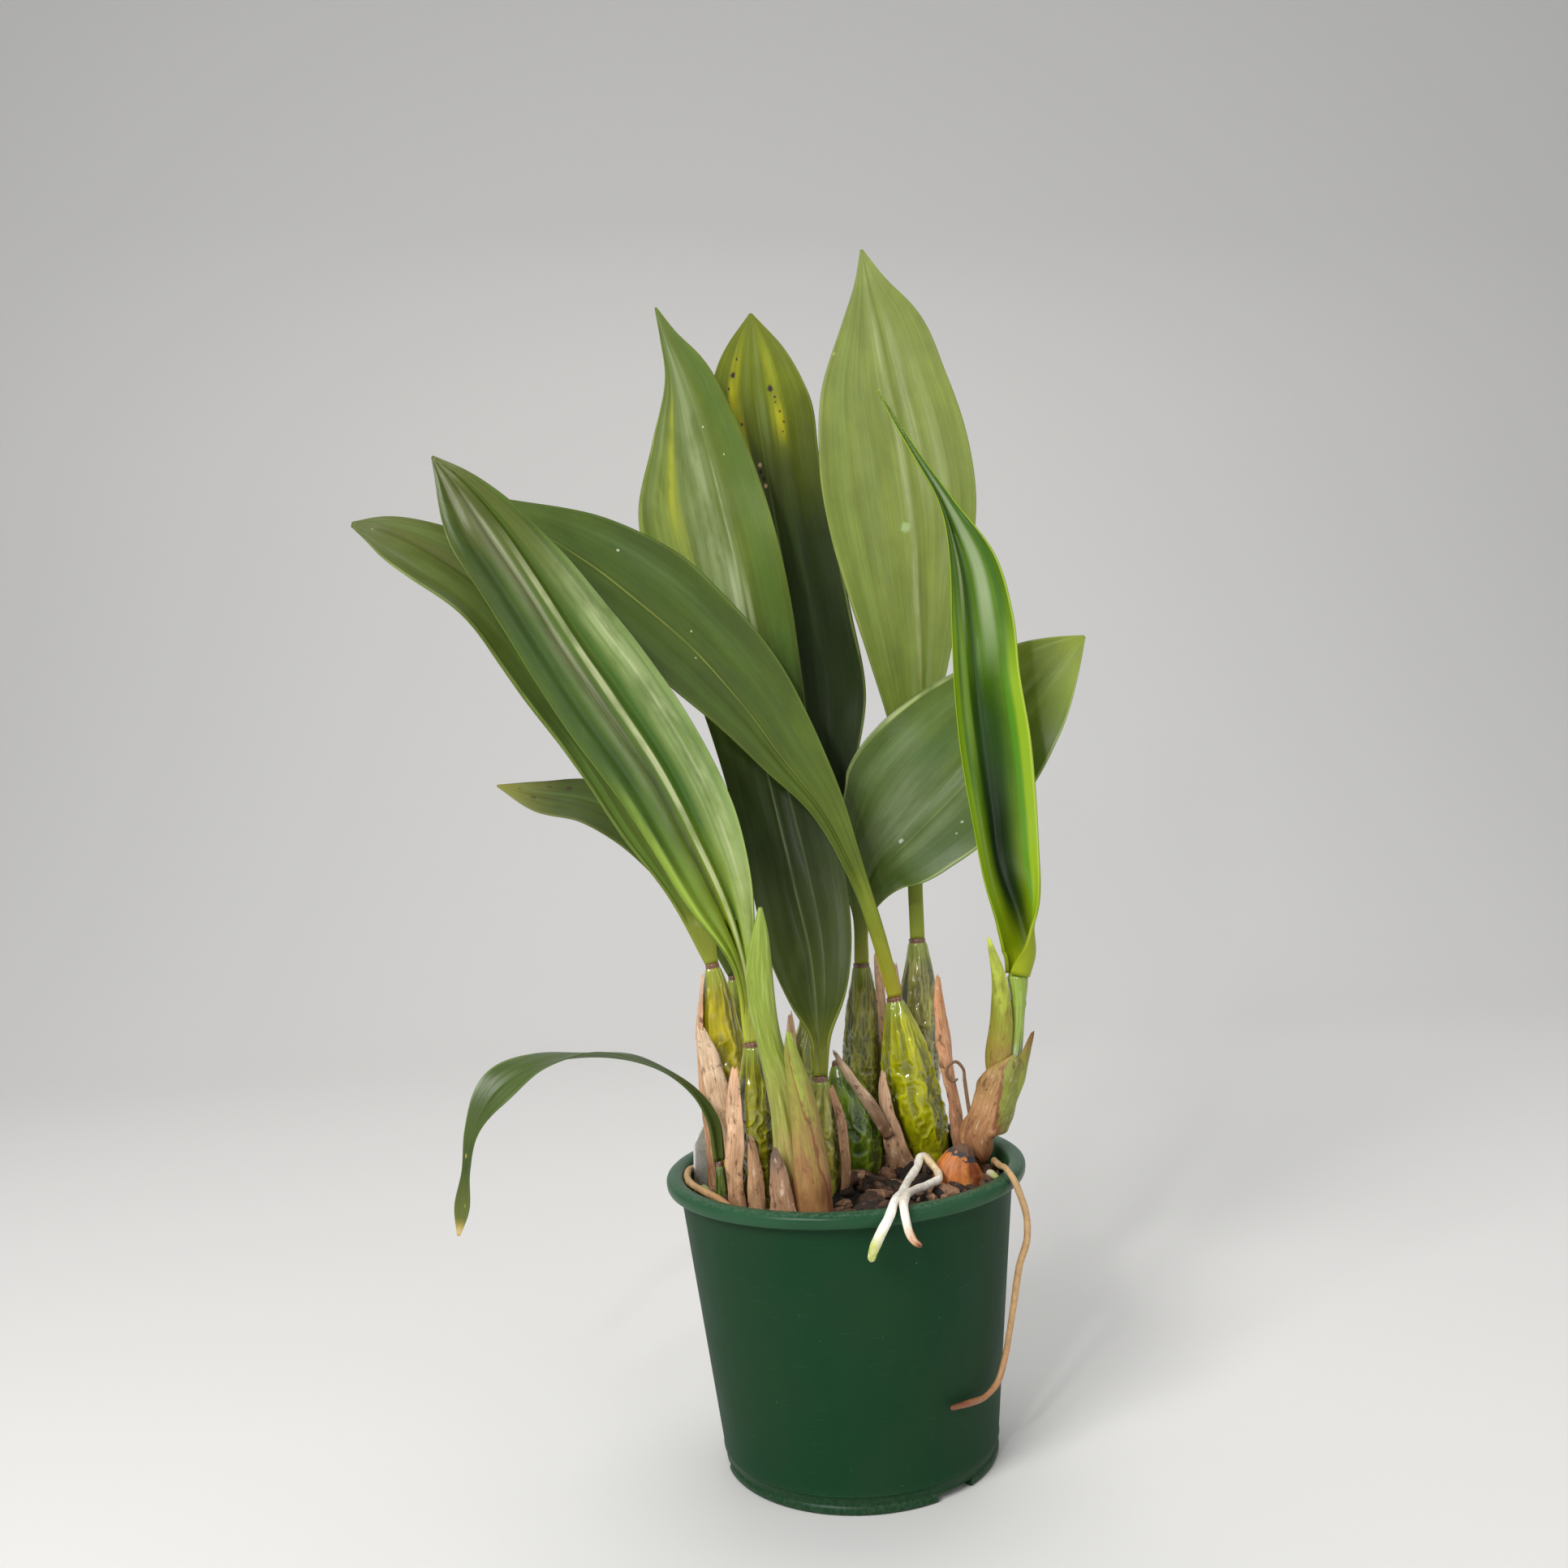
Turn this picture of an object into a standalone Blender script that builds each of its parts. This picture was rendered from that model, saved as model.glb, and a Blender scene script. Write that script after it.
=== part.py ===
"""A potted bifrenaria orchid: a green plastic pot filled with bark mix, ridged bulbs that each
carry one leaf, two new shoots, papery dry bracts, stray roots and a blank plant tag.

The lengths in this file are millimetres, and MM turns them into Blender's metres. The origin
is the middle of the pot's underside, +Z is up, and the plant's front looks along -Y.
"""

import math
import random

import bmesh
import bpy
import numpy as np
from mathutils import Matrix, Vector

MM = 0.001
GAP = 0.3

# The pot: a tapered plastic bucket with an overhanging rim and drain slots under its wall
POT_HEIGHT = 120.0
RIM_RADIUS = 75.0
RIM_DEPTH = 5.4
RIM_LIP_RADIUS = 70.0
BODY_TOP_RADIUS = 69.6
BODY_FOOT_RADIUS = 56.5
WALL = 2.4
FLOOR = 6.0
FOOT_STEP = 7.0
FOOT_ROLL = 0.6
DRAIN_SLOTS = 3
FIRST_SLOT_AZIMUTH = 37.0
SLOT_WIDTH = 18.0
SLOT_HEIGHT = 3.2
SLOT_DEPTH = 14.0
DRAIN_HOLE_RADIUS = 3.5
POT_SIDES = 48

# The bark mix, and how far each planting hole goes past the piece that stands in it
MIX_TOP = 110.0
MIX_UNEVEN = 1.2
MIX_RINGS = 4
MIX_SIDES = 32
BARK_CHUNKS = 34
BARK_SPACING = 12.0
BARK_LENGTH = (9.0, 18.0)
BARK_BREADTH_SHARE = (0.45, 0.8)
BARK_HEIGHT_SHARE = (0.35, 0.6)
BARK_CORNER_SHIFT = 0.14
BARK_TILT = 0.5
BARK_SINK = (-0.6, 1.2)
BARK_TRIES = 4000
BARK_SEED = 15
MIX_SHOULDER = 3.0
HOLE_BEYOND = 1.0

# Cross-sections
BULB_SIDES = 12
BULB_RINGS = 8
BULB_RIDGE = 0.05
BULB_CORNERS = 0.04
STEM_SIDES = 12
ROOT_SIDES = 6
FORK_RINGS = 17
LEAF_COLUMNS = 7
SHEATH_COLUMNS = 9
BRACT_COLUMNS = 5
LEAF_THICKNESS = 0.8
STALK_THICKNESS = 2.2
BRACT_THICKNESS = 0.6
SHEATH_THICKNESS = 0.9
SCALE_WAVE = 0.04
LEAF_WAVE = 0.03
WAVES_ALONG = 3.0
PLEATS_ACROSS = 5
FULL_PLEAT_WIDTH = 12.0
STALK_SHARE = 0.25

# Each bulb from its foot in the mix to its neck: x, y, z, radius
BULBS = {
    "pseudobulb_1": [
        (-46, 6, 104, 6.5), (-46, 6, 122, 8.4), (-47, 6, 150, 9.0),
        (-49, 6, 175, 8.0), (-50, 5, 196, 4.8), (-51, 5, 205, 2.8),
    ],
    "pseudobulb_2": [
        (-36, -28, 104, 5.5), (-36, -29, 120, 6.6), (-35.5, -29, 140, 7.2),
        (-35, -30, 158, 6.2), (-35, -30, 170, 4.4), (-35, -30, 177, 3.3),
    ],
    "pseudobulb_3": [
        (-40, 34, 104, 6.0), (-40, 34, 125, 8.0), (-41, 33, 150, 8.0),
        (-42, 32, 175, 6.0), (-43, 32, 190, 3.6), (-43, 32, 196, 2.8),
    ],
    "pseudobulb_4": [
        (-9, -8, 104, 4.6), (-8.5, -8, 118, 5.8), (-8, -8, 132, 5.9),
        (-8, -8, 145, 4.9), (-8, -8, 152, 3.7), (-8, -8, 157, 3.0),
    ],
    "pseudobulb_5": [
        (-15, 25, 104, 6.0), (-15, 25, 125, 7.4), (-14.5, 25, 145, 7.2),
        (-14, 24, 163, 5.6), (-12, 24, 174, 3.6), (-12, 24, 179, 2.9),
    ],
    "pseudobulb_6": [
        (11, 41, 104, 7.0), (11, 41, 125, 8.6), (12, 41, 150, 8.6),
        (13, 41, 172, 7.4), (14, 41, 189, 5.0), (14, 41, 197, 3.6),
    ],
    "pseudobulb_7": [
        (5, 15, 104, 7.5), (5.5, 15, 115, 10.0), (5, 15, 130, 10.6),
        (3, 14, 145, 8.2), (1, 14, 154, 5.0), (0, 14, 159, 2.4),
    ],
    "pseudobulb_8": [
        (38, 29, 104, 7.5), (37, 29, 113, 9.5), (34.5, 28, 127, 11.6),
        (31.5, 28, 145, 11.2), (29.5, 27, 161, 9.4), (28, 26, 174, 6.0), (27, 26, 183, 3.5),
    ],
    "pseudobulb_9": [
        (33.5, 44.5, 104, 5.5), (35.2, 46.8, 120, 7.2), (38, 50.5, 148, 9.0),
        (40, 53, 178, 8.2), (41, 54, 196, 5.4), (41, 54, 205, 3.8),
    ],
    "pseudobulb_10": [
        (-51, -17, 104, 2.4), (-51, -17.5, 113, 2.9), (-51.2, -18, 121, 2.4), (-51.4, -18, 127, 1.5),
    ],
}

# Each blade along its midrib, from its foot to its tip: x, y, z, the width to its left and to
# its right, the angle that its shown side turns from the front towards its right, and the
# angle through which each half curls towards the shown side, or away from it if negative.
LEAVES = {
    "leaf_1": [
        (-51, 5, 205.5, 2.6, 2.6, 0, 70), (-59, 6, 236, 10, 10, 15, 45), (-70, 8, 265, 18, 18, 24, 26),
        (-84, 6, 294, 21, 21, 28, 18), (-100, 4, 321, 22, 22, 30, 14), (-117, 1, 346, 21, 22, 30, 14),
        (-137, -5, 369, 17, 20, 26, 18), (-160, -9, 387, 15, 12, 18, 20), (-176, -11, 395, 9.5, 6, 12, 12),
        (-188, -12, 398, 1.2, 1, 10, 4),
    ],
    "leaf_2": [
        (-35, -30, 177.5, 3.0, 3.0, 0, 75), (-36, -33, 208, 6, 4.5, 12, 60), (-43, -36, 237, 17, 13, 24, 34),
        (-54, -40, 265, 21, 20, 28, 24), (-66, -44, 292, 24, 22, 30, 18), (-80, -48, 317, 25, 22, 30, 14),
        (-95, -51, 342, 24, 20, 30, 14), (-108, -55, 366, 23, 16, 28, 14), (-122, -59, 389, 20, 10, 24, 14),
        (-132, -61, 402, 11, 5, 20, 10), (-141, -62, 411, 0.5, 0.5, 18, 2),
    ],
    "leaf_3": [
        (-43.4, 32, 197.2, 2.4, 2.4, 0, 70), (-51, 32, 216, 5, 7, 12, 50), (-60, 32, 234, 9, 12, 24, 34),
        (-72, 31, 250, 10, 15, 30, 24), (-87, 31, 264, 9, 17, 32, 20), (-104, 31, 275, 9, 14, 30, 18),
        (-124, 30, 281, 8, 7.5, 24, 16), (-143, 30, 287, 0.5, 0.5, 20, 2),
    ],
    "leaf_4": [
        (-8, -8, 157.5, 2.8, 2.8, 0, 75), (-8, -3, 172, 3.6, 6, -4, 60), (-8, 3, 184, 10, 12, -6, 34),
        (-9, 13, 207, 18, 19, -8, 22), (-14, 25, 236, 19, 24, -8, 16), (-19, 32, 265, 19, 24, -8, 14),
        (-24, 36, 294, 20, 22, -8, 14), (-28, 37, 323, 24, 24, -8, 14), (-33, 37, 352, 29, 27, -8, 14),
        (-37, 37, 382, 33, 27, -8, 14), (-42, 36, 411, 32, 25, -8, 14), (-47, 34, 439, 19, 21, -8, 16),
        (-53, 32, 467, 5, 14, -8, 18), (-57, 31, 482, 2, 6, -6, 12), (-60, 30, 495, 0.5, 0.5, -4, 2),
    ],
    "leaf_5": [
        (-12, 24, 179.5, 2.8, 2.8, 0, 75), (-9, 34, 212, 4.5, 5, 4, 60), (-6, 44, 246, 8, 10, 8, 34),
        (-3, 51, 282, 13, 19, 10, 20), (-4, 55, 318, 17, 29, 10, 12), (-7, 59, 354, 20, 28, 10, 12),
        (-11, 61, 391, 22, 26, 10, 12), (-15, 60, 427, 22, 25.5, 10, 12), (-18, 58, 460, 22, 25, 10, 14),
        (-18, 57, 483, 13, 14, 8, 12), (-18, 56, 499, 0.6, 0.6, 6, 2),
    ],
    "leaf_6": [
        (14, 40, 197.5, 3.2, 3.2, 0, 75), (15.5, 40, 218, 4.5, 4.5, -2, 65), (22, 38, 240, 19, 18, -8, 30),
        (38, 32, 258, 36, 27, -12, 16), (54, 27, 274, 40, 31, -14, 14), (70, 22, 290, 37, 30, -14, 14),
        (85, 17, 306, 28, 25, -14, 14), (100, 12, 321, 18, 16, -12, 12), (109, 9, 329, 9, 8, -10, 8),
        (116, 6, 335, 0.6, 0.6, -8, 2),
    ],
    "right_shoot_leaf": [
        (77, -3, 194, 3.2, 3.2, 0, 110), (77.5, -4, 202, 4.6, 5.4, 0, 100), (76, -5, 215, 9, 10, 4, 62),
        (74, -7, 238, 12.5, 15, 6, 52), (72, -8, 264, 14.6, 16.8, 8, 50), (70, -9, 292, 16, 18, 8, 50),
        (68.5, -9, 318, 15.4, 17, 8, 52), (67.5, -8, 342, 13.4, 17, 8, 56), (65.5, -8, 366, 10.4, 13.6, 8, 64),
        (58, -7, 393, 4.4, 4.4, 10, 80), (46, -7, 416, 2.0, 2.0, 12, 80), (33, -6, 442, 0.6, 0.6, 12, 20),
    ],
    "leaf_8": [
        (27, 26, 184.2, 3.2, 3.2, 0, 75), (20, 19, 214, 3.4, 3.8, 6, 66), (11, 13, 243, 4.4, 5.4, 14, 54),
        (-1, 9, 269, 6, 11, 20, 36), (-18, 6, 294, 12, 20, 24, 24), (-34, 1, 318, 17, 26, 25, 16),
        (-52, -5, 340, 21, 27, 25, 14), (-72, -11, 359, 21, 28, 25, 14), (-93, -18, 377, 19, 21, 22, 14),
        (-115, -24, 391, 13, 10, 18, 14), (-131, -27, 398, 7, 4.5, 14, 10), (-140, -28, 401, 0.6, 0.6, 12, 2),
    ],
    "leaf_9": [
        (41, 54, 205.5, 3.4, 3.4, 0, 75), (42, 56, 237, 3.8, 3.8, 0, 66), (45, 57, 269, 6, 5, 2, 44),
        (48, 57, 301, 14, 7, 4, 24), (50, 56, 333, 24, 14, 6, 14), (50, 55, 365, 32, 23, 6, 12),
        (49, 52, 397, 38, 31, 6, 12), (46, 50, 428, 38.5, 32.5, 6, 12), (41, 47, 459, 31, 29, 6, 14),
        (37, 45, 489, 14.5, 21, 6, 16), (35, 43, 506, 5, 9, 4, 14), (34, 42, 520, 0.6, 0.6, 2, 2),
    ],
    "leaf_10": [
        (-51.6, -18, 127.8, 1.6, 1.6, 60, 50), (-54, -17, 145.5, 2.6, 2.6, 84, 36), (-68, -18, 163, 5, 5, 92, 20),
        (-84, -20.5, 171.5, 8, 8, 96, 10), (-104, -23.5, 175, 9.5, 9.5, 94, 8), (-122, -27, 173.5, 9.5, 9.5, 76, 10),
        (-138, -31, 164.5, 8.5, 8.5, 40, 12), (-148, -33, 149, 3.5, 3.5, 22, 24), (-151, -34, 134, 2, 2, 20, 30),
        (-153.5, -34, 119, 3.2, 3.2, 16, 20), (-155.6, -34, 108.5, 0.6, 0.6, 10, 2),
    ],
}
LEAF_WAVES = {"leaf_1": 0.06, "leaf_4": 0.05, "leaf_6": 0.05, "leaf_8": 0.05, "leaf_10": 0.10}
LEAF_PLEATS = {"leaf_2": 0.7, "leaf_4": 0.4, "leaf_8": 0.4, "leaf_9": 0.4}

# The front shoot, a tall closed sheath: x, y, z, half width, half depth
FRONT_SHOOT = [
    (-20, -44, 104, 8, 5.5), (-20, -44, 120, 8.6, 6), (-21, -44, 142, 7.6, 5.6),
    (-23, -44, 160, 6.4, 5), (-27, -44, 178, 4.9, 4.2), (-29.5, -44, 198, 5.3, 3.6),
    (-29.5, -44, 212, 4.8, 2.8), (-28.5, -44, 224, 2.8, 1.7), (-28, -44, 232, 0.8, 0.6),
]
# The right shoot's stem: x, y, z, half width, half depth
RIGHT_STEM = [
    (52.5, 4, 104, 4.8, 4.8), (53.5, 3, 112, 5.2, 5.0), (57, 1, 124, 5.2, 5.0), (63.3, -1, 140, 5.2, 5.0),
    (68.5, -2, 150, 4.6, 4.4), (73, -2.6, 160, 3.6, 3.6), (75.2, -3, 170, 2.9, 2.9), (76.6, -3, 181, 2.9, 2.9),
    (77, -3, 189, 3.8, 3.6), (77, -3, 193, 4.2, 3.8),
]
# The swollen brown foot of the right shoot, lying forward and to the left: x, y, z and halves
RIGHT_FOOT = [
    (46, -12, 104, 8.5, 5.5), (46, -12.5, 110, 10.2, 6.8), (46.3, -12.2, 116, 9.6, 6.4),
    (47.5, -11.6, 121, 6.8, 5.2), (49.5, -11.2, 125.5, 3.2, 3.0),
]

# The blades of the shoots and the dry bracts, as the leaves are given above
SHEATHS = {
    "front_shoot_sheath": [
        (-12, -52, 104, 10, 10, 25, -60), (-12.5, -52.5, 122, 9.6, 9.6, 24, -60), (-14, -52.5, 145, 7.6, 7.6, 20, -60),
        (-17, -52, 165, 5.0, 5.0, 14, -50), (-19.5, -51.2, 178, 2.6, 2.6, 8, -36), (-20, -50.5, 185, 0.6, 0.6, 0, -4),
    ],
    "right_shoot_green_sheath": [
        (57, -5.4, 128, 7, 7, -15, -64), (61, -6.9, 140, 7.2, 7.2, -20, -62), (64.3, -6.8, 150, 6.9, 6.9, -33, -58),
        (65, -7.2, 160, 6.6, 6.6, -30, -54), (68, -7.4, 176, 5.4, 5.4, -20, -50), (68.6, -7.6, 192, 3.4, 3.4, -12, -40),
        (65, -8, 211.5, 0.6, 0.6, -6, -4),
    ],
    "right_shoot_papery_cover": [
        (60.2, -1.8, 117.6, 4, 4, 55, -32), (60.5, -5.7, 121.6, 7, 7, 35, -52), (58.8, -8.9, 128, 14, 14, 5, -90),
        (62.9, -10.3, 138, 15, 15, 0, -98), (70.8, -10.5, 148, 8.5, 8.5, 18, -60), (73.2, -9.9, 155, 4, 4, 15, -34),
        (74.6, -8.6, 160, 0.8, 0.8, 10, -4),
    ],
    "right_shoot_small_bract": [
        (76.3, -6.8, 146, 2.8, 2.8, 75, -20), (77.9, -7, 151, 3.6, 3.6, 75, -24),
        (79.4, -6.6, 160, 3, 3, 65, -24), (81.8, -6, 171, 0.6, 0.6, 50, -4),
    ],
}
BRACTS = {
    "dry_bract_1": [
        (-46, -7.5, 104, 5, 5, 0, -40), (-48, -8.5, 132, 7, 7, -6, -50), (-51.5, -9, 150, 6, 6, -8, -46),
        (-54, -9, 166, 4.8, 4.8, -8, -46), (-57, -9, 182, 1.2, 1.6, -8, -10),
    ],
    "dry_bract_2": [
        (-44.5, -37, 104, 4, 4, -30, -50), (-45.5, -37.5, 128, 4.4, 4.4, -30, -50),
        (-44, -38.5, 144, 4.2, 4.2, -22, -50), (-43, -39, 160, 3.0, 3.0, -16, -42), (-42, -38, 171, 0.8, 0.8, -10, -6),
    ],
    "dry_bract_3": [
        (-25, -55.5, 104, 6.0, 6.0, -4, -36), (-26, -56, 118, 5.6, 5.6, -4, -36),
        (-27, -55.5, 130, 3.6, 3.6, -4, -34), (-28, -54, 141, 1.2, 1.2, 0, -8),
    ],
    "dry_bract_4": [
        (-1, -12, 104, 2.4, 2.4, 30, -44), (0.5, -12.5, 122, 2.6, 2.6, 32, -44),
        (-0.5, -12, 138, 2.6, 2.6, 30, -40), (-4.5, -14, 156, 0.7, 0.7, 20, -6),
    ],
    "dry_bract_5": [
        (20, 9.4, 126, 2.6, 2.6, -10, -30), (13, 5.5, 140, 2.8, 2.8, -10, -30),
        (5, 3.5, 153, 2.2, 2.2, -8, -30), (-2, 3.5, 166, 0.7, 0.7, -4, -6),
    ],
    "dry_bract_6": [
        (28, 11.5, 104, 7, 7, -8, -50), (22.8, 10.8, 119, 5.6, 5.6, -12, -50),
        (19.5, 11, 134, 3.8, 3.8, -16, -40), (19, 12, 146, 2.4, 2.4, -16, -30), (19.3, 13, 155, 0.7, 0.7, -16, -6),
    ],
    "dry_bract_7": [
        (52, 26, 104, 5, 5, 50, -56), (52.5, 26, 125, 4.4, 4.4, 48, -50), (50.5, 27, 144, 4.2, 4.2, 44, -46),
        (48.5, 28, 162, 4, 4, 34, -40), (47, 29, 178, 2.6, 2.6, 20, -34), (47, 30, 192, 0.7, 0.7, 10, -6),
    ],
    "dry_bract_8": [
        (23, 42, 104, 2, 2, 56, -30), (23, 41.5, 130, 2, 2, 56, -30), (22.5, 39, 150, 1.8, 1.8, 56, -30),
        (21.5, 33.5, 172, 2.2, 2.2, 20, -30), (21.3, 32.3, 188, 2.2, 2.2, 0, -36), (20, 32, 204, 0.6, 0.6, 0, -4),
    ],
    "dry_bract_9": [
        (27, 40.5, 104, 2.6, 2.6, -40, -30), (27.5, 42, 122, 2.6, 2.6, -50, -30), (28.5, 42.5, 140, 3, 3, -30, -30),
        (29.5, 42, 172, 2.8, 2.8, 0, -34), (29, 40, 198, 0.7, 0.7, 0, -6),
    ],
    "dry_bract_10": [
        (-57, 1, 104, 4.2, 4.2, -65, -26), (-57.8, 1, 140, 4.6, 4.6, -65, -26), (-58.8, 1.5, 165, 4, 4, -62, -24),
        (-57.8, 2.2, 182, 2.6, 2.6, -58, -20), (-55, 3, 202, 0.7, 0.7, -50, -6),
    ],
    "dry_bract_11": [
        (-18.5, 14.8, 104, 4.6, 4.6, -8, -32), (-20, 14.4, 135, 4.6, 4.6, -8, -32),
        (-20, 14.8, 160, 3.4, 3.4, -8, -30), (-19, 16, 182, 0.7, 0.7, -6, -6),
    ],
    "dry_bract_12": [
        (-35.6, -39.5, 104, 3.8, 3.8, 8, -44), (-36.5, -39.8, 122, 3.6, 3.6, 6, -40),
        (-37, -39.4, 134, 2.4, 2.4, 2, -34), (-37.5, -38.6, 143, 0.7, 0.7, 0, -6),
    ],
}

# The roots, from where they leave the mix to their tips: x, y, z, radius
ROOT_FORK_LEFT = [
    (38.5, 9, 104, 1.6), (37.5, 5, 113, 1.7), (34.5, -2, 119.5, 1.8), (31.2, -9, 121.6, 1.8), (29, -18, 120.6, 1.7),
    (24, -34, 120, 1.6), (19, -58, 121.6, 1.6), (15.5, -71, 122.4, 1.7), (12.5, -77.5, 118.5, 1.7),
    (8.7, -78.8, 112.5, 1.8), (6.2, -79, 107.4, 1.8), (5, -79, 103.6, 1.3),
]
ROOT_FORK_RIGHT = [
    (33, -5, 121, 1.3), (34.2, -10.5, 120.8, 1.5), (37, -18, 118, 1.6), (37, -23.5, 116.8, 1.6), (33, -31, 117, 1.6),
    (25.4, -44, 118.6, 1.6), (20.2, -64, 121.8, 1.6), (18.6, -75, 121.2, 1.6), (19, -78, 116.6, 1.6),
    (20, -78.6, 112.6, 1.5), (21, -78.8, 110.6, 1.3), (24.1, -78.6, 107.8, 0.9),
]
ROOTS = {
    "long_tan_root": [
        (62.5, 9, 104, 1.3), (63, 3, 112, 1.3), (62, -6, 117.6, 1.3), (61.4, -16, 119.8, 1.3), (61.4, -27, 121.4, 1.3),
        (62.8, -38, 122.2, 1.3), (64.6, -42.7, 119.2, 1.3), (66.7, -42.5, 112.7, 1.3), (69, -39, 103.4, 1.35), (68.6, -38.5, 95, 1.35),
        (65.4, -36, 83.8, 1.35), (62.8, -35, 70.8, 1.3), (60.2, -34, 57.7, 1.25), (57.5, -34.5, 47, 1.2),
        (53.5, -37.5, 39, 1.15), (48, -42.5, 36.2, 1.1), (41, -48.5, 36.8, 1.2), (33, -55, 38, 0.8),
    ],
    "white_root_stub": [
        (60, -5, 104, 1.4), (59.6, -8, 110, 1.5), (59.2, -12, 114.4, 1.5), (60.2, -17, 114.6, 1.4), (61.4, -21.3, 114.5, 0.8),
    ],
    "rim_root": [
        (-57.5, 28, 104, 1.3), (-60.5, 22, 114, 1.4), (-65.6, 8, 118, 1.4), (-65, -12, 118.6, 1.4),
        (-57, -30, 118.6, 1.4), (-49.5, -40.5, 117.4, 1.3), (-43.5, -46.5, 113, 1.1), (-40.5, -47.5, 105, 1.0),
    ],
    "green_root": [
        (-62, -6, 104, 0.9), (-61.4, -7, 112, 1.0), (-59.4, -12, 115.5, 1.1), (-56.8, -20, 116, 1.1), (-54, -27, 113, 0.9),
        (-53, -29, 104, 0.8),
    ],
    "curled_root": [
        (58, 22, 104, 1.0), (57.4, 21.4, 122, 1.0), (55.6, 20.4, 138, 0.9), (54.9, 20, 146, 0.8), (54.4, 20, 151.5, 0.7),
        (51.4, 19.8, 154.6, 0.7), (48, 19.6, 152.6, 0.7), (47.4, 19.2, 149, 0.7), (49.6, 18.6, 146.4, 0.6),
        (52, 18, 147.6, 0.5),
    ],
}
# The roots whose far end goes back into the mix
LOOPED_ROOTS = ("rim_root", "green_root")

# The plant tag: a blank slip of plastic with a cut corner
TAG_FOOT = (-59.6, 13, 101)
TAG_WIDTH = 10.0
TAG_THICKNESS = 1.0
TAG_HEIGHT = 34.0
TAG_CUT = 6.0
TAG_TURN = 55.0
TAG_LEAN = 4.0

# Colours, roughness and clearness of the lacquer, one row for each material
MATERIALS = {
    "green_plastic": ((0.010, 0.045, 0.018), 0.42),
    "bark": ((0.070, 0.040, 0.026), 0.95),
    "bulb_green": ((0.26, 0.27, 0.02), 0.28),
    "bulb_dark": ((0.055, 0.085, 0.018), 0.35),
    "leaf_green": ((0.075, 0.160, 0.025), 0.38),
    "leaf_pale": ((0.190, 0.300, 0.060), 0.42),
    "leaf_bright": ((0.090, 0.300, 0.008), 0.30),
    "leaf_dark": ((0.035, 0.090, 0.018), 0.45),
    "shoot_green": ((0.230, 0.270, 0.050), 0.45),
    "papery": ((0.460, 0.280, 0.170), 0.85),
    "brown_skin": ((0.420, 0.130, 0.025), 0.55),
    "white_root": ((0.800, 0.740, 0.600), 0.70),
    "tan_root": ((0.500, 0.300, 0.140), 0.80),
    "green_root": ((0.300, 0.340, 0.120), 0.60),
    "grey_tag": ((0.380, 0.370, 0.340), 0.50),
}
DARK_BULBS = ("pseudobulb_6", "pseudobulb_7", "pseudobulb_9")
LEAF_COLOURS = {
    "leaf_1": "leaf_green", "leaf_2": "leaf_green", "leaf_3": "leaf_dark", "leaf_4": "leaf_green",
    "leaf_5": "leaf_green", "leaf_6": "leaf_green", "leaf_8": "leaf_green", "leaf_9": "leaf_pale",
    "leaf_10": "leaf_dark", "right_shoot_leaf": "leaf_bright",
}


def clear_scene():
    for old in list(bpy.data.objects):
        bpy.data.objects.remove(old, do_unlink=True)


def make_material(name):
    colour, roughness = MATERIALS[name]
    material = bpy.data.materials.get(name) or bpy.data.materials.new(name)
    material.use_nodes = True
    shader = material.node_tree.nodes["Principled BSDF"]
    shader.inputs["Base Color"].default_value = (*colour, 1.0)
    shader.inputs["Roughness"].default_value = roughness
    shader.inputs["Metallic"].default_value = 0.0
    return material


def add_object(name, mesh, material=None):
    thing = bpy.data.objects.new(name, mesh)
    bpy.context.scene.collection.objects.link(thing)
    if material:
        thing.data.materials.append(make_material(material))
    return thing


def hide_helper(thing):
    thing.hide_render = True
    thing.display_type = "WIRE"


def smooth_rows(rows, count):
    """Rows of numbers read at equal steps along a smooth curve through the given rows."""
    rows = np.asarray(rows, float)
    steps = np.linalg.norm(np.diff(rows[:, :3], axis=0), axis=1)
    place = np.concatenate([[0.0], np.cumsum(steps)])
    slopes = np.gradient(rows, place, axis=0)
    wanted = np.linspace(0.0, place[-1], count)
    piece = np.clip(np.searchsorted(place, wanted, side="right") - 1, 0, len(rows) - 2)
    span = (place[piece + 1] - place[piece])[:, None]
    t = (wanted - place[piece])[:, None] / span
    first = rows[piece] * (2 * t**3 - 3 * t**2 + 1) + slopes[piece] * span * (t**3 - 2 * t**2 + t)
    second = rows[piece + 1] * (3 * t**2 - 2 * t**3) + slopes[piece + 1] * span * (t**3 - t**2)
    return first + second


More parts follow.
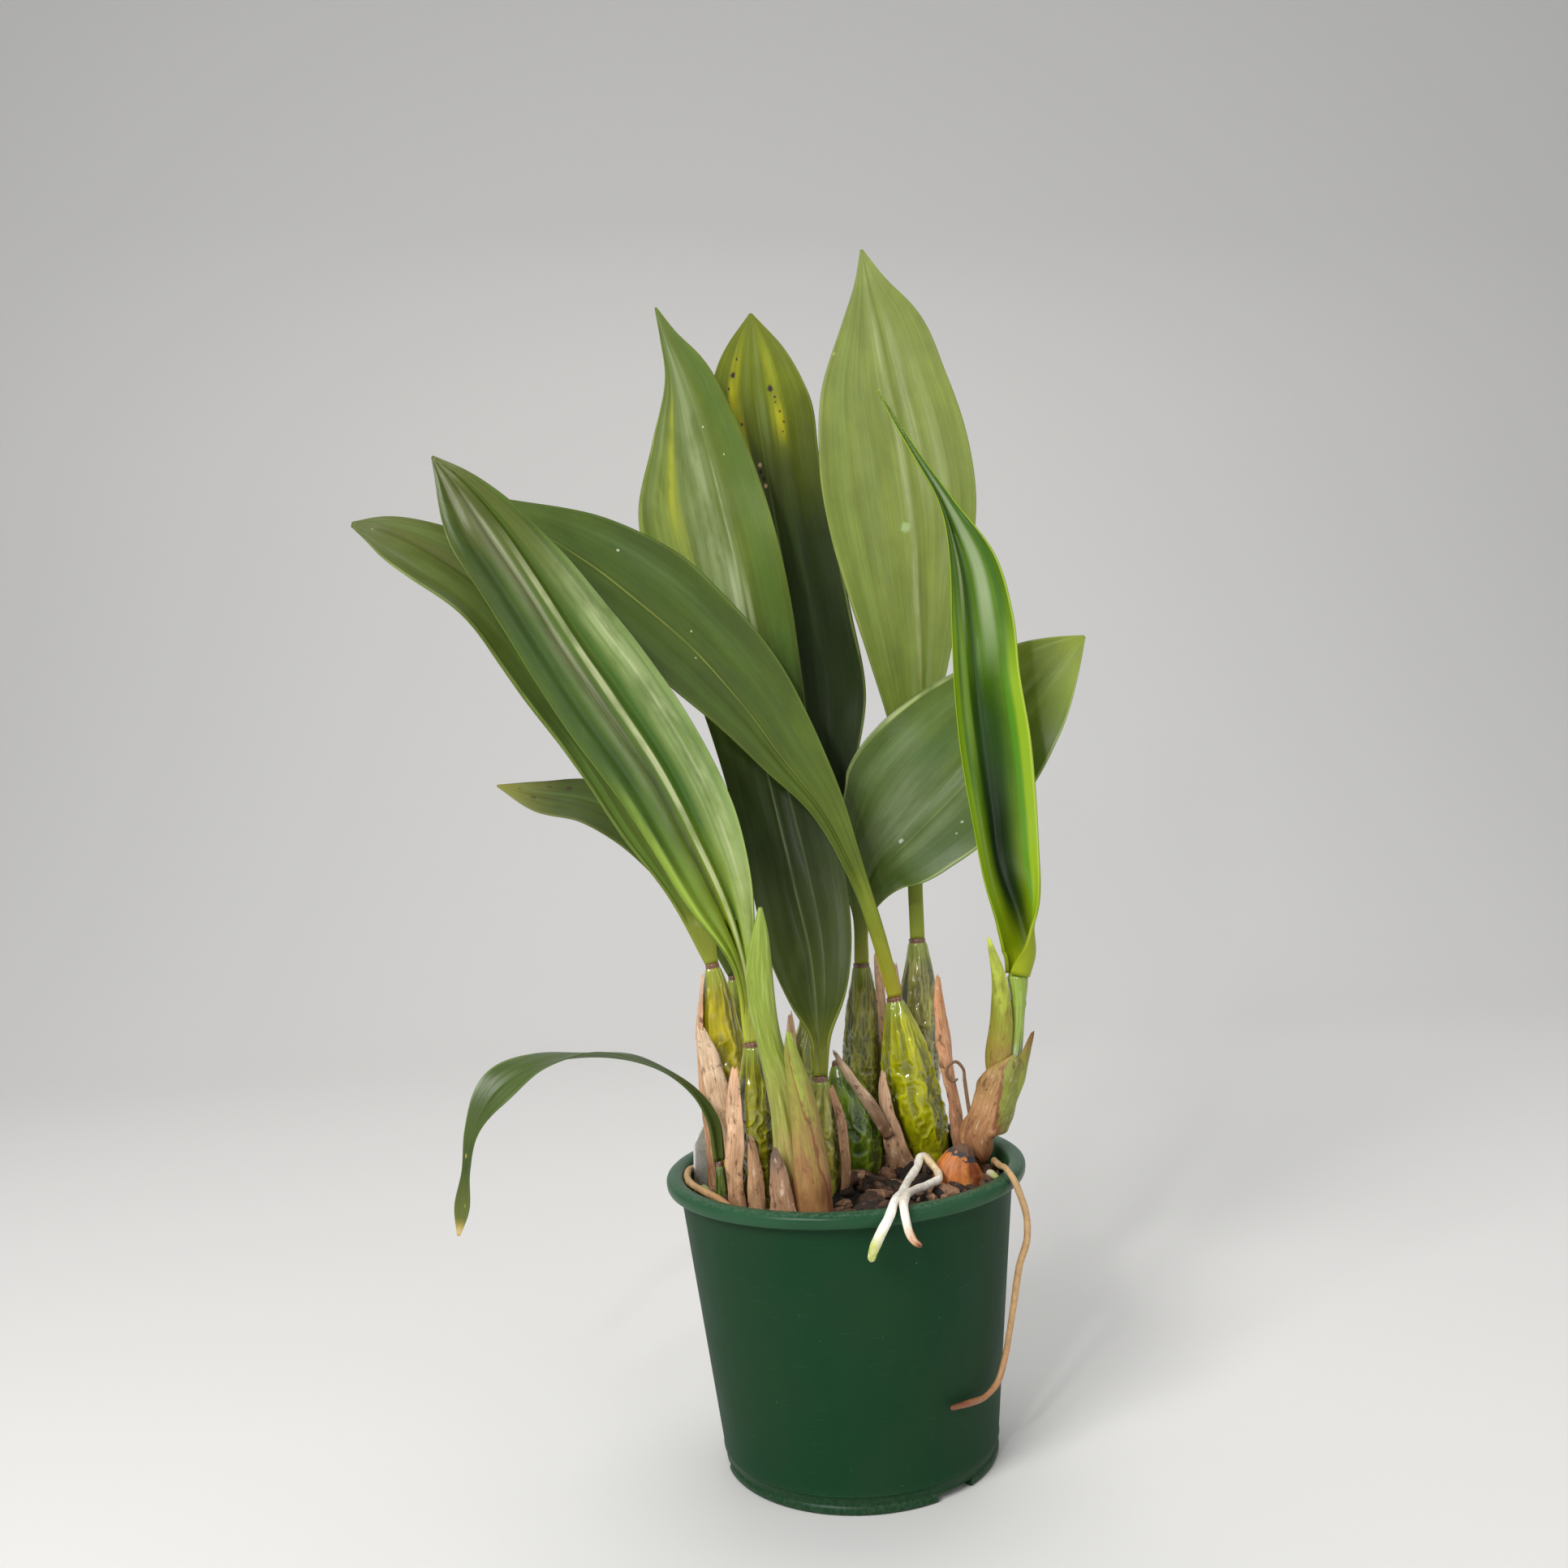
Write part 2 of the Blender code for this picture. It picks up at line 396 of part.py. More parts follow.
def blade_points(rows, stations, across, wave=0.0, pleat=0.0):
    """The middle surface of a blade, a grid of points from foot to tip and from left to right."""
    rows = smooth_rows(rows, stations)
    spine = rows[:, :3]
    along = np.gradient(spine, axis=0)
    along /= np.linalg.norm(along, axis=1)[:, None]
    front = np.array([0.0, -1.0, 0.0])
    facing = front - (along @ front)[:, None] * along
    facing /= np.linalg.norm(facing, axis=1)[:, None]
    side = np.cross(along, facing)
    turn = np.radians(rows[:, 5])[:, None]
    upper = np.cos(turn) * facing + np.sin(turn) * side
    right = np.cross(along, upper)
    reach = np.linspace(-1.0, 1.0, across)
    points = np.empty((stations, across, 3))
    for i in range(stations):
        progress = i / (stations - 1)
        half = np.where(reach < 0, rows[i, 3], rows[i, 4])
        bend = max(math.radians(abs(rows[i, 6])), 0.01)
        sideways = half * np.sin(reach * bend) / bend
        lift = math.copysign(1.0, rows[i, 6]) * half * (1.0 - np.cos(reach * bend)) / bend
        ripple = np.sin(2 * math.pi * WAVES_ALONG * progress + np.where(reach < 0, 0.0, 1.9))
        lift += wave * half * np.abs(reach) ** 1.5 * ripple
        fold = np.cos(math.pi * PLEATS_ACROSS * reach) * (1 - reach**2)
        lift += pleat * fold * min(1.0, half.max() / FULL_PLEAT_WIDTH)
        points[i] = spine[i] + sideways[:, None] * right[i] + lift[:, None] * upper[i]
    return points


def blade_object(name, points, thickness, foot_thickness, material, grow=0.0):
    """A thin solid blade: the grid of points thickened to both sides, alike on both faces."""
    stations, across, _ = points.shape
    corners = [tuple(p * MM) for p in points.reshape(-1, 3)]
    faces = []
    for i in range(stations - 1):
        for j in range(across - 1):
            a = i * across + j
            faces.append((a, a + 1, a + across + 1))
            faces.append((a, a + across + 1, a + across))
    mesh = bpy.data.meshes.new(name)
    mesh.from_pydata(corners, [], faces)
    blade = add_object(name, mesh, material)
    group = blade.vertex_groups.new(name="body")
    widest = max(thickness, foot_thickness) + 2 * grow
    for i in range(stations):
        fade = max(0.0, 1.0 - i / (STALK_SHARE * (stations - 1)))
        here = thickness + (foot_thickness - thickness) * fade + 2 * grow
        group.add([i * across + j for j in range(across)], here / widest, "REPLACE")
    solid = blade.modifiers.new("thickness", "SOLIDIFY")
    solid.thickness = widest * MM
    solid.offset = 0.0
    solid.vertex_group = group.name
    for polygon in mesh.polygons:
        polygon.use_smooth = True
    return blade


def lofted_mesh(name, rings):
    """A closed body through rings of points, with a flat cap at each end."""
    mesh = bpy.data.meshes.new(name)
    shape = bmesh.new()
    rows = [[shape.verts.new(Vector(p) * MM) for p in ring] for ring in rings]
    sides = len(rows[0])
    for lower, above in zip(rows, rows[1:]):
        for k in range(sides):
            following = (k + 1) % sides
            shape.faces.new((lower[k], lower[following], above[following], above[k]))
    shape.faces.new(reversed(rows[0]))
    shape.faces.new(rows[-1])
    bmesh.ops.recalc_face_normals(shape, faces=shape.faces)
    shape.to_mesh(mesh)
    shape.free()
    return mesh


def ring_frame(spine, i):
    """Two directions across a spine at one of its points."""
    along = Vector(spine[min(i + 1, len(spine) - 1)]) - Vector(spine[max(i - 1, 0)])
    along.normalize()
    side = Vector((1, 0, 0)) - along.x * along
    side.normalize()
    return side, along.cross(side)


def bulb_rings(rows, grow=0.0):
    rows = smooth_rows(rows, BULB_RINGS).tolist()
    spine = [tuple(row[:3]) for row in rows]
    rings = []
    for i, row in enumerate(rows):
        side, depth = ring_frame(spine, i)
        progress = i / (BULB_RINGS - 1)
        plump = math.sin(math.pi * min(1.0, 0.1 + 0.9 * progress))
        ring = []
        for k in range(BULB_SIDES):
            angle = 2 * math.pi * k / BULB_SIDES
            ridged = BULB_RIDGE * math.cos(math.pi * k) + BULB_CORNERS * math.cos(4 * angle)
            radius = row[3] * (1 + ridged * plump) + grow
            ring.append(Vector(row[:3]) + radius * (math.cos(angle) * side + math.sin(angle) * depth))
        rings.append(ring)
    return rings


def stem_rings(rows, count, grow=0.0):
    """Rings through rows of x, y, z, half width and half depth."""
    rows = smooth_rows(rows, count).tolist()
    spine = [tuple(row[:3]) for row in rows]
    rings = []
    for i, row in enumerate(rows):
        side, depth = ring_frame(spine, i)
        ring = []
        for k in range(STEM_SIDES):
            angle = 2 * math.pi * k / STEM_SIDES
            across = (row[3] + grow) * math.cos(angle) * side
            ring.append(Vector(row[:3]) + across + (row[4] + grow) * math.sin(angle) * depth)
        rings.append(ring)
    return rings


def tube_rings(rows, count, grow=0.0):
    """Rings round a curved line, carried along it without twist."""
    rows = smooth_rows(rows, count).tolist()
    rings = []
    for i, row in enumerate(rows):
        ahead = Vector(rows[min(i + 1, count - 1)][:3]) - Vector(rows[max(i - 1, 0)][:3])
        ahead.normalize()
        if not rings:
            side = ahead.orthogonal()
        side = (side - side.dot(ahead) * ahead).normalized()
        other = ahead.cross(side)
        ring = []
        for k in range(ROOT_SIDES):
            angle = 2 * math.pi * k / ROOT_SIDES
            offset = math.cos(angle) * side + math.sin(angle) * other
            ring.append(Vector(row[:3]) + (row[3] + grow) * offset)
        rings.append(ring)
    return rings


def deepened(rings, both_ends=False):
    """The same rings with one more below the foot, so that a hole reaches past the piece."""
    down = Vector((0, 0, -HOLE_BEYOND))
    below = [p + down for p in rings[0]]
    if both_ends:
        return [below] + rings + [[p + down for p in rings[-1]]]
    return [below] + rings


def slot_points(points):
    """A blade's grid of points, widened by the gap and carried down past its foot."""
    wide = points.copy()
    for edge, inner in ((0, 1), (-1, -2)):
        outward = points[:, edge] - points[:, inner]
        wide[:, edge] += GAP * outward / np.linalg.norm(outward, axis=1)[:, None]
    return np.concatenate([wide[:1] - np.array([0.0, 0.0, HOLE_BEYOND]), wide])


def body_radius(height):
    """The outer radius of the pot's wall at a height above its foot."""
    top = POT_HEIGHT - RIM_DEPTH
    share = min(max(height / top, 0.0), 1.0)
    return BODY_FOOT_RADIUS + (BODY_TOP_RADIUS - BODY_FOOT_RADIUS) * share


def build_pot():
    under_rim = POT_HEIGHT - RIM_DEPTH
    inner_top = body_radius(under_rim) - WALL
    inner_foot = body_radius(FLOOR) - WALL
    profile = [
        (0.0, FLOOR),
        (inner_foot, FLOOR),
        (inner_top, under_rim),
        (RIM_LIP_RADIUS - 2.0, POT_HEIGHT - 1.2),
        (RIM_LIP_RADIUS - 0.6, POT_HEIGHT - 0.2),
        (RIM_LIP_RADIUS + 1.0, POT_HEIGHT),
        (RIM_RADIUS - 1.2, POT_HEIGHT - 0.5),
        (RIM_RADIUS, POT_HEIGHT - 2.0),
        (RIM_RADIUS - 0.4, under_rim),
        (BODY_TOP_RADIUS, under_rim),
        (body_radius(FOOT_STEP), FOOT_STEP),
        (body_radius(FOOT_STEP) - 0.5, FOOT_STEP - 0.6),
        (BODY_FOOT_RADIUS - 0.2, 3.4),
        (BODY_FOOT_RADIUS + FOOT_ROLL, 2.6),
        (BODY_FOOT_RADIUS + FOOT_ROLL, 1.2),
        (BODY_FOOT_RADIUS - 0.4, 0.0),
        (0.0, 0.0),
    ]
    shape = bmesh.new()
    points = [shape.verts.new((r * MM, 0, z * MM)) for r, z in profile]
    edges = [shape.edges.new(pair) for pair in zip(points, points[1:])]
    bmesh.ops.spin(
        shape, geom=points + edges, axis=(0, 0, 1), cent=(0, 0, 0),
        angle=2 * math.pi, steps=POT_SIDES, use_merge=True,
    )
    bmesh.ops.remove_doubles(shape, verts=shape.verts, dist=GAP * MM / 10)
    bmesh.ops.recalc_face_normals(shape, faces=shape.faces)
    mesh = bpy.data.meshes.new("pot")
    shape.to_mesh(mesh)
    shape.free()
    pot = add_object("pot", mesh, "green_plastic")
    for slot in range(DRAIN_SLOTS):
        cut_drain(pot, slot)
    return pot


def cut_drain(pot, slot):
    azimuth = math.radians(FIRST_SLOT_AZIMUTH + slot * 360.0 / DRAIN_SLOTS)
    outward = Vector((math.sin(azimuth), -math.cos(azimuth), 0))
    turned = Matrix.Rotation(azimuth, 4, "Z")
    beyond = 4.0
    slot_length = SLOT_DEPTH + beyond
    middle = (BODY_FOOT_RADIUS + beyond - slot_length / 2) * outward
    block = bmesh.new()
    bmesh.ops.create_cube(block, size=1.0)
    stretch = Matrix.Diagonal((SLOT_WIDTH * MM, slot_length * MM, 2 * SLOT_HEIGHT * MM, 1))
    block.transform(Matrix.Translation(middle * MM) @ turned @ stretch)
    hole = bmesh.new()
    bmesh.ops.create_cone(
        hole, cap_ends=True, segments=12, radius1=DRAIN_HOLE_RADIUS * MM,
        radius2=DRAIN_HOLE_RADIUS * MM, depth=(FLOOR + 4.0) * MM,
    )
    place = (BODY_FOOT_RADIUS - SLOT_DEPTH / 2 - 1.5) * outward + Vector((0, 0, SLOT_HEIGHT / 2 + FLOOR / 2))
    hole.transform(Matrix.Translation(place * MM))
    for kind, shape in (("slot", block), ("hole", hole)):
        mesh = bpy.data.meshes.new(f"drain_{kind}_{slot + 1}")
        shape.to_mesh(mesh)
        shape.free()
        cutter = add_object(mesh.name, mesh)
        hide_helper(cutter)
        cut = pot.modifiers.new(cutter.name, "BOOLEAN")
        cut.operation = "DIFFERENCE"
        cut.object = cutter


def mix_height(x, y):
    """The mix's surface, a little higher in the middle and uneven all over."""
    uneven = math.sin(0.13 * x + 1.0) * math.cos(0.11 * y) + 0.6 * math.sin(0.21 * x - 0.17 * y)
    return MIX_TOP + MIX_UNEVEN * uneven


def mix_body():
    def inner(height):
        return body_radius(height) - WALL - GAP

    rings = []
    for radius, height in ((inner(FLOOR) - 0.4, FLOOR + GAP), (inner(MIX_TOP) - 0.4, MIX_TOP - MIX_SHOULDER)):
        rings.append([
            (radius * math.cos(a), radius * math.sin(a), height)
            for a in (2 * math.pi * k / MIX_SIDES for k in range(MIX_SIDES))
        ])
    for ring in range(MIX_RINGS):
        radius = (inner(MIX_TOP) - 0.8) * (1 - ring / MIX_RINGS)
        points = []
        for k in range(MIX_SIDES):
            angle = 2 * math.pi * k / MIX_SIDES
            x, y = radius * math.cos(angle), radius * math.sin(angle)
            points.append((x, y, mix_height(x, y)))
        rings.append(points)
    return lofted_mesh("mix_body", rings)


def bark_chunk(number, place, draw):
    """A rough block of bark, half sunk into the mix."""
    length = draw.uniform(*BARK_LENGTH)
    size = Vector((length, length * draw.uniform(*BARK_BREADTH_SHARE), length * draw.uniform(*BARK_HEIGHT_SHARE)))
    shape = bmesh.new()
    bmesh.ops.create_cube(shape, size=0.9)
    for vertex in shape.verts:
        vertex.co += Vector([draw.uniform(-BARK_CORNER_SHIFT, BARK_CORNER_SHIFT) for _ in range(3)])
    turn = Matrix.Rotation(draw.uniform(0, math.pi), 4, "Z")
    tilt = Matrix.Rotation(draw.uniform(-BARK_TILT, BARK_TILT), 4, "X")
    shape.transform(turn @ tilt @ Matrix.Diagonal((*size, 1)))
    shape.transform(Matrix.Translation(Vector(place)))
    shape.transform(Matrix.Scale(MM, 4))
    mesh = bpy.data.meshes.new(f"bark_{number}")
    shape.to_mesh(mesh)
    shape.free()
    return add_object(mesh.name, mesh)


def join_by_union(name, first, others, material):
    """One solid from overlapping ones: the others are united with the first, then removed."""
    group = bpy.data.collections.new(name + "_parts")
    for other in others:
        bpy.context.scene.collection.objects.unlink(other)
        group.objects.link(other)
    bpy.context.scene.collection.children.link(group)
    union = first.modifiers.new("union", "BOOLEAN")
    union.operation = "UNION"
    union.operand_type = "COLLECTION"
    union.collection = group
    bpy.context.view_layer.update()
    graph = bpy.context.evaluated_depsgraph_get()
    mesh = bpy.data.meshes.new_from_object(first.evaluated_get(graph))
    for other in list(others) + [first]:
        bpy.data.objects.remove(other, do_unlink=True)
    bpy.data.collections.remove(group)
    mesh.name = name
    mesh.materials.clear()
    return add_object(name, mesh, material)


def chunk_places(draw):
    """Seeded places for the bark, kept off the pot's wall and off each other."""
    places = []
    widest = body_radius(MIX_TOP) - WALL - BARK_LENGTH[1] / 2 - 2.0
    tries = 0
    while len(places) < BARK_CHUNKS and tries < BARK_TRIES:
        tries += 1
        radius = widest * math.sqrt(draw.random())
        angle = draw.uniform(0, 2 * math.pi)
        x, y = radius * math.cos(angle), radius * math.sin(angle)
        if all(math.hypot(x - px, y - py) > BARK_SPACING for px, py, _ in places):
            places.append((x, y, mix_height(x, y) + draw.uniform(*BARK_SINK)))
    return places


def build_mix(cutters):
    body = add_object("mix_body", mix_body())
    draw = random.Random(BARK_SEED)
    chunks = [bark_chunk(i, place, draw) for i, place in enumerate(chunk_places(draw))]
    mix = join_by_union("potting_mix", body, chunks, "bark")
    group = bpy.data.collections.new("planting_holes")
    bpy.context.scene.collection.children.link(group)
    for cutter in cutters:
        bpy.context.scene.collection.objects.unlink(cutter)
        group.objects.link(cutter)
        hide_helper(cutter)
    holes = mix.modifiers.new("planting_holes", "BOOLEAN")
    holes.operation = "DIFFERENCE"
    holes.operand_type = "COLLECTION"
    holes.collection = group
    bpy.context.view_layer.update()
    graph = bpy.context.evaluated_depsgraph_get()
    cut = bpy.data.meshes.new_from_object(mix.evaluated_get(graph))
    mix.modifiers.remove(holes)
    drop_scraps(cut)
    mix.data = cut
    return mix


def drop_scraps(mesh):
    """Keeps the largest connected piece of a mesh, so that no loose crumb of bark is left."""
    shape = bmesh.new()
    shape.from_mesh(mesh)
    unseen = set(shape.verts)
    pieces = []
    while unseen:
        found = {unseen.pop()}
        edge = list(found)
        while edge:
            near = {e.other_vert(v) for v in edge for e in v.link_edges} & unseen
            unseen -= near
            found |= near
            edge = list(near)
        pieces.append(found)
    largest = max(pieces, key=len)
    scraps = [v for piece in pieces if piece is not largest for v in piece]
    bmesh.ops.delete(shape, geom=scraps, context="VERTS")
    shape.to_mesh(mesh)
    shape.free()


def shade(thing):
    for polygon in thing.data.polygons:
        polygon.use_smooth = True
    return thing


def build_bulb(name, rows):
    colour = "bulb_dark" if name in DARK_BULBS else "bulb_green"
    bulb = shade(add_object(name, lofted_mesh(name, bulb_rings(rows)), colour))
    hole = lofted_mesh(name + "_hole", deepened(bulb_rings(rows, GAP)))
    return bulb, add_object(hole.name, hole)


def build_leaf(name, rows):
    stations = len(rows) + 2
    wave = LEAF_WAVES.get(name, LEAF_WAVE)
    points = blade_points(rows, stations, LEAF_COLUMNS, wave, LEAF_PLEATS.get(name, 0.0))
    return blade_object(name, points, LEAF_THICKNESS, STALK_THICKNESS, LEAF_COLOURS[name])


def build_scale(name, rows, thickness, material):
    """A sheath or a dry bract, and the slot that it stands in where it reaches into the mix."""
    across = SHEATH_COLUMNS if name in SHEATHS else BRACT_COLUMNS
    points = blade_points(rows, len(rows) + 1, across, SCALE_WAVE)
    scale = blade_object(name, points, thickness, thickness, material)
    if rows[0][2] > MIX_TOP:
        return scale, None
    return scale, blade_object(name + "_slot", slot_points(points), thickness, thickness, None, GAP)


def build_forked_root():
    left_rings = tube_rings(ROOT_FORK_LEFT, FORK_RINGS)
    left = add_object("fork_left", lofted_mesh("fork_left", left_rings))
    right_rings = tube_rings(ROOT_FORK_RIGHT, FORK_RINGS)
    right = add_object("fork_right", lofted_mesh("fork_right", right_rings))
    root = join_by_union("white_forked_root", left, [right], "white_root")
    rings = deepened(tube_rings(ROOT_FORK_LEFT, FORK_RINGS, GAP))
    return shade(root), add_object("fork_hole", lofted_mesh("fork_hole", rings))


def build_root(name, rows, material):
    count = int(1.5 * len(rows))
    root = shade(add_object(name, lofted_mesh(name, tube_rings(rows, count)), material))
    rings = deepened(tube_rings(rows, count, GAP), name in LOOPED_ROOTS)
    return root, add_object(name + "_hole", lofted_mesh(name + "_hole", rings))


def build_tag(grow=0.0):
    half, thick = TAG_WIDTH / 2 + grow, TAG_THICKNESS / 2 + grow
    outline = [(-half, -grow), (half, -grow), (half, TAG_HEIGHT), (0.0, TAG_HEIGHT), (-half, TAG_HEIGHT - TAG_CUT)]
    shape = bmesh.new()
    face = shape.faces.new([shape.verts.new((x, -thick, z)) for x, z in outline])
    grown = bmesh.ops.extrude_face_region(shape, geom=[face])
    moved = [v for v in grown["geom"] if isinstance(v, bmesh.types.BMVert)]
    bmesh.ops.translate(shape, verts=moved, vec=(0, 2 * thick, 0))
    bmesh.ops.recalc_face_normals(shape, faces=shape.faces)
    shape.transform(Matrix.Scale(MM, 4))
    name = "plant_tag_slot" if grow else "plant_tag"
    mesh = bpy.data.meshes.new(name)
    shape.to_mesh(mesh)
    shape.free()
    tag = add_object(name, mesh, None if grow else "grey_tag")
    tag.location = Vector(TAG_FOOT) * MM
    tag.rotation_euler = (math.radians(TAG_LEAN), 0, math.radians(TAG_TURN))
    return tag


def build_shoots(cutters):
    stems = {
        "front_shoot": (FRONT_SHOOT, 12, "shoot_green"),
        "right_shoot_stem": (RIGHT_STEM, 10, "shoot_green"),
        "right_shoot_foot": (RIGHT_FOOT, 8, "brown_skin"),
    }
    for name, (rows, count, material) in stems.items():
        shade(add_object(name, lofted_mesh(name, stem_rings(rows, count)), material))
        rings = deepened(stem_rings(rows, count, GAP))
        cutters.append(add_object(name + "_hole", lofted_mesh(name + "_hole", rings)))


def main():
    clear_scene()
    cutters = [build_tag(GAP)]
    for name, rows in BULBS.items():
        cutters.append(build_bulb(name, rows)[1])
    for name, rows in LEAVES.items():
        build_leaf(name, rows)
    build_shoots(cutters)
    scales = [(name, rows, SHEATH_THICKNESS, "shoot_green") for name, rows in SHEATHS.items()]
    scales += [(name, rows, BRACT_THICKNESS, "papery") for name, rows in BRACTS.items()]
    for name, rows, thickness, material in scales:
        slot = build_scale(name, rows, thickness, material)[1]
        if slot:
            cutters.append(slot)
    colours = {"white_root_stub": "white_root", "green_root": "green_root"}
    for name, rows in ROOTS.items():
        cutters.append(build_root(name, rows, colours.get(name, "tan_root"))[1])
    cutters.append(build_forked_root()[1])
    build_tag()
    build_pot()
    build_mix(cutters)


main()
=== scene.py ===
"""The looks of a potted bifrenaria orchid: pleated leaves, ribbed bulbs, young shoots, papery
bracts, roots, bark mix, a green nursery pot and a blank tag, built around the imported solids.

Lengths in the tables are millimetres, and MM turns them into metres. The origin is the middle
of the pot's underside, +Z is up and the plant's front looks along -Y.
"""

import itertools
import math
import random

import bmesh
import bpy
import numpy as np
from bpy.props import FloatProperty, FloatVectorProperty, IntProperty, PointerProperty
from mathutils import Matrix, Vector


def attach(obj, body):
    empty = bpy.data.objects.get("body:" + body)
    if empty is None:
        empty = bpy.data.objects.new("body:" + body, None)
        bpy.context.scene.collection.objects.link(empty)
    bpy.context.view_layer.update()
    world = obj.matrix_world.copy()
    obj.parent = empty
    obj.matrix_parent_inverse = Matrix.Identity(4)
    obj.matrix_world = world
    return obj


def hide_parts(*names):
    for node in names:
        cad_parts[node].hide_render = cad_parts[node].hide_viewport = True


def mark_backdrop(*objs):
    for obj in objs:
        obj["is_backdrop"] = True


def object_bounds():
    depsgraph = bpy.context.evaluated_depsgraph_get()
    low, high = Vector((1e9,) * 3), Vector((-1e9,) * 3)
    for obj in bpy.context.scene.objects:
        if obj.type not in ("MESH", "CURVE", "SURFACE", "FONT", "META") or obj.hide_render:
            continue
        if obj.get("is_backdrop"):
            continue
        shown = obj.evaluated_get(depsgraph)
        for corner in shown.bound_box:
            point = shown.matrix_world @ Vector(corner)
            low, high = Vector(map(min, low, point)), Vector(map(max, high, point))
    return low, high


bl_info = {
    "name": "Potted orchid",
    "version": (1, 0, 0),
    "blender": (4, 5, 0),
    "location": "3D View > Sidebar > Orchid",
    "description": "Builds the finished pieces of a potted orchid around its packed solids",
    "category": "Object",
}

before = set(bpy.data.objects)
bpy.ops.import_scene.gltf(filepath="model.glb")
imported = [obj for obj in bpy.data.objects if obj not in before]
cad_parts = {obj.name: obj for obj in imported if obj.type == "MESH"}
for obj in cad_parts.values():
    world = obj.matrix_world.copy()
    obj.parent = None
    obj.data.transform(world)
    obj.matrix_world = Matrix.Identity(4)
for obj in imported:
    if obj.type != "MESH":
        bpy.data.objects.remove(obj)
CAD_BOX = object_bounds()

MM = 0.001
BODY = "root"
TURN = 2 * math.pi

# The pot, in millimetres: depth of the rolled rim, how far the wall flares from foot to rim,
# thickness of the wall, height of the inner floor and of the step above the foot, heights at
# which the wall is drawn; and the angle in degrees from which its edges look sharp
POT_RIM_DEPTH = 5.4
POT_FLARE = 13.1
POT_WALL = 2.4
POT_FLOOR = 6.0
POT_STEP = 7.0
POT_WALL_STEPS = (30.0, 60.0, 90.0)
POT_SHARP_ANGLE = 38

# The pot's outline, as steps outwards and upwards: from the rim's edge, from under the rim, from
# the wall at the step, and from the foot
RIM_CURVE = (
    (-7.4, -3.6), (-7, -1.6), (-6.3, -0.7), (-5.4, -0.2), (-4.2, 0), (-2.4, -0.1), (-1.2, -0.5),
    (-0.4, -1.2), (0, -2.2), (0, -3.4), (-0.2, -4.6),
)
RIM_UNDERSIDE = ((-0.6, 0), (-1.2, -0.25), (-4.6, -0.2), (-5.3, -0.7))
STEP_CURVE = ((0.3, 1.1), (0.35, 0.5), (-0.2, 0), (-0.5, -0.5))
FOOT_CURVE = ((-0.1, 3.6), (0.4, 3), (0.6, 2.3), (0.6, 1.4), (0.3, 0.5), (-0.4, 0), (-3, 0))

# The drain slots in the foot: how many, the turn of the first, the size of each, the hole above it
DRAIN_SLOTS = 3
DRAIN_TURN = 37
DRAIN_SLOT_SIZE = (18, 18, 6.4)
DRAIN_HOLE_RADIUS = 3.5

# The mix: height of its surface, how far its body and its chunks stay inside the wall's outer face,
# points round it and rings across its top, and the length of a chunk of bark
MIX_TOP = 110
MIX_INSET = 3.1
CHUNK_INSET = 4.0
MIX_SIDES = 128
MIX_RINGS = 40
CHUNK_SHORTEST = 4.5
CHUNK_SPREAD = 10.5
BARK_SHADES = (
    (0, "#18110c"), (0.25, "#271b13"), (0.5, "#3d291b"), (0.72, "#513726"), (0.88, "#70503a"),
    (1, "#97745c"),
)

# Where the shoots stand in the mix: x, y, radius
SHOOT_FEET = [(-20, -44, 6), (52, 4, 5), (46, -12, 8)]

# The tag: its outline, where it stands, its lean and turn in degrees, and where its pattern starts
TAG_OUTLINE = ((-5, 0), (5, 0), (5, 34), (0, 34), (-5, 28))
TAG_THICKNESS = 1
TAG_PLACE = (-61.8, 12.6, 101)
TAG_LEAN = 4
TAG_TURN = 50
TAG_PATTERN_START = (-59.6, 13, 101)

# Each light: its place, what it looks at, its size in metres and the setting with its power
LIGHTS = {
    "key_light": ((-0.95, -1.25, 1.3), (0, 0, 0.25), 0.7, "key_power"),
    "fill_light": ((1.4, -1.1, 0.8), (0, 0, 0.25), 1.6, "fill_power"),
    "top_light": ((0.1, 0.5, 1.7), (0, 0, 0.25), 1.2, "top_power"),
    "glint_light": ((-0.28, -0.85, 0.62), (0, 0, 0.15), 0.06, "glint_power"),
}
ROOM_COLOUR = (0.93, 0.96, 1.0, 1)

# The floor, in metres: its front edge, the radius of its bend, the top of its back, half its width
FLOOR_FRONT = -3.2
FLOOR_BEND = 0.9
FLOOR_TOP = 3.2
FLOOR_HALF_WIDTH = 3.5

# Distance between the rows of points along a piece, in millimetres, and the points across a scale
LEAF_STEP = 1.7
SCALE_STEP = 1.1
SCALE_COLUMNS = 31
BULB_RING_STEP = 0.62
ROOT_RING_STEP = 0.75

# Thickness of scales at their margin, and of bracts and sheaths along their middle
SCALE_EDGE = 0.25
BRACT_MIDDLE = 0.55
SHEATH_MIDDLE = 0.8

# The rings that round off a top: share of the width, and rise in millimetres
BULB_CROWN = ((0.95, 0.35), (0.82, 0.65), (0.6, 0.9))
SHOOT_CROWN = ((0.6, 0.1),)
STEM_CROWN = ((0.92, 0.5), (0.8, 1.8))
FOOT_CROWN = ((0.85, 0.5), (0.6, 0.9), (0.3, 1.1))

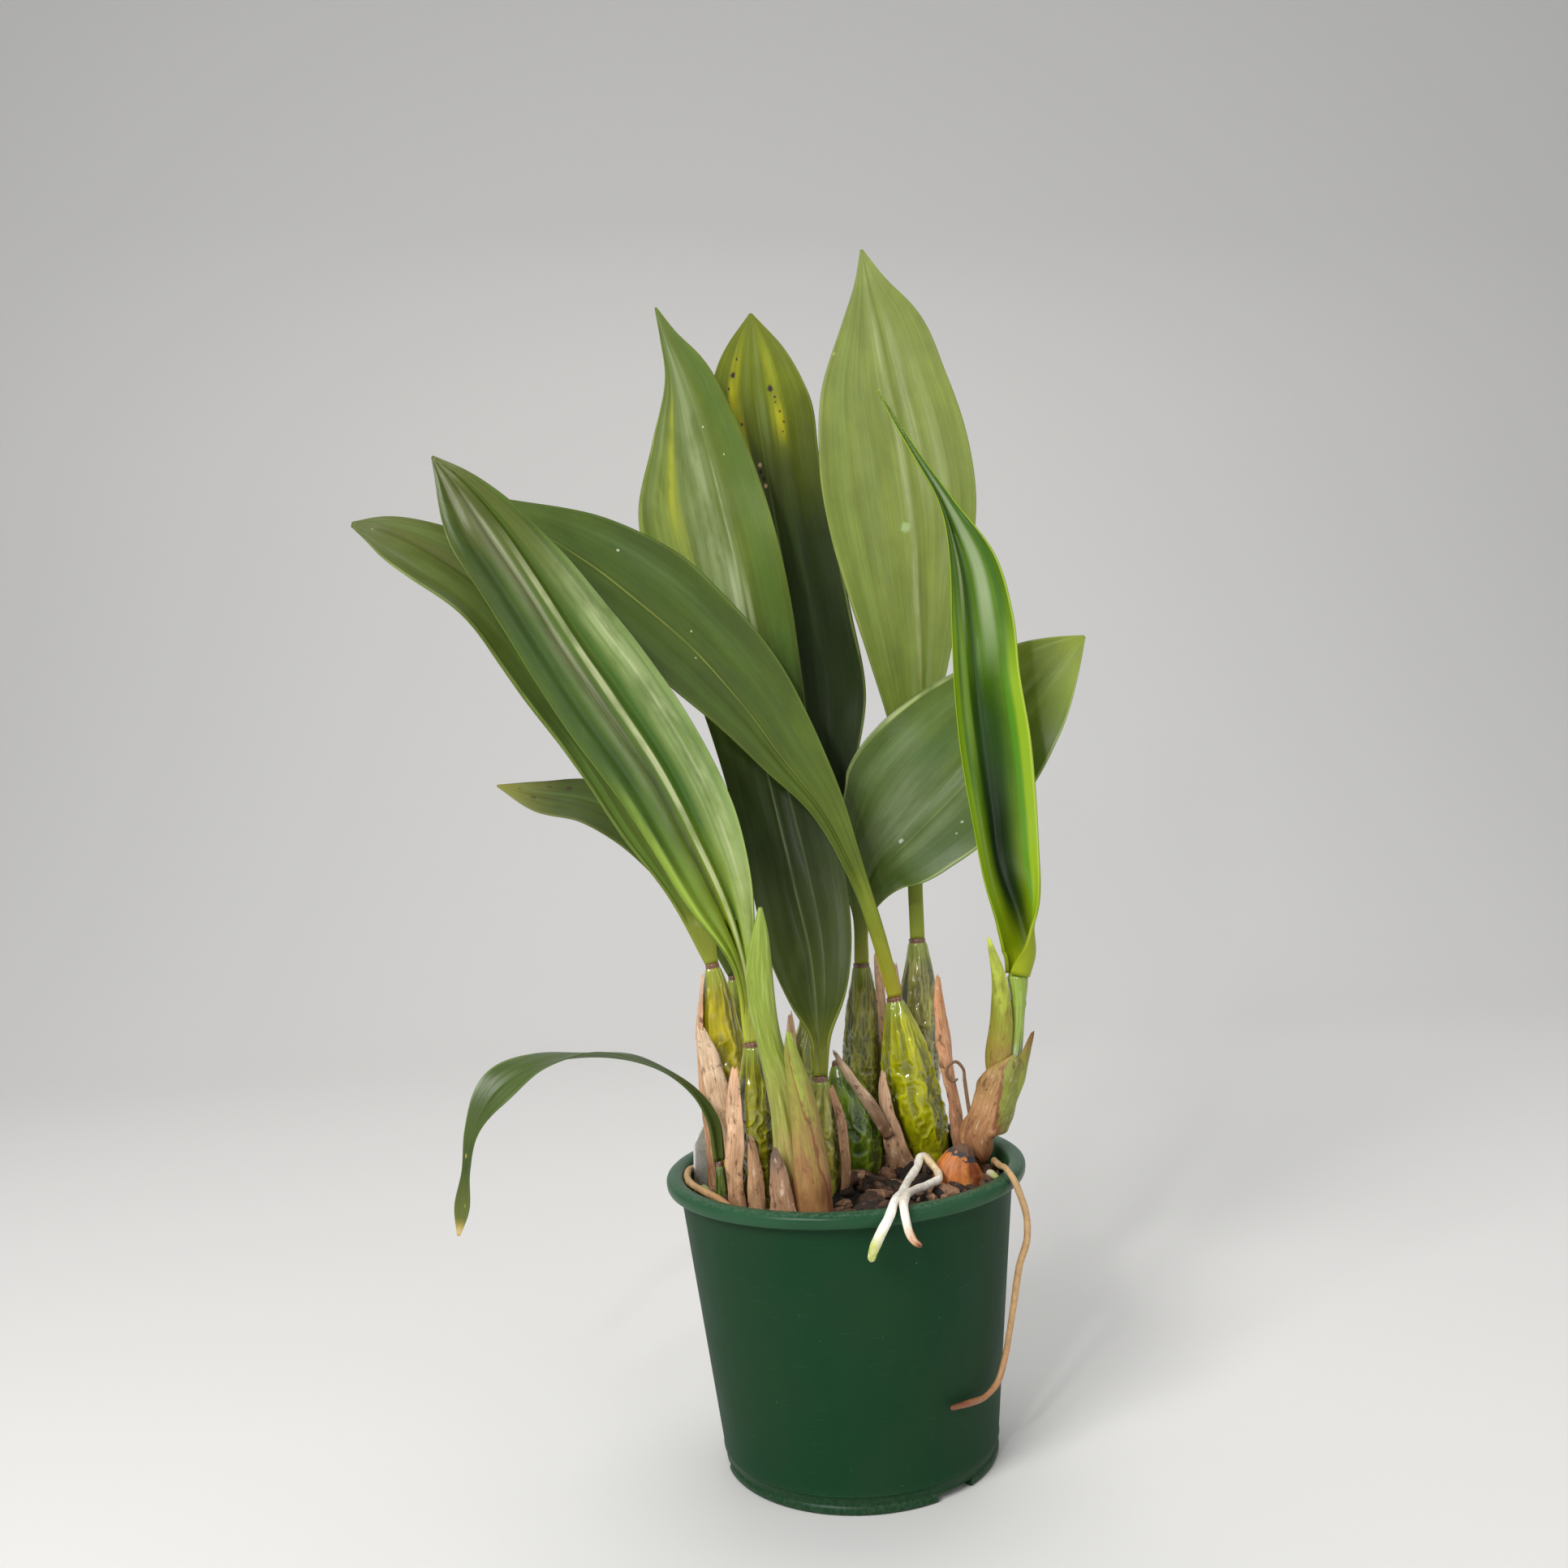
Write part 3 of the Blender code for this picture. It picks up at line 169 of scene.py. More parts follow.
# Each bulb from its foot in the mix to its neck: x, y, z, radius
BULBS = {
    "pseudobulb_1": [
        (-46, 6, 104, 6.5), (-46, 6, 122, 8.4), (-47, 6, 150, 9), (-49, 6, 175, 8), (-50, 5, 196, 4.8),
        (-51, 5, 205, 2.8),
    ],
    "pseudobulb_2": [
        (-36, -28, 104, 5.5), (-36, -29, 120, 6.6), (-35.5, -29, 140, 7.2), (-35, -30, 158, 6.2),
        (-35, -30, 170, 4.4), (-35, -30, 177, 3.3),
    ],
    "pseudobulb_3": [
        (-40, 34, 104, 6), (-40, 34, 125, 8), (-41, 33, 150, 8), (-42, 32, 175, 6), (-43, 32, 190, 3.6),
        (-43, 32, 196, 2.8),
    ],
    "pseudobulb_4": [
        (-9, -8, 104, 4.6), (-8.5, -8, 118, 5.8), (-8, -8, 132, 5.9), (-8, -8, 145, 4.9),
        (-8, -8, 152, 3.7), (-8, -8, 157, 3),
    ],
    "pseudobulb_5": [
        (-15, 25, 104, 6), (-15, 25, 125, 7.4), (-14.5, 25, 145, 7.2), (-14, 24, 163, 5.6),
        (-12, 24, 174, 3.6), (-12, 24, 179, 2.9),
    ],
    "pseudobulb_6": [
        (11, 41, 104, 7), (11, 41, 125, 8.6), (12, 41, 150, 8.6), (13, 41, 172, 7.4), (14, 41, 189, 5),
        (14, 41, 197, 3.6),
    ],
    "pseudobulb_7": [
        (5, 15, 104, 7.5), (5.5, 15, 115, 10), (5, 15, 130, 10.6), (3, 14, 145, 8.2), (1, 14, 154, 5),
        (0, 14, 159, 2.4),
    ],
    "pseudobulb_8": [
        (38, 29, 104, 7.5), (37, 29, 113, 9.5), (34.5, 28, 127, 11.6), (31.5, 28, 145, 11.2),
        (29.5, 27, 161, 9.4), (28, 26, 174, 6), (27, 26, 183, 3.5),
    ],
    "pseudobulb_9": [
        (33.5, 44.5, 104, 5.5), (35.2, 46.8, 120, 7.2), (38, 50.5, 148, 9), (40, 53, 178, 8.2),
        (41, 54, 196, 5.4), (41, 54, 205, 3.8),
    ],
    "pseudobulb_10": [
        (-51, -17, 104, 2.4), (-51, -17.5, 113, 2.9), (-51.2, -18, 121, 2.4), (-51.4, -18, 127, 1.5),
    ],
}

# Each leaf along its midrib, from its foot to its tip: x, y, z, the width to its left and to its
# right, the turn of its shown side towards its right, and how far each half curls
LEAVES = {
    "leaf_1": [
        (-51, 5, 205.5, 2.6, 2.6, 0, 70), (-59, 6, 236, 10, 10, 15, 45), (-70, 8, 265, 18, 18, 24, 26),
        (-84, 6, 294, 21, 21, 28, 18), (-100, 4, 321, 22, 22, 30, 14), (-117, 1, 346, 21, 22, 30, 14),
        (-137, -5, 369, 17, 20, 26, 18), (-160, -9, 387, 15, 12, 18, 20), (-176, -11, 395, 9.5, 6, 12, 12),
        (-188, -12, 398, 1.2, 1, 10, 4),
    ],
    "leaf_2": [
        (-35, -30, 177.5, 3, 3, 0, 75), (-36, -33, 208, 6, 4.5, 12, 60), (-43, -36, 237, 17, 13, 24, 34),
        (-54, -40, 265, 21, 20, 28, 24), (-66, -44, 292, 24, 22, 30, 18), (-80, -48, 317, 25, 22, 30, 14),
        (-95, -51, 342, 24, 20, 30, 14), (-108, -55, 366, 23, 16, 28, 14), (-122, -59, 389, 20, 10, 24, 14),
        (-132, -61, 402, 11, 5, 20, 10), (-141, -62, 411, 0.5, 0.5, 18, 2),
    ],
    "leaf_3": [
        (-43.4, 32, 197.2, 2.4, 2.4, 0, 70), (-51, 32, 216, 5, 7, 12, 50), (-60, 32, 234, 9, 12, 24, 34),
        (-72, 31, 250, 10, 15, 30, 24), (-87, 31, 264, 9, 17, 32, 20), (-104, 31, 275, 9, 14, 30, 18),
        (-124, 30, 281, 8, 7.5, 24, 16), (-143, 30, 287, 0.5, 0.5, 20, 2),
    ],
    "leaf_4": [
        (-8, -8, 157.5, 2.8, 2.8, 0, 75), (-8, -3, 172, 3.6, 6, -4, 60), (-8, 3, 184, 10, 12, -6, 34),
        (-9, 13, 207, 18, 19, -8, 22), (-14, 25, 236, 19, 24, -8, 16), (-19, 32, 265, 19, 24, -8, 14),
        (-24, 36, 294, 20, 22, -8, 14), (-28, 37, 323, 24, 24, -8, 14), (-33, 37, 352, 29, 27, -8, 14),
        (-37, 37, 382, 33, 27, -8, 14), (-42, 36, 411, 32, 25, -8, 14), (-47, 34, 439, 19, 21, -8, 16),
        (-53, 32, 467, 5, 14, -8, 18), (-57, 31, 482, 2, 6, -6, 12), (-60, 30, 495, 0.5, 0.5, -4, 2),
    ],
    "leaf_5": [
        (-12, 24, 179.5, 2.8, 2.8, 0, 75), (-9, 34, 212, 4.5, 5, 4, 60), (-6, 44, 246, 8, 10, 8, 34),
        (-3, 51, 282, 13, 19, 10, 20), (-4, 55, 318, 17, 29, 10, 12), (-7, 59, 354, 20, 28, 10, 12),
        (-11, 61, 391, 22, 26, 10, 12), (-15, 60, 427, 22, 25.5, 10, 12), (-18, 58, 460, 22, 25, 10, 14),
        (-18, 57, 483, 13, 14, 8, 12), (-18, 56, 499, 0.6, 0.6, 6, 2),
    ],
    "leaf_6": [
        (14, 40, 197.5, 3.2, 3.2, 0, 75), (15.5, 40, 218, 4.5, 4.5, -2, 65), (22, 38, 240, 19, 18, -8, 30),
        (38, 32, 258, 36, 27, -12, 16), (54, 27, 274, 40, 31, -14, 14), (70, 22, 290, 37, 30, -14, 14),
        (85, 17, 306, 28, 25, -14, 14), (100, 12, 321, 18, 16, -12, 12), (109, 9, 329, 9, 8, -10, 8),
        (116, 6, 335, 0.6, 0.6, -8, 2),
    ],
    "right_shoot_leaf": [
        (80.8, -1.6, 193, 11.5, 11.5, -70, 158), (83, -0.8, 203, 13, 13, -58, 122),
        (80, -1, 216, 12, 12.5, -28, 92), (74, -7, 238, 12.5, 15, 6, 52), (72, -8, 264, 14.6, 16.8, 8, 50),
        (70, -9, 292, 16, 18, 8, 50), (68.5, -9, 318, 15.4, 17, 8, 52), (67.5, -8, 342, 13.4, 17, 8, 56),
        (65.5, -8, 366, 10.4, 13.6, 8, 64), (58, -7, 393, 4.4, 4.4, 10, 80), (46, -7, 416, 2, 2, 12, 80),
        (33, -6, 442, 0.6, 0.6, 12, 20),
    ],
    "leaf_8": [
        (27, 26, 184.2, 3.2, 3.2, 0, 75), (20, 19, 214, 3.4, 3.8, 6, 66), (11, 13, 243, 4.4, 5.4, 14, 54),
        (-1, 9, 269, 6, 11, 20, 36), (-18, 6, 294, 12, 20, 24, 24), (-34, 1, 318, 17, 26, 25, 16),
        (-52, -5, 340, 21, 27, 25, 14), (-72, -11, 359, 21, 28, 25, 14), (-93, -18, 377, 19, 21, 22, 14),
        (-115, -24, 391, 13, 10, 18, 14), (-131, -27, 398, 7, 4.5, 14, 10),
        (-140, -28, 401, 0.6, 0.6, 12, 2),
    ],
    "leaf_9": [
        (41, 54, 205.5, 3.4, 3.4, 0, 75), (42, 56, 237, 3.8, 3.8, 0, 66), (45, 57, 269, 6, 5, 2, 44),
        (48, 57, 301, 14, 7, 4, 24), (50, 56, 333, 24, 14, 6, 14), (50, 55, 365, 32, 23, 6, 12),
        (49, 52, 397, 38, 31, 6, 12), (46, 50, 428, 38.5, 32.5, 6, 12), (41, 47, 459, 31, 29, 6, 14),
        (37, 45, 489, 14.5, 21, 6, 16), (35, 43, 506, 5, 9, 4, 14), (34, 42, 520, 0.6, 0.6, 2, 2),
    ],
    "leaf_10": [
        (-51.6, -18, 127.8, 2.1, 2.1, 24, 50), (-54, -17, 145.5, 3, 3, 40, 40),
        (-60, -17.4, 155.5, 3, 3, 70, 30), (-68, -18, 163, 4, 4, 92, 20),
        (-84, -20.5, 171.5, 7.4, 7.4, 96, 10), (-104, -23.5, 175, 9.5, 9.5, 94, 8),
        (-122, -27, 173.5, 9.5, 9.5, 76, 10), (-138, -31, 164.5, 8.5, 8.5, 40, 12),
        (-148, -33, 149, 3.5, 3.5, 22, 24), (-151, -34, 134, 2, 2, 20, 30),
        (-153.5, -34, 119, 3.2, 3.2, 16, 20), (-155.6, -34, 108.5, 0.6, 0.6, 10, 2),
    ],
}

# The front shoot, the right shoot's stem and its swollen foot: x, y, z, half width, half depth
FRONT_SHOOT = [
    (-20, -44, 104, 8, 5.5), (-20, -44, 120, 8.6, 6), (-21, -44, 142, 7.6, 5.6), (-23, -44, 160, 6.4, 5),
    (-27, -44, 178, 4.9, 4.2), (-29.5, -44, 198, 5.3, 3.6), (-29.5, -44, 212, 4.8, 2.8),
    (-28.5, -44, 224, 2.8, 1.7), (-28, -44, 232, 0.8, 0.6),
]
RIGHT_STEM = [
    (52.5, 4, 104, 4.8, 4.8), (53.5, 3, 112, 5.2, 5), (57, 1, 124, 5.2, 5), (63.3, -1, 140, 5.2, 5),
    (68.5, -2, 150, 4.6, 4.4), (73, -2.6, 160, 3.6, 3.6), (75.2, -3, 170, 2.9, 2.9),
    (76.6, -3, 181, 2.9, 2.9), (77, -3, 189, 3.8, 3.6), (77, -3, 193, 4.2, 3.8),
]
RIGHT_FOOT = [
    (46, -12, 104, 8.5, 5.5), (46, -12.5, 110, 10.2, 6.8), (46.3, -12.2, 116, 9.6, 6.4),
    (47.5, -11.6, 121, 6.8, 5.2), (49.5, -11.2, 125.5, 3.2, 3),
]

# Where the scales of the right stem sat, as shares of its length
STEM_JOINTS = (0.34, 0.62, 0.88)

# The blades of the shoots and the dry bracts, laid out as the leaves are
SHEATHS = {
    "front_shoot_sheath": [
        (-12, -52, 104, 10, 10, 25, -60), (-12.5, -52.5, 122, 9.6, 9.6, 24, -60),
        (-14, -52.5, 145, 7.6, 7.6, 20, -60), (-17, -52, 165, 5, 5, 14, -50),
        (-19.5, -51.2, 178, 2.6, 2.6, 8, -36), (-20, -50.5, 185, 0.6, 0.6, 0, -4),
    ],
    "right_shoot_green_sheath": [
        (57, -5.4, 128, 7, 7, -15, -64), (61, -6.9, 140, 7.2, 7.2, -20, -62),
        (64.3, -6.8, 150, 6.9, 6.9, -33, -58), (65, -7.2, 160, 6.6, 6.6, -30, -54),
        (68, -7.4, 176, 5.4, 5.4, -20, -50), (68.6, -7.6, 192, 3.4, 3.4, -12, -40),
        (65, -8, 211.5, 0.6, 0.6, -6, -4),
    ],
    "right_shoot_papery_cover": [
        (60.2, -1.8, 117.6, 4, 4, 55, -32), (60.5, -5.7, 121.6, 7, 7, 35, -52),
        (58.8, -8.9, 128, 14, 14, 5, -90), (62.9, -10.6, 138, 15, 15, 0, -98),
        (67.2, -11.4, 148, 12, 12, 8, -78), (70.6, -11, 155, 8, 8, 12, -60),
        (73.6, -9.6, 162, 0.8, 0.8, 10, -4),
    ],
    "right_shoot_small_bract": [
        (72.6, -4.6, 141, 0.8, 0.8, 50, -60), (75.8, -6.6, 150, 4.2, 4.2, 50, -56),
        (78.3, -6.6, 160, 3.6, 3.2, 45, -44), (81.8, -6, 171, 0.6, 0.6, 40, -4),
    ],
}
BRACTS = {
    "dry_bract_1": [
        (-46, -7.5, 104, 1.5, 5, 0, -40), (-48, -8.5, 132, 3.5, 7, -6, -50),
        (-51.5, -9, 150, 5, 6.5, -8, -46), (-54, -9, 166, 4.6, 5.4, -8, -46),
        (-55.4, -9, 173, 3, 3.6, -8, -36), (-57, -9, 182, 1, 1.4, -8, -10),
    ],
    "dry_bract_2": [
        (-44.5, -37, 104, 4, 4, -30, -50), (-45.5, -37.5, 128, 4.4, 4.4, -30, -50),
        (-44, -38.5, 144, 4.2, 4.2, -22, -50), (-43, -39, 160, 3, 3, -16, -42),
        (-42, -38, 171, 0.8, 0.8, -10, -6),
    ],
    "dry_bract_3": [
        (-25, -55.5, 104, 6, 6, -4, -36), (-26, -56, 118, 5.6, 5.6, -4, -36),
        (-27, -55.5, 130, 3.6, 3.6, -4, -34), (-28, -54, 141, 1.2, 1.2, 0, -8),
    ],
    "dry_bract_4": [
        (-1, -12, 104, 2.4, 2.4, 30, -44), (0.5, -12.5, 122, 2.6, 2.6, 32, -44),
        (-0.5, -12, 138, 2.6, 2.6, 30, -40), (-4.5, -14, 156, 0.7, 0.7, 20, -6),
    ],
    "dry_bract_5": [
        (20, 9.4, 126, 2.6, 2.6, -10, -30), (13, 5.5, 140, 2.8, 2.8, -10, -30),
        (5, 3.5, 153, 2.2, 2.2, -8, -30), (-2, 3.5, 166, 0.7, 0.7, -4, -6),
    ],
    "dry_bract_6": [
        (28, 11.5, 104, 7, 7, -8, -50), (22.8, 10.8, 119, 5.6, 5.6, -12, -50),
        (19.5, 11, 134, 3.8, 3.8, -16, -40), (19, 12, 146, 2.4, 2.4, -16, -30),
        (19.3, 13, 155, 0.7, 0.7, -16, -6),
    ],
    "dry_bract_7": [
        (52, 26, 104, 5, 5, 50, -56), (52.5, 26, 125, 4.4, 4.4, 48, -50),
        (50.5, 27, 144, 4.2, 4.2, 44, -46), (48.5, 28, 162, 4, 4, 34, -40),
        (47, 29, 178, 2.6, 2.6, 20, -34), (47, 30, 192, 0.7, 0.7, 10, -6),
    ],
    "dry_bract_8": [
        (23, 42, 104, 2, 2, 56, -30), (23, 41.5, 130, 2, 2, 56, -30), (22.5, 39, 150, 1.8, 1.8, 56, -30),
        (21.5, 33.5, 172, 2.2, 2.2, 20, -30), (21.3, 32.3, 188, 2.2, 2.2, 0, -36),
        (20, 32, 204, 0.6, 0.6, 0, -4),
    ],
    "dry_bract_9": [
        (27, 40.5, 104, 2.6, 2.6, -40, -30), (27.5, 42, 122, 2.6, 2.6, -50, -30),
        (28.5, 42.5, 140, 3, 3, -30, -30), (29.5, 42, 172, 2.8, 2.8, 0, -34),
        (29, 40, 198, 0.7, 0.7, 0, -6),
    ],
    "dry_bract_10": [
        (-57, 1, 104, 4.2, 4.2, -65, -26), (-57.8, 1, 140, 4.6, 4.6, -65, -26),
        (-58.8, 1.5, 165, 4, 4, -62, -24), (-57.8, 2.2, 182, 2.6, 2.6, -58, -20),
        (-55, 3, 202, 0.7, 0.7, -50, -6),
    ],
    "dry_bract_11": [
        (-18.5, 14.8, 104, 4.6, 4.6, -8, -32), (-20, 14.4, 135, 4.6, 4.6, -8, -32),
        (-20, 14.8, 160, 3.4, 3.4, -8, -30), (-19, 16, 182, 0.7, 0.7, -6, -6),
    ],
    "dry_bract_12": [
        (-35.6, -39.5, 104, 3.8, 3.8, 8, -44), (-36.5, -39.8, 122, 3.6, 3.6, 6, -40),
        (-37, -39.4, 134, 2.4, 2.4, 2, -34), (-37.5, -38.6, 143, 0.7, 0.7, 0, -6),
    ],
}

# The tubes of the roots, from where they leave the mix to their tips: x, y, z, radius
ROOTS = {
    "left_fork": [
        (38.5, 9, 104, 1.6), (37.5, 5, 113, 1.7), (34.5, -2, 119.5, 1.8), (31.2, -9, 121.6, 1.8),
        (29, -18, 120.6, 1.7), (24, -34, 120, 1.6), (19, -58, 121.6, 1.6), (15.5, -71, 122.4, 1.7),
        (12.5, -77.5, 118.5, 1.7), (8.7, -78.8, 112.5, 1.8), (6.2, -79, 107.4, 1.8), (5, -79, 103.6, 1.3),
    ],
    "right_fork": [
        (33, -5, 121, 1.3), (34.2, -10.5, 120.8, 1.5), (37, -18, 118, 1.6), (37, -23.5, 116.8, 1.6),
        (33, -31, 117, 1.6), (25.4, -44, 118.6, 1.6), (20.2, -64, 121.8, 1.6), (18.6, -75, 121.2, 1.6),
        (19, -78, 116.6, 1.6), (20, -78.6, 112.6, 1.5), (21, -78.8, 110.6, 1.3), (24.1, -78.6, 107.8, 0.9),
    ],
    "long_tan_root": [
        (62.5, 9, 104, 1.3), (63, 3, 112, 1.3), (62, -6, 117.6, 1.3), (61.4, -16, 119.8, 1.3),
        (61.4, -27, 121.4, 1.3), (62.8, -38, 122.2, 1.3), (64.6, -42.7, 119.2, 1.3),
        (66.7, -42.5, 112.7, 1.3), (69, -39, 103.4, 1.35), (68.6, -38.5, 95, 1.35), (65.4, -36, 83.8, 1.35),
        (62.8, -35, 70.8, 1.3), (60.2, -34, 57.7, 1.25), (57.5, -34.5, 47, 1.2), (53.5, -37.5, 39, 1.15),
        (48, -42.5, 36.2, 1.1), (41, -48.5, 36.8, 1.2), (33, -55, 38, 0.8),
    ],
    "white_root_stub": [
        (60, -5, 104, 1.4), (59.6, -8, 110, 1.5), (59.2, -12, 114.4, 1.5), (60.2, -17, 114.6, 1.4),
        (61.4, -21.3, 114.5, 0.8),
    ],
    "rim_root": [
        (-57.5, 28, 104, 1.3), (-60.5, 22, 114, 1.4), (-65.6, 8, 118, 1.4), (-65, -12, 118.6, 1.4),
        (-57, -30, 118.6, 1.4), (-49.5, -40.5, 117.4, 1.3), (-43.5, -46.5, 113, 1.1),
        (-40.5, -47.5, 105, 1),
    ],
    "green_root": [
        (-62, -6, 104, 0.9), (-61.4, -7, 112, 1), (-59.4, -12, 115.5, 1.1), (-56.8, -20, 116, 1.1),
        (-54, -27, 113, 0.9), (-53, -29, 104, 0.8),
    ],
    "curled_root": [
        (58, 22, 104, 1), (57.4, 21.4, 122, 1), (55.6, 20.4, 138, 0.9), (54.9, 20, 146, 0.8),
        (54.4, 20, 151.5, 0.7), (51.4, 19.8, 154.6, 0.7), (48, 19.6, 152.6, 0.7), (47.4, 19.2, 149, 0.7),
        (49.6, 18.6, 146.4, 0.6), (52, 18, 147.6, 0.5),
    ],
}

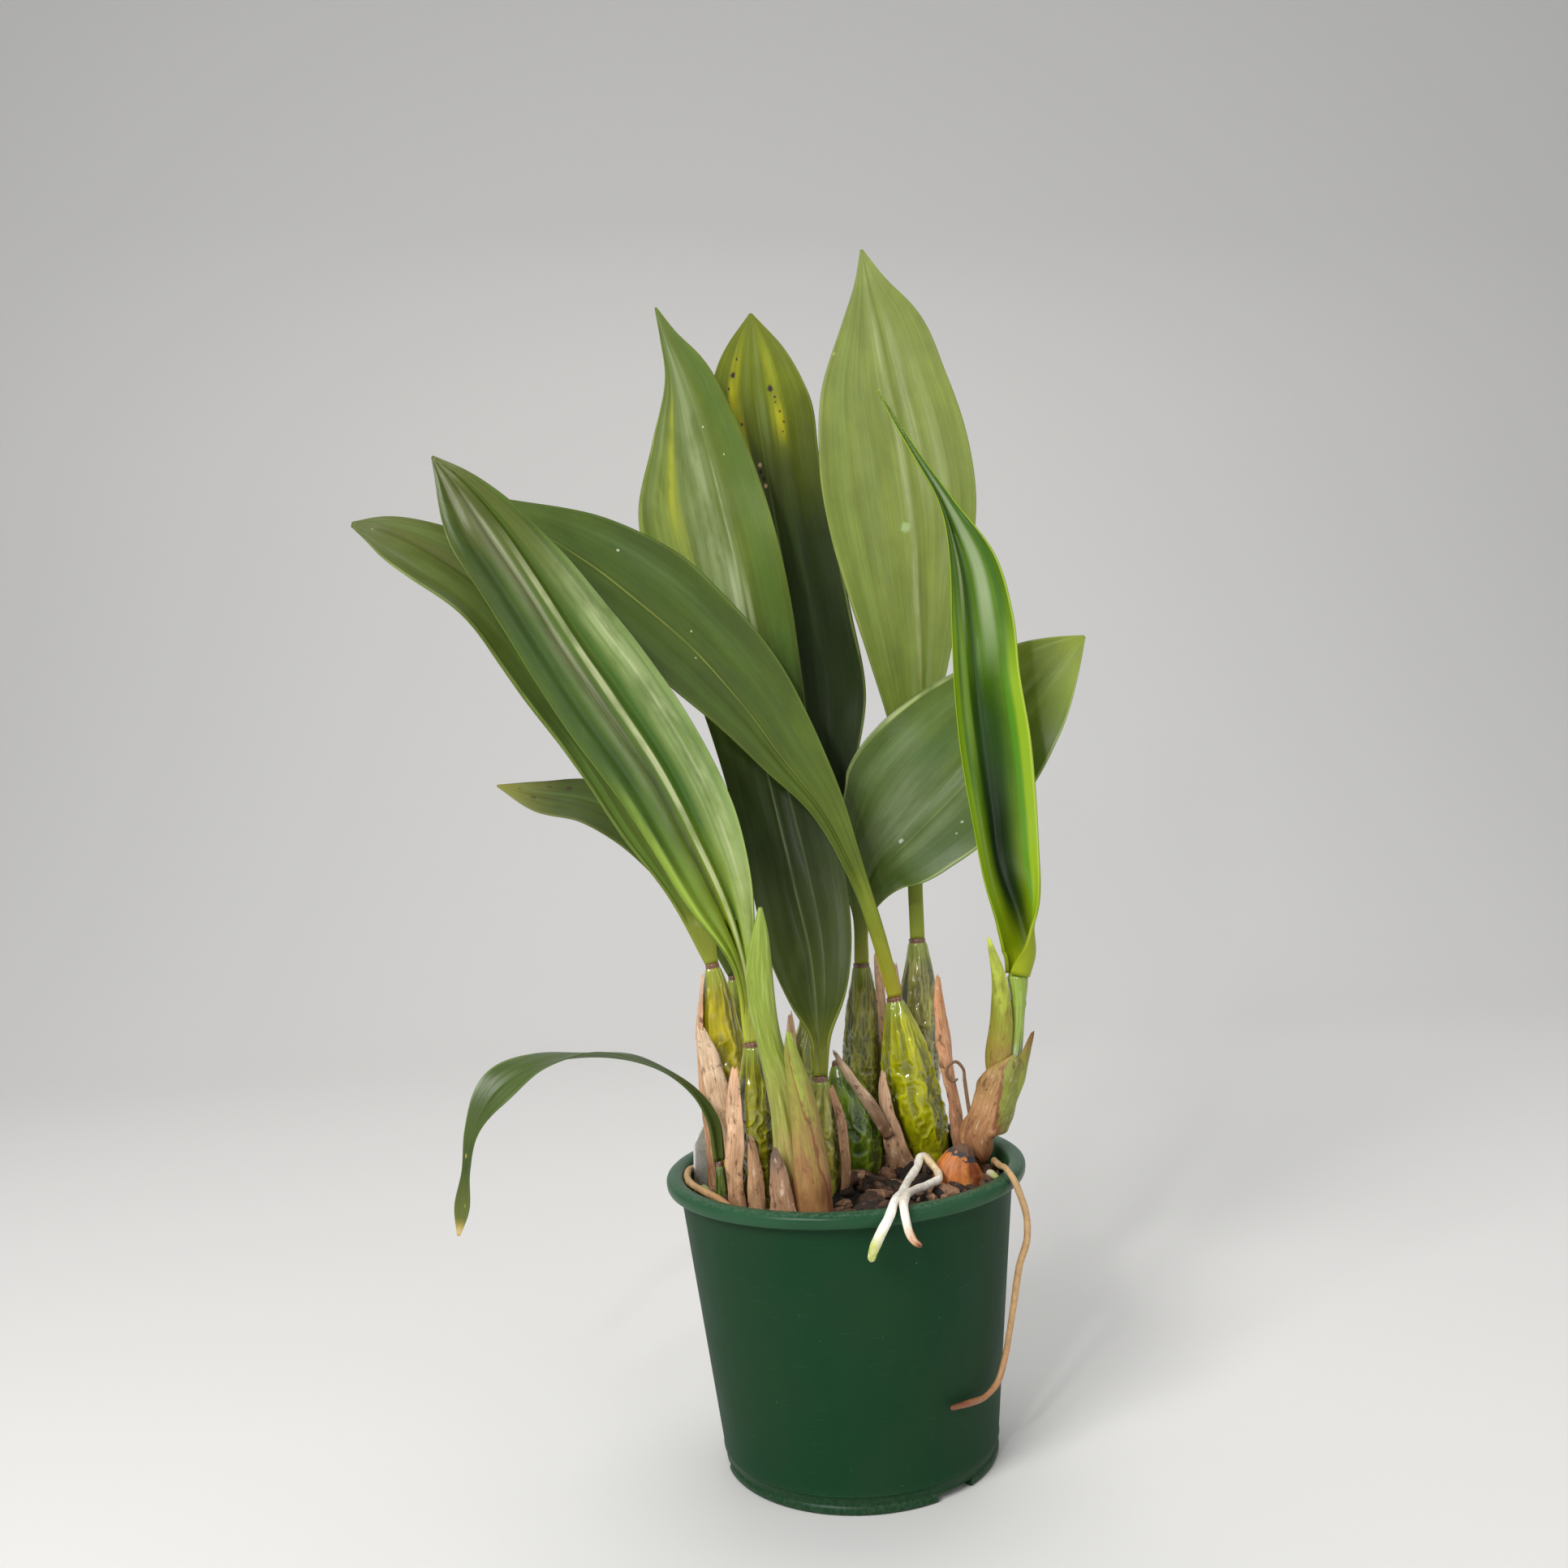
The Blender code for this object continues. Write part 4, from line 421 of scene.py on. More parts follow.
# What each leaf looks like, where it isn't plain. shade and back are its colours, from foot to tip
# on the shown side; where noted, a darker stretch of shade is painted shadow. gloss is its
# roughness and shine its reflection. stalk is the share of the length that is closed to a stalk,
# wave and pleat say how much its surface swings, and smooth keeps its marks unbroken. A fold, mark
# or spot is placed by its share of the half width from the midrib (left is negative) and its share
# of the length. folds: place, width, height. marks_and_painted_light: place, width, from, to,
# colour, strength; besides real streaks and margins they hold painted highlights, painted sheen
# and painted shade, as noted at each leaf. spots: place, place along, radius, colour. frayed,
# notch, uneven and crinkle say how ragged, cut, bumpy and crumpled a blade is; veins are in
# millimetres.
PLAIN_BLADE = {
    "shine": 0.36, "smooth": False, "folds": (), "wave": 0.03, "pleat": 0, "stalk": 0, "frayed": 0,
    "notch": 0, "uneven": 0, "crinkle": 0, "vein_height": 0, "vein_spacing": 2.6,
}
LEAF_LOOKS = {
    "leaf_1": {
        "shade": ((0, "#86a048"), (0.15, "#54742c"), (0.5, "#3a5724"), (0.8, "#465f29"), (1, "#526a32")),
        "back": ("#5c7c3c", "#6d8a48"), "gloss": 0.38, "stalk": 0.1, "wave": 0.06,
        "folds": ((0, 0.06, -1), (0.42, 0.12, 0.7), (-0.5, 0.14, 0.6)),
        "marks_and_painted_light": (
            (0, 0.03, 0.1, 0.97, "#2a4218", 0.7), (-0.45, 0.22, 0.2, 0.9, "#6f8a4c", 0.3),
            (0.55, 0.2, 0.5, 0.95, "#6a8446", 0.3), (0.1, 0.3, 0.8, 1, "#5e5c2c", 0.3),
            (-0.97, 0.05, 0.05, 0.95, "#9ab464", 0.6), (-0.8, 0.12, 0.1, 0.45, "#7fae4c", 0.4),
        ),
        "spots": ((-0.1, 0.965, 0.5, "#c9b48a"),),
    },
    "leaf_2": {
        "shade": (
            (0, "#a6c25c"), (0.14, "#7fa530"), (0.4, "#4a761a"), (0.7, "#42681c"), (0.88, "#48602c"),
            (1, "#52683a"),
        ),
        "back": ("#5a7f3a", "#6b8a4c"), "gloss": 0.26, "shine": 0.5, "stalk": 0.06, "pleat": 0.5,
        "wave": 0.03,
        "folds": (
            (-0.78, 0.12, 0.8), (-0.42, 0.14, 1.1), (-0.16, 0.08, -1.7), (0, 0.05, 1.1), (0.24, 0.11, -1),
            (0.62, 0.2, 1.2), (0.9, 0.08, -0.4),
        ),
        # The pale bands #a9be8c, #8a967c and #c4ccb8 and the pale lines #dbe4c4, along the midrib, and
        # #dbe4cc are painted highlights; the dark line #333c12 left of the midrib is painted shade in its
        # channel
        "marks_and_painted_light": (
            (-0.7, 0.34, 0.3, 0.99, "#24440c", 0.7), (0.72, 0.5, 0.12, 0.78, "#a9be8c", 0.8),
            (-0.3, 0.26, 0.3, 0.97, "#8a967c", 0.5), (-0.2, 0.1, 0.5, 0.92, "#c4ccb8", 0.6),
            (-0.17, 0.1, 0.02, 0.62, "#333c12", 0.7), (-0.33, 0.07, 0.4, 0.9, "#7c7060", 0.35),
            (-0.02, 0.05, 0.02, 0.8, "#dbe4c4", 0.7), (0.2, 0.2, 0.08, 0.97, "#35600a", 0.85),
            (0.16, 0.07, 0.6, 0.95, "#7a701c", 0.35), (0.47, 0.04, 0.25, 0.95, "#4f7a24", 0.5),
            (0.62, 0.04, 0.2, 0.72, "#dbe4cc", 0.5), (0.88, 0.12, 0.3, 0.95, "#5f8a2c", 0.5),
            (0.45, 0.3, 0.74, 0.97, "#5c6a24", 0.6), (-0.55, 0.2, 0.86, 0.97, "#6c6824", 0.4),
            (-0.9, 0.12, 0, 0.42, "#a9cc4e", 0.8), (-0.6, 0.16, 0.05, 0.4, "#7aa640", 0.4),
        ),
        "spots": ((0.05, 0.985, 0.8, "#a9a48c"),),
    },
    "leaf_3": {
        "shade": ((0, "#4c6a28"), (0.4, "#385424"), (0.8, "#3f582c"), (1, "#7a8a48")),
        "back": ("#4c6a34", "#5a7844"), "gloss": 0.42, "stalk": 0.1, "wave": 0.04,
        "folds": ((0, 0.07, -0.7), (0.5, 0.15, 0.4)),
        "marks_and_painted_light": (
            (0, 0.03, 0.1, 0.95, "#2a3f1c", 0.6), (0.3, 0.1, 0.4, 0.95, "#5c7844", 0.4),
            (-0.96, 0.07, 0.5, 1, "#8c8a4c", 0.6), (0.96, 0.07, 0.6, 1, "#3f3220", 0.6),
        ),
        "spots": (
            (0.55, 0.78, 1.6, "#3a2f1c"), (0.62, 0.84, 1.2, "#4a3a20"), (-0.2, 0.88, 1.5, "#463c22"),
            (0.7, 0.7, 1, "#3f371e"), (0.3, 0.93, 0.9, "#4a3a20"),
        ),
    },
    "leaf_4": {
        # The dark stretch of this run around 0.3 is painted shadow
        "shade": (
            (0, "#7d9448"), (0.08, "#425a26"), (0.3, "#253a16"), (0.5, "#365020"), (0.68, "#567438"),
            (1, "#56743e"),
        ),
        "back": ("#4e6c34", "#5e7c42"), "gloss": 0.42, "shine": 0.22, "stalk": 0.04, "pleat": 0.3,
        "wave": 0.05,
        "folds": (
            (0, 0.05, 0.8), (-0.32, 0.1, -0.7), (0.33, 0.1, -0.7), (0.62, 0.14, 0.6), (-0.66, 0.14, 0.6),
        ),
        # The silver-grey #8fa27c and #a3b294 and the pale patch #bcc8b0, #a9b896 and #d0d8c4 are painted
        # sheen
        "marks_and_painted_light": (
            (-0.1, 0.55, 0.6, 0.99, "#8fa27c", 0.45), (0.7, 0.3, 0.42, 0.97, "#456a26", 0.55),
            (0, 0.025, 0.04, 0.56, "#7f9068", 0.5), (0.3, 0.03, 0.06, 0.5, "#6f8258", 0.5),
            (-0.05, 0.16, 0.64, 0.97, "#a3b294", 0.4), (-0.62, 0.28, 0.5, 0.86, "#9cb060", 0.5),
            (-0.52, 0.11, 0.72, 0.88, "#b0b428", 0.6), (-0.44, 0.08, 0.62, 0.74, "#9aa440", 0.5),
            (0.12, 0.12, 0.56, 0.665, "#bcc8b0", 0.6), (0.3, 0.07, 0.52, 0.64, "#a9b896", 0.5),
            (0.2, 0.02, 0.66, 0.78, "#d0d8c4", 0.4), (-0.16, 0.05, 0.5, 0.66, "#8aa070", 0.4),
            (-0.97, 0.04, 0.55, 0.97, "#a3b460", 0.5),
        ),
        "spots": ((0.25, 0.84, 0.6, "#c9c49a"), (0.5, 0.8, 0.5, "#bdbb8e"), (-0.7, 0.69, 0.7, "#b4b878")),
    },
    "leaf_5": {
        # The dark middle of this run, from 0.2 to 0.68, is painted shadow from the leaves over it
        "shade": (
            (0, "#6f8840"), (0.2, "#223810"), (0.5, "#1f350c"), (0.68, "#2c4217"), (0.8, "#4c6224"),
            (0.9, "#66802e"), (1, "#6c8438"),
        ),
        "back": ("#4a6a2e", "#5a7a3c"), "gloss": 0.45, "shine": 0.2, "stalk": 0.16, "wave": 0.03,
        "folds": ((0, 0.06, -0.8), (-0.45, 0.12, 0.5), (0.45, 0.12, 0.5)),
        "marks_and_painted_light": (
            (-0.48, 0.2, 0.77, 0.94, "#b4b820", 0.7), (0.36, 0.2, 0.815, 0.955, "#a6b02a", 0.7),
            (0.38, 0.09, 0.82, 0.87, "#d0c810", 0.7), (-0.34, 0.07, 0.78, 0.86, "#d0c414", 0.75),
            (-0.52, 0.07, 0.86, 0.91, "#ccc414", 0.7), (0, 0.025, 0.2, 0.95, "#7c9050", 0.5),
            (0.1, 0.1, 0.8, 0.97, "#7f9460", 0.4), (-0.2, 0.1, 0.86, 0.98, "#7a9048", 0.4),
            (0.3, 0.12, 0.55, 0.8, "#4f682e", 0.4), (0.97, 0.03, 0.3, 0.97, "#8c9c58", 0.5),
        ),
        "spots": (
            (-0.54, 0.912, 1.7, "#3a2a2c"), (0.3, 0.893, 1.8, "#3a2a2c"), (-0.5, 0.935, 0.9, "#4a3226"),
            (-0.6, 0.893, 0.8, "#4a3226"), (-0.6, 0.875, 0.7, "#4a3226"), (-0.36, 0.845, 0.9, "#54381e"),
            (0.35, 0.872, 0.7, "#6a4420"), (0.4, 0.858, 0.8, "#6a4420"), (0.44, 0.842, 0.7, "#6a4420"),
            (0.4, 0.828, 0.6, "#6a4420"), (0.36, 0.88, 0.8, "#4a3226"), (-0.56, 0.86, 0.6, "#5a3e24"),
            (-0.13, 0.785, 1.3, "#cfae88"), (-0.08, 0.755, 1.2, "#cfae88"), (-0.14, 0.775, 1.4, "#2a2018"),
            (-0.1, 0.765, 1.3, "#2a2018"),
        ),
    },
    "leaf_6": {
        "shade": (
            (0, "#9ab458"), (0.16, "#4a6a30"), (0.4, "#41622a"), (0.7, "#4f742a"), (0.86, "#6a8e3a"),
            (1, "#7a9a44"),
        ),
        "back": ("#4c6c34", "#5c7c40"), "gloss": 0.36, "shine": 0.42, "stalk": 0.18, "wave": 0.05,
        "folds": ((0, 0.06, -0.9), (-0.5, 0.16, 0.7), (0.5, 0.16, 0.6)),
        # The whitish patch #8c9c84 left of the midrib is painted sheen
        "marks_and_painted_light": (
            (0, 0.022, 0.18, 0.95, "#6d8650", 0.55), (-0.15, 0.42, 0.3, 0.52, "#8c9c84", 0.42),
            (-0.35, 0.22, 0.5, 0.64, "#355c1c", 0.55), (0.62, 0.3, 0.2, 0.7, "#38561f", 0.5),
            (0.35, 0.12, 0.25, 0.55, "#7f9468", 0.35), (-0.7, 0.15, 0.25, 0.7, "#6f8a58", 0.35),
            (0.3, 0.1, 0.7, 0.97, "#86a34c", 0.35), (0.2, 0.02, 0.3, 0.9, "#8ca060", 0.4),
            (-0.975, 0.035, 0.15, 0.97, "#b4c48a", 0.8), (0.975, 0.035, 0.15, 0.97, "#a3b674", 0.7),
        ),
        "spots": (
            (0.2, 0.955, 0.5, "#35431e"), (-0.2, 0.94, 0.4, "#35431e"), (0.1, 0.34, 1.4, "#a9b4a0"),
            (0.55, 0.48, 0.8, "#a3ae94"), (0.5, 0.52, 0.6, "#a3ae94"), (0.62, 0.45, 0.6, "#a3ae94"),
        ),
    },
    "right_shoot_leaf": {
        "shade": (
            (0, "#8fb01e"), (0.06, "#7ea414"), (0.35, "#4f8410"), (0.62, "#4c7c1c"), (0.85, "#3d6c28"),
            (1, "#6f9440"),
        ),
        "back": ("#7aa81c", "#8ab428"), "gloss": 0.2, "shine": 0.5, "stalk": 0, "wave": 0.02,
        "smooth": True, "folds": ((-0.02, 0.3, -4), (-0.55, 0.12, 0.5), (0.62, 0.14, 0.7)),
        # The dark #193a06, #0c2203 and #1d4410 are painted shade inside the folded blade; the pale #c9d6c4,
        # #b4c6b0 and #9cc05c are painted highlights
        "marks_and_painted_light": (
            (0.02, 0.66, 0.07, 0.5, "#193a06", 0.9), (-0.02, 0.42, 0.09, 0.34, "#0c2203", 0.92),
            (-0.06, 0.12, 0.45, 0.86, "#1d4410", 0.7), (-0.36, 0.13, 0.6, 0.86, "#c9d6c4", 0.7),
            (-0.48, 0.16, 0.36, 0.6, "#9cc05c", 0.6), (0.36, 0.22, 0.56, 0.86, "#b4c6b0", 0.6),
            (0.72, 0.14, 0.5, 0.92, "#2c5a18", 0.6), (-0.86, 0.16, 0.08, 0.62, "#8cb41c", 0.8),
            (0.84, 0.24, 0.02, 0.55, "#93b81c", 0.8), (0.62, 0.12, 0.1, 0.5, "#4c8c0c", 0.7),
            (0.97, 0.04, 0, 0.95, "#b6cc5c", 0.7), (0.9, 0.2, 0, 0.06, "#5f7c1c", 0.5),
        ),
        "spots": ((0.1, 0.035, 0.9, "#5f6a20"),),
    },
    "leaf_8": {
        "shade": (
            (0, "#a9b84c"), (0.12, "#7f9c3c"), (0.22, "#567430"), (0.5, "#446328"), (0.8, "#40602a"),
            (1, "#4c6e34"),
        ),
        "back": ("#587838", "#66864a"), "gloss": 0.4, "stalk": 0.2, "wave": 0.05, "pleat": 0.25,
        "folds": ((0, 0.05, -0.9), (0.45, 0.16, 0.6), (-0.5, 0.16, 0.5)),
        "marks_and_painted_light": (
            (0, 0.02, 0.24, 0.9, "#97a348", 0.8), (0, 0.05, 0.225, 0.25, "#a07f2c", 0.9),
            (0.5, 0.2, 0.35, 0.8, "#56743c", 0.35), (-0.6, 0.16, 0.3, 0.8, "#4c6e26", 0.4),
            (0.25, 0.1, 0.3, 0.95, "#36561f", 0.35), (-0.97, 0.035, 0.2, 0.9, "#7a8c46", 0.5),
            (0.97, 0.03, 0.25, 0.9, "#748a48", 0.45), (0.62, 0.16, 0.66, 0.84, "#5f7a4c", 0.35),
        ),
        "spots": (
            (0.02, 0.236, 1.1, "#6a4a22"), (-0.1, 0.6, 0.5, "#b9b88c"), (0.2, 0.63, 0.5, "#b9b88c"),
            (0.5, 0.78, 0.7, "#c9c9ae"),
        ),
    },
    "leaf_9": {
        "shade": ((0, "#8aa850"), (0.2, "#66863a"), (0.35, "#688848"), (0.6, "#749260"), (1, "#7a9870")),
        "back": ("#58783a", "#66864a"), "gloss": 0.44, "stalk": 0.16, "wave": 0.03, "pleat": 0.3,
        "folds": (
            (0, 0.05, 0.8), (0.3, 0.09, -0.6), (-0.32, 0.1, -0.6), (0.6, 0.14, 0.6), (-0.64, 0.14, 0.6),
        ),
        # The pale stripe #b4c19c along the midrib and the silvery stripes #a9b898 and #a3b488 are painted
        # highlights
        "marks_and_painted_light": (
            (0.02, 0.07, 0.4, 0.93, "#b4c19c", 0.6), (0.06, 0.06, 0.15, 0.45, "#b0b85c", 0.6),
            (0.28, 0.1, 0.66, 0.92, "#a9b898", 0.5), (0.55, 0.12, 0.5, 0.82, "#a3b488", 0.45),
            (0.13, 0.03, 0.3, 0.93, "#64803a", 0.5), (-0.12, 0.035, 0.3, 0.9, "#6c8840", 0.4),
            (-0.42, 0.2, 0.5, 0.92, "#94aa70", 0.3), (-0.7, 0.12, 0.4, 0.9, "#8ba860", 0.3),
            (-0.85, 0.12, 0.36, 0.7, "#5f7c2c", 0.4), (0.85, 0.12, 0.4, 0.7, "#64802e", 0.35),
            (-0.975, 0.025, 0.4, 0.97, "#a9bb70", 0.4),
        ),
        "spots": ((-0.1, 0.8, 1, "#94a436"), (-0.05, 0.6, 2.6, "#9cb072"), (-0.95, 0.86, 0.8, "#b9bb80")),
    },
    "leaf_10": {
        "shade": (
            (0, "#4a6234"), (0.3, "#33502c"), (0.6, "#466344"), (0.85, "#3f5a38"), (0.96, "#5d7444"),
            (1, "#c9bc94"),
        ),
        "back": ("#345428", "#46683a"), "gloss": 0.36, "stalk": 0, "wave": 0.1, "folds": ((0, 0.1, -0.5),),
        "marks_and_painted_light": (
            (0, 0.05, 0.2, 0.95, "#5d7c52", 0.5), (0.96, 0.06, 0.1, 0.97, "#7f9c60", 0.6),
            (-0.96, 0.06, 0.1, 0.97, "#7f9c60", 0.6), (0, 1.2, 0.985, 1.03, "#e4d8b4", 0.8),
        ),
        "spots": ((0.3, 0.82, 0.9, "#b4a25a"), (-0.4, 0.93, 0.8, "#a8924e")),
    },
}
LEAF_UNEVEN = 0.55

# Between these two numbers a noise does most of its changing
NOISE_LOW = 0.3
NOISE_HIGH = 0.7

# What the painted colours of leaves and of their marks are multiplied by, and the distance
# between the fine lines in a leaf's colour, in millimetres
LEAF_TINT = (1.12, 0.85, 0.34)
MARK_TINT = (1.0, 0.95, 0.74)
VEIN_LINES = 1.7

# What each bulb looks like: ridge colour, the colour of its hollows (darker, as painted shade in the
# wrinkles), wrinkle height and spacing, seed, roughness
BULB_LOOKS = {
    "pseudobulb_1": ("#c4b410", "#7c760a", 0.85, 2.6, 11, 0.2),
    "pseudobulb_2": ("#a09c14", "#50540a", 0.85, 2.2, 12, 0.17),
    "pseudobulb_3": ("#a9ac34", "#5c681a", 0.7, 2.6, 13, 0.24),
    "pseudobulb_4": ("#c4bc50", "#6a702a", 0.7, 2, 14, 0.2),
    "pseudobulb_5": ("#a3a844", "#565e24", 0.75, 2.2, 15, 0.26),
    "pseudobulb_6": ("#aeac48", "#585c1c", 0.7, 1.6, 16, 0.28),
    "pseudobulb_7": ("#7c9a1c", "#34500e", 0.75, 2.8, 17, 0.18),
    "pseudobulb_8": ("#c6c60e", "#7c7e06", 1, 2.7, 18, 0.13),
    "pseudobulb_9": ("#b4b058", "#5c5c22", 0.7, 1.6, 19, 0.28),
    "pseudobulb_10": ("#75863a", "#3c4c20", 0.15, 1.6, 20, 0.35),
}
NECK_RING = "#703438"

# How each bract and each sheath is coloured from foot to tip, with its frayed share and seed, and
# the colours of two sheaths past the seam that slants over them
BRACT_LOOKS = {
    "dry_bract_1": (("#9a7454", "#cfa27a", "#e2bd98", "#edd0b0"), 0.1, 31),
    "dry_bract_2": (("#a87c56", "#c99c74", "#dcb28c", "#d9a884"), 0.08, 32),
    "dry_bract_3": (("#a8754c", "#b58a66", "#a07c60", "#5a4c42"), 0.12, 33),
    "dry_bract_4": (("#b98c62", "#cfa27a", "#c09070"), 0.07, 34),
    "dry_bract_5": (("#8a6a50", "#c9a88a", "#dcbc9c"), 0.08, 35),
    "dry_bract_6": (("#a8805e", "#c9a07c", "#d9b090"), 0.08, 36),
    "dry_bract_7": (("#a97c58", "#c98f68", "#dba078", "#cf9262"), 0.09, 37),
    "dry_bract_8": (("#a98462", "#cfa280", "#dbb290"), 0.08, 38),
    "dry_bract_9": (("#9d7a5c", "#c9a07c", "#dbb896"), 0.08, 39),
    "dry_bract_10": (("#a87c58", "#cb9c74", "#dcb28c"), 0.1, 40),
    "dry_bract_11": (("#94704f", "#b8926c", "#c9a482"), 0.08, 41),
    "dry_bract_12": (("#b28a62", "#c99c74", "#a07c5c"), 0.1, 42),
}
SHEATH_LOOKS = {
    "front_shoot_sheath": (("#9c6c44", "#a4784a", "#988244", "#8c8a38", "#8a9638"), 0.02, 51),
    "right_shoot_green_sheath": (
        ("#a07848", "#a8844c", "#9a8838", "#8c8f30", "#a3ad3e", "#bcc850"), 0.03, 52,
    ),
    "right_shoot_papery_cover": (("#a06a44", "#b88458", "#bc8c60", "#ac8850", "#a08840"), 0.06, 53),
    "right_shoot_small_bract": (("#8f9a3a", "#8c963a", "#8c7c34", "#7a4f2a"), 0.04, 54),
}
SEAM_SHADES = {
    "front_shoot_sheath": ("#b07a54", "#ac8058", "#a4884c", "#989c44", "#8ea63c"),
    "right_shoot_papery_cover": ("#9a7c40", "#8f8a3c", "#8c923c", "#8c8c44"),
}

# The colours of the stems from foot to top
FRONT_SHOOT_SHADES = (
    (0, "#a87c50"), (0.15, "#a8864c"), (0.32, "#94903c"), (0.6, "#88962f"), (1, "#8aa23a"),
)
# The pale stop at 0.64 on the right stem is a painted highlight
RIGHT_STEM_SHADES = (
    (0, "#8a6a44"), (0.3, "#94904c"), (0.5, "#9cae58"), (0.64, "#b9cc9a"), (0.78, "#98ac50"),
    (1, "#8ca43c"),
)

# The skins of the roots: their colours, which run from 0 to 0.5 along the first tube and from there
# to 1 along the second, and the colour of their specks
ROOT_LOOKS = {
    "white_root_skin": (
        (
            (0, "#cdb084"), (0.08, "#dcc08c"), (0.13, "#fff8ea"), (0.445, "#fffaf0"), (0.468, "#dcdc98"),
            (0.498, "#a9b83a"), (0.502, "#f4e2c0"), (0.56, "#e2c492"), (0.64, "#fff8ea"), (0.95, "#fff4e2"),
            (0.972, "#e0ac80"), (0.987, "#a86c44"), (1, "#5c3420"),
        ),
        "#d2ba94",
    ),
    "tan_root_skin": (
        ((0, "#b08c62"), (0.1, "#c9a575"), (0.35, "#c39a6a"), (0.45, "#a9744c"), (0.5, "#7a4028")),
        "#5f5a52",
    ),
    "dark_root_skin": (((0, "#6f5238"), (0.25, "#94704e"), (0.5, "#7c5c40")), "#4a3628"),
    "green_root_skin": (((0, "#7c8a4a"), (0.25, "#93a35c"), (0.5, "#7c8a4a")), "#5a5a34"),
    "stub_skin": (((0, "#d9cdb4"), (0.3, "#efe7d4"), (0.46, "#b8c060"), (0.5, "#8fa048")), "#b59a74"),
}

# Each root: its tubes, its skin, its slot, the seed of its lumps and their height as a share of
# its radius
ROOT_KINDS = {
    "white_forked_root": (("left_fork", "right_fork"), "white_root_skin", "white_root", 201, 0.11),
    "long_tan_root": (("long_tan_root",), "tan_root_skin", "tan_root", 220, 0.09),
    "white_root_stub": (("white_root_stub",), "stub_skin", "white_root", 221, 0.09),
    "rim_root": (("rim_root",), "tan_root_skin", "tan_root", 222, 0.09),
    "green_root": (("green_root",), "green_root_skin", "green_root_skin", 223, 0.09),
    "curled_root": (("curled_root",), "dark_root_skin", "tan_root", 224, 0.09),
}


class PotSettings(bpy.types.PropertyGroup):
    """Sizes and colours of the pot, its mix and the tag."""

    height: FloatProperty(
        name="Height", description="Height of the pot", default=120 * MM, unit="LENGTH")
    rim_radius: FloatProperty(
        name="Rim radius", description="Radius of the rolled rim", default=75 * MM, unit="LENGTH")
    foot_radius: FloatProperty(
        name="Foot radius", description="Radius of the wall at the foot", default=56.5 * MM,
        unit="LENGTH")
    colour: FloatVectorProperty(
        name="Plastic", description="Colour of the pot's plastic", subtype="COLOR",
        default=(0.004, 0.040, 0.013))
    # The rim's colour, paler than the plastic: part wear, part painted highlight along the rim band
    rim_colour_and_highlight: FloatVectorProperty(
        name="Rim", description="Colour of the worn rim", subtype="COLOR",
        default=(0.026, 0.088, 0.040))
    sides: IntProperty(name="Sides", description="Steps round the pot", default=160, min=32)
    chunks: IntProperty(name="Bark chunks", description="Number of bark chunks", default=280, min=1)
    tag_colour: FloatVectorProperty(
        name="Tag", description="Colour of the tag's plastic", subtype="COLOR", default=(0.97, 0.97, 0.94))


class PlantSettings(bpy.types.PropertyGroup):
    """Thickness, veins and fineness of the plant's pieces."""

    leaf_edge: FloatProperty(
        name="Leaf edge", description="Thickness of a leaf at its margin", default=0.4 * MM, unit="LENGTH")
    leaf_middle: FloatProperty(
        name="Leaf middle", description="Thickness of a leaf at its midrib", default=0.9 * MM, unit="LENGTH")
    stalk: FloatProperty(
        name="Stalk", description="Thickness of a leaf at its foot", default=2.2 * MM, unit="LENGTH")
    vein_spacing: FloatProperty(
        name="Vein spacing", description="Distance between the fine veins", default=2.6 * MM, unit="LENGTH")
    vein_height: FloatProperty(
        name="Vein height", description="How far the fine veins stand out", default=0.07 * MM, unit="LENGTH")
    leaf_columns: IntProperty(name="Leaf columns", description="Points across a leaf", default=43, min=7)
    bulb_sides: IntProperty(name="Bulb sides", description="Points round a bulb", default=132, min=12)
    root_sides: IntProperty(name="Root sides", description="Points round a root", default=18, min=6)


class StageSettings(bpy.types.PropertyGroup):
    """The floor, the lights and the camera."""

    floor_colour: FloatVectorProperty(
        name="Floor", description="Colour of the plain floor", subtype="COLOR", default=(0.81, 0.795, 0.77))
    key_power: FloatProperty(name="Key light", description="Power of the key light in watts", default=24.0)
    fill_power: FloatProperty(name="Fill light", description="Power of the fill light in watts", default=6.0)
    top_power: FloatProperty(name="Top light", description="Power of the top light in watts", default=9.0)
    glint_power: FloatProperty(
        name="Glint light", description="Power of the small light for glints", default=1.6)
    room_light: FloatProperty(name="Room light", description="Strength of the even light", default=0.32)
    camera_x: FloatProperty(name="Camera X", description="Camera place", default=-15.85 * MM, unit="LENGTH")
    camera_y: FloatProperty(name="Camera Y", description="Camera place", default=-582.4 * MM, unit="LENGTH")
    camera_z: FloatProperty(name="Camera Z", description="Camera place", default=275.72 * MM, unit="LENGTH")
    camera_pitch: FloatProperty(
        name="Pitch", description="Camera tilt upwards", default=math.radians(0.4), subtype="ANGLE")
    camera_roll: FloatProperty(
        name="Roll", description="Camera roll", default=math.radians(-3.49), subtype="ANGLE")
    lens: FloatProperty(name="Lens", description="Focal length in millimetres", default=31.68)


def paint(code):
    """A colour from a paint chart's six letters, as the linear values that a shader takes."""
    parts = [int(code[k:k + 2], 16) / 255 for k in (1, 3, 5)]
    linear = [p / 12.92 if p <= 0.04045 else ((p + 0.055) / 1.055) ** 2.4 for p in parts]
    return (*linear, 1.0)


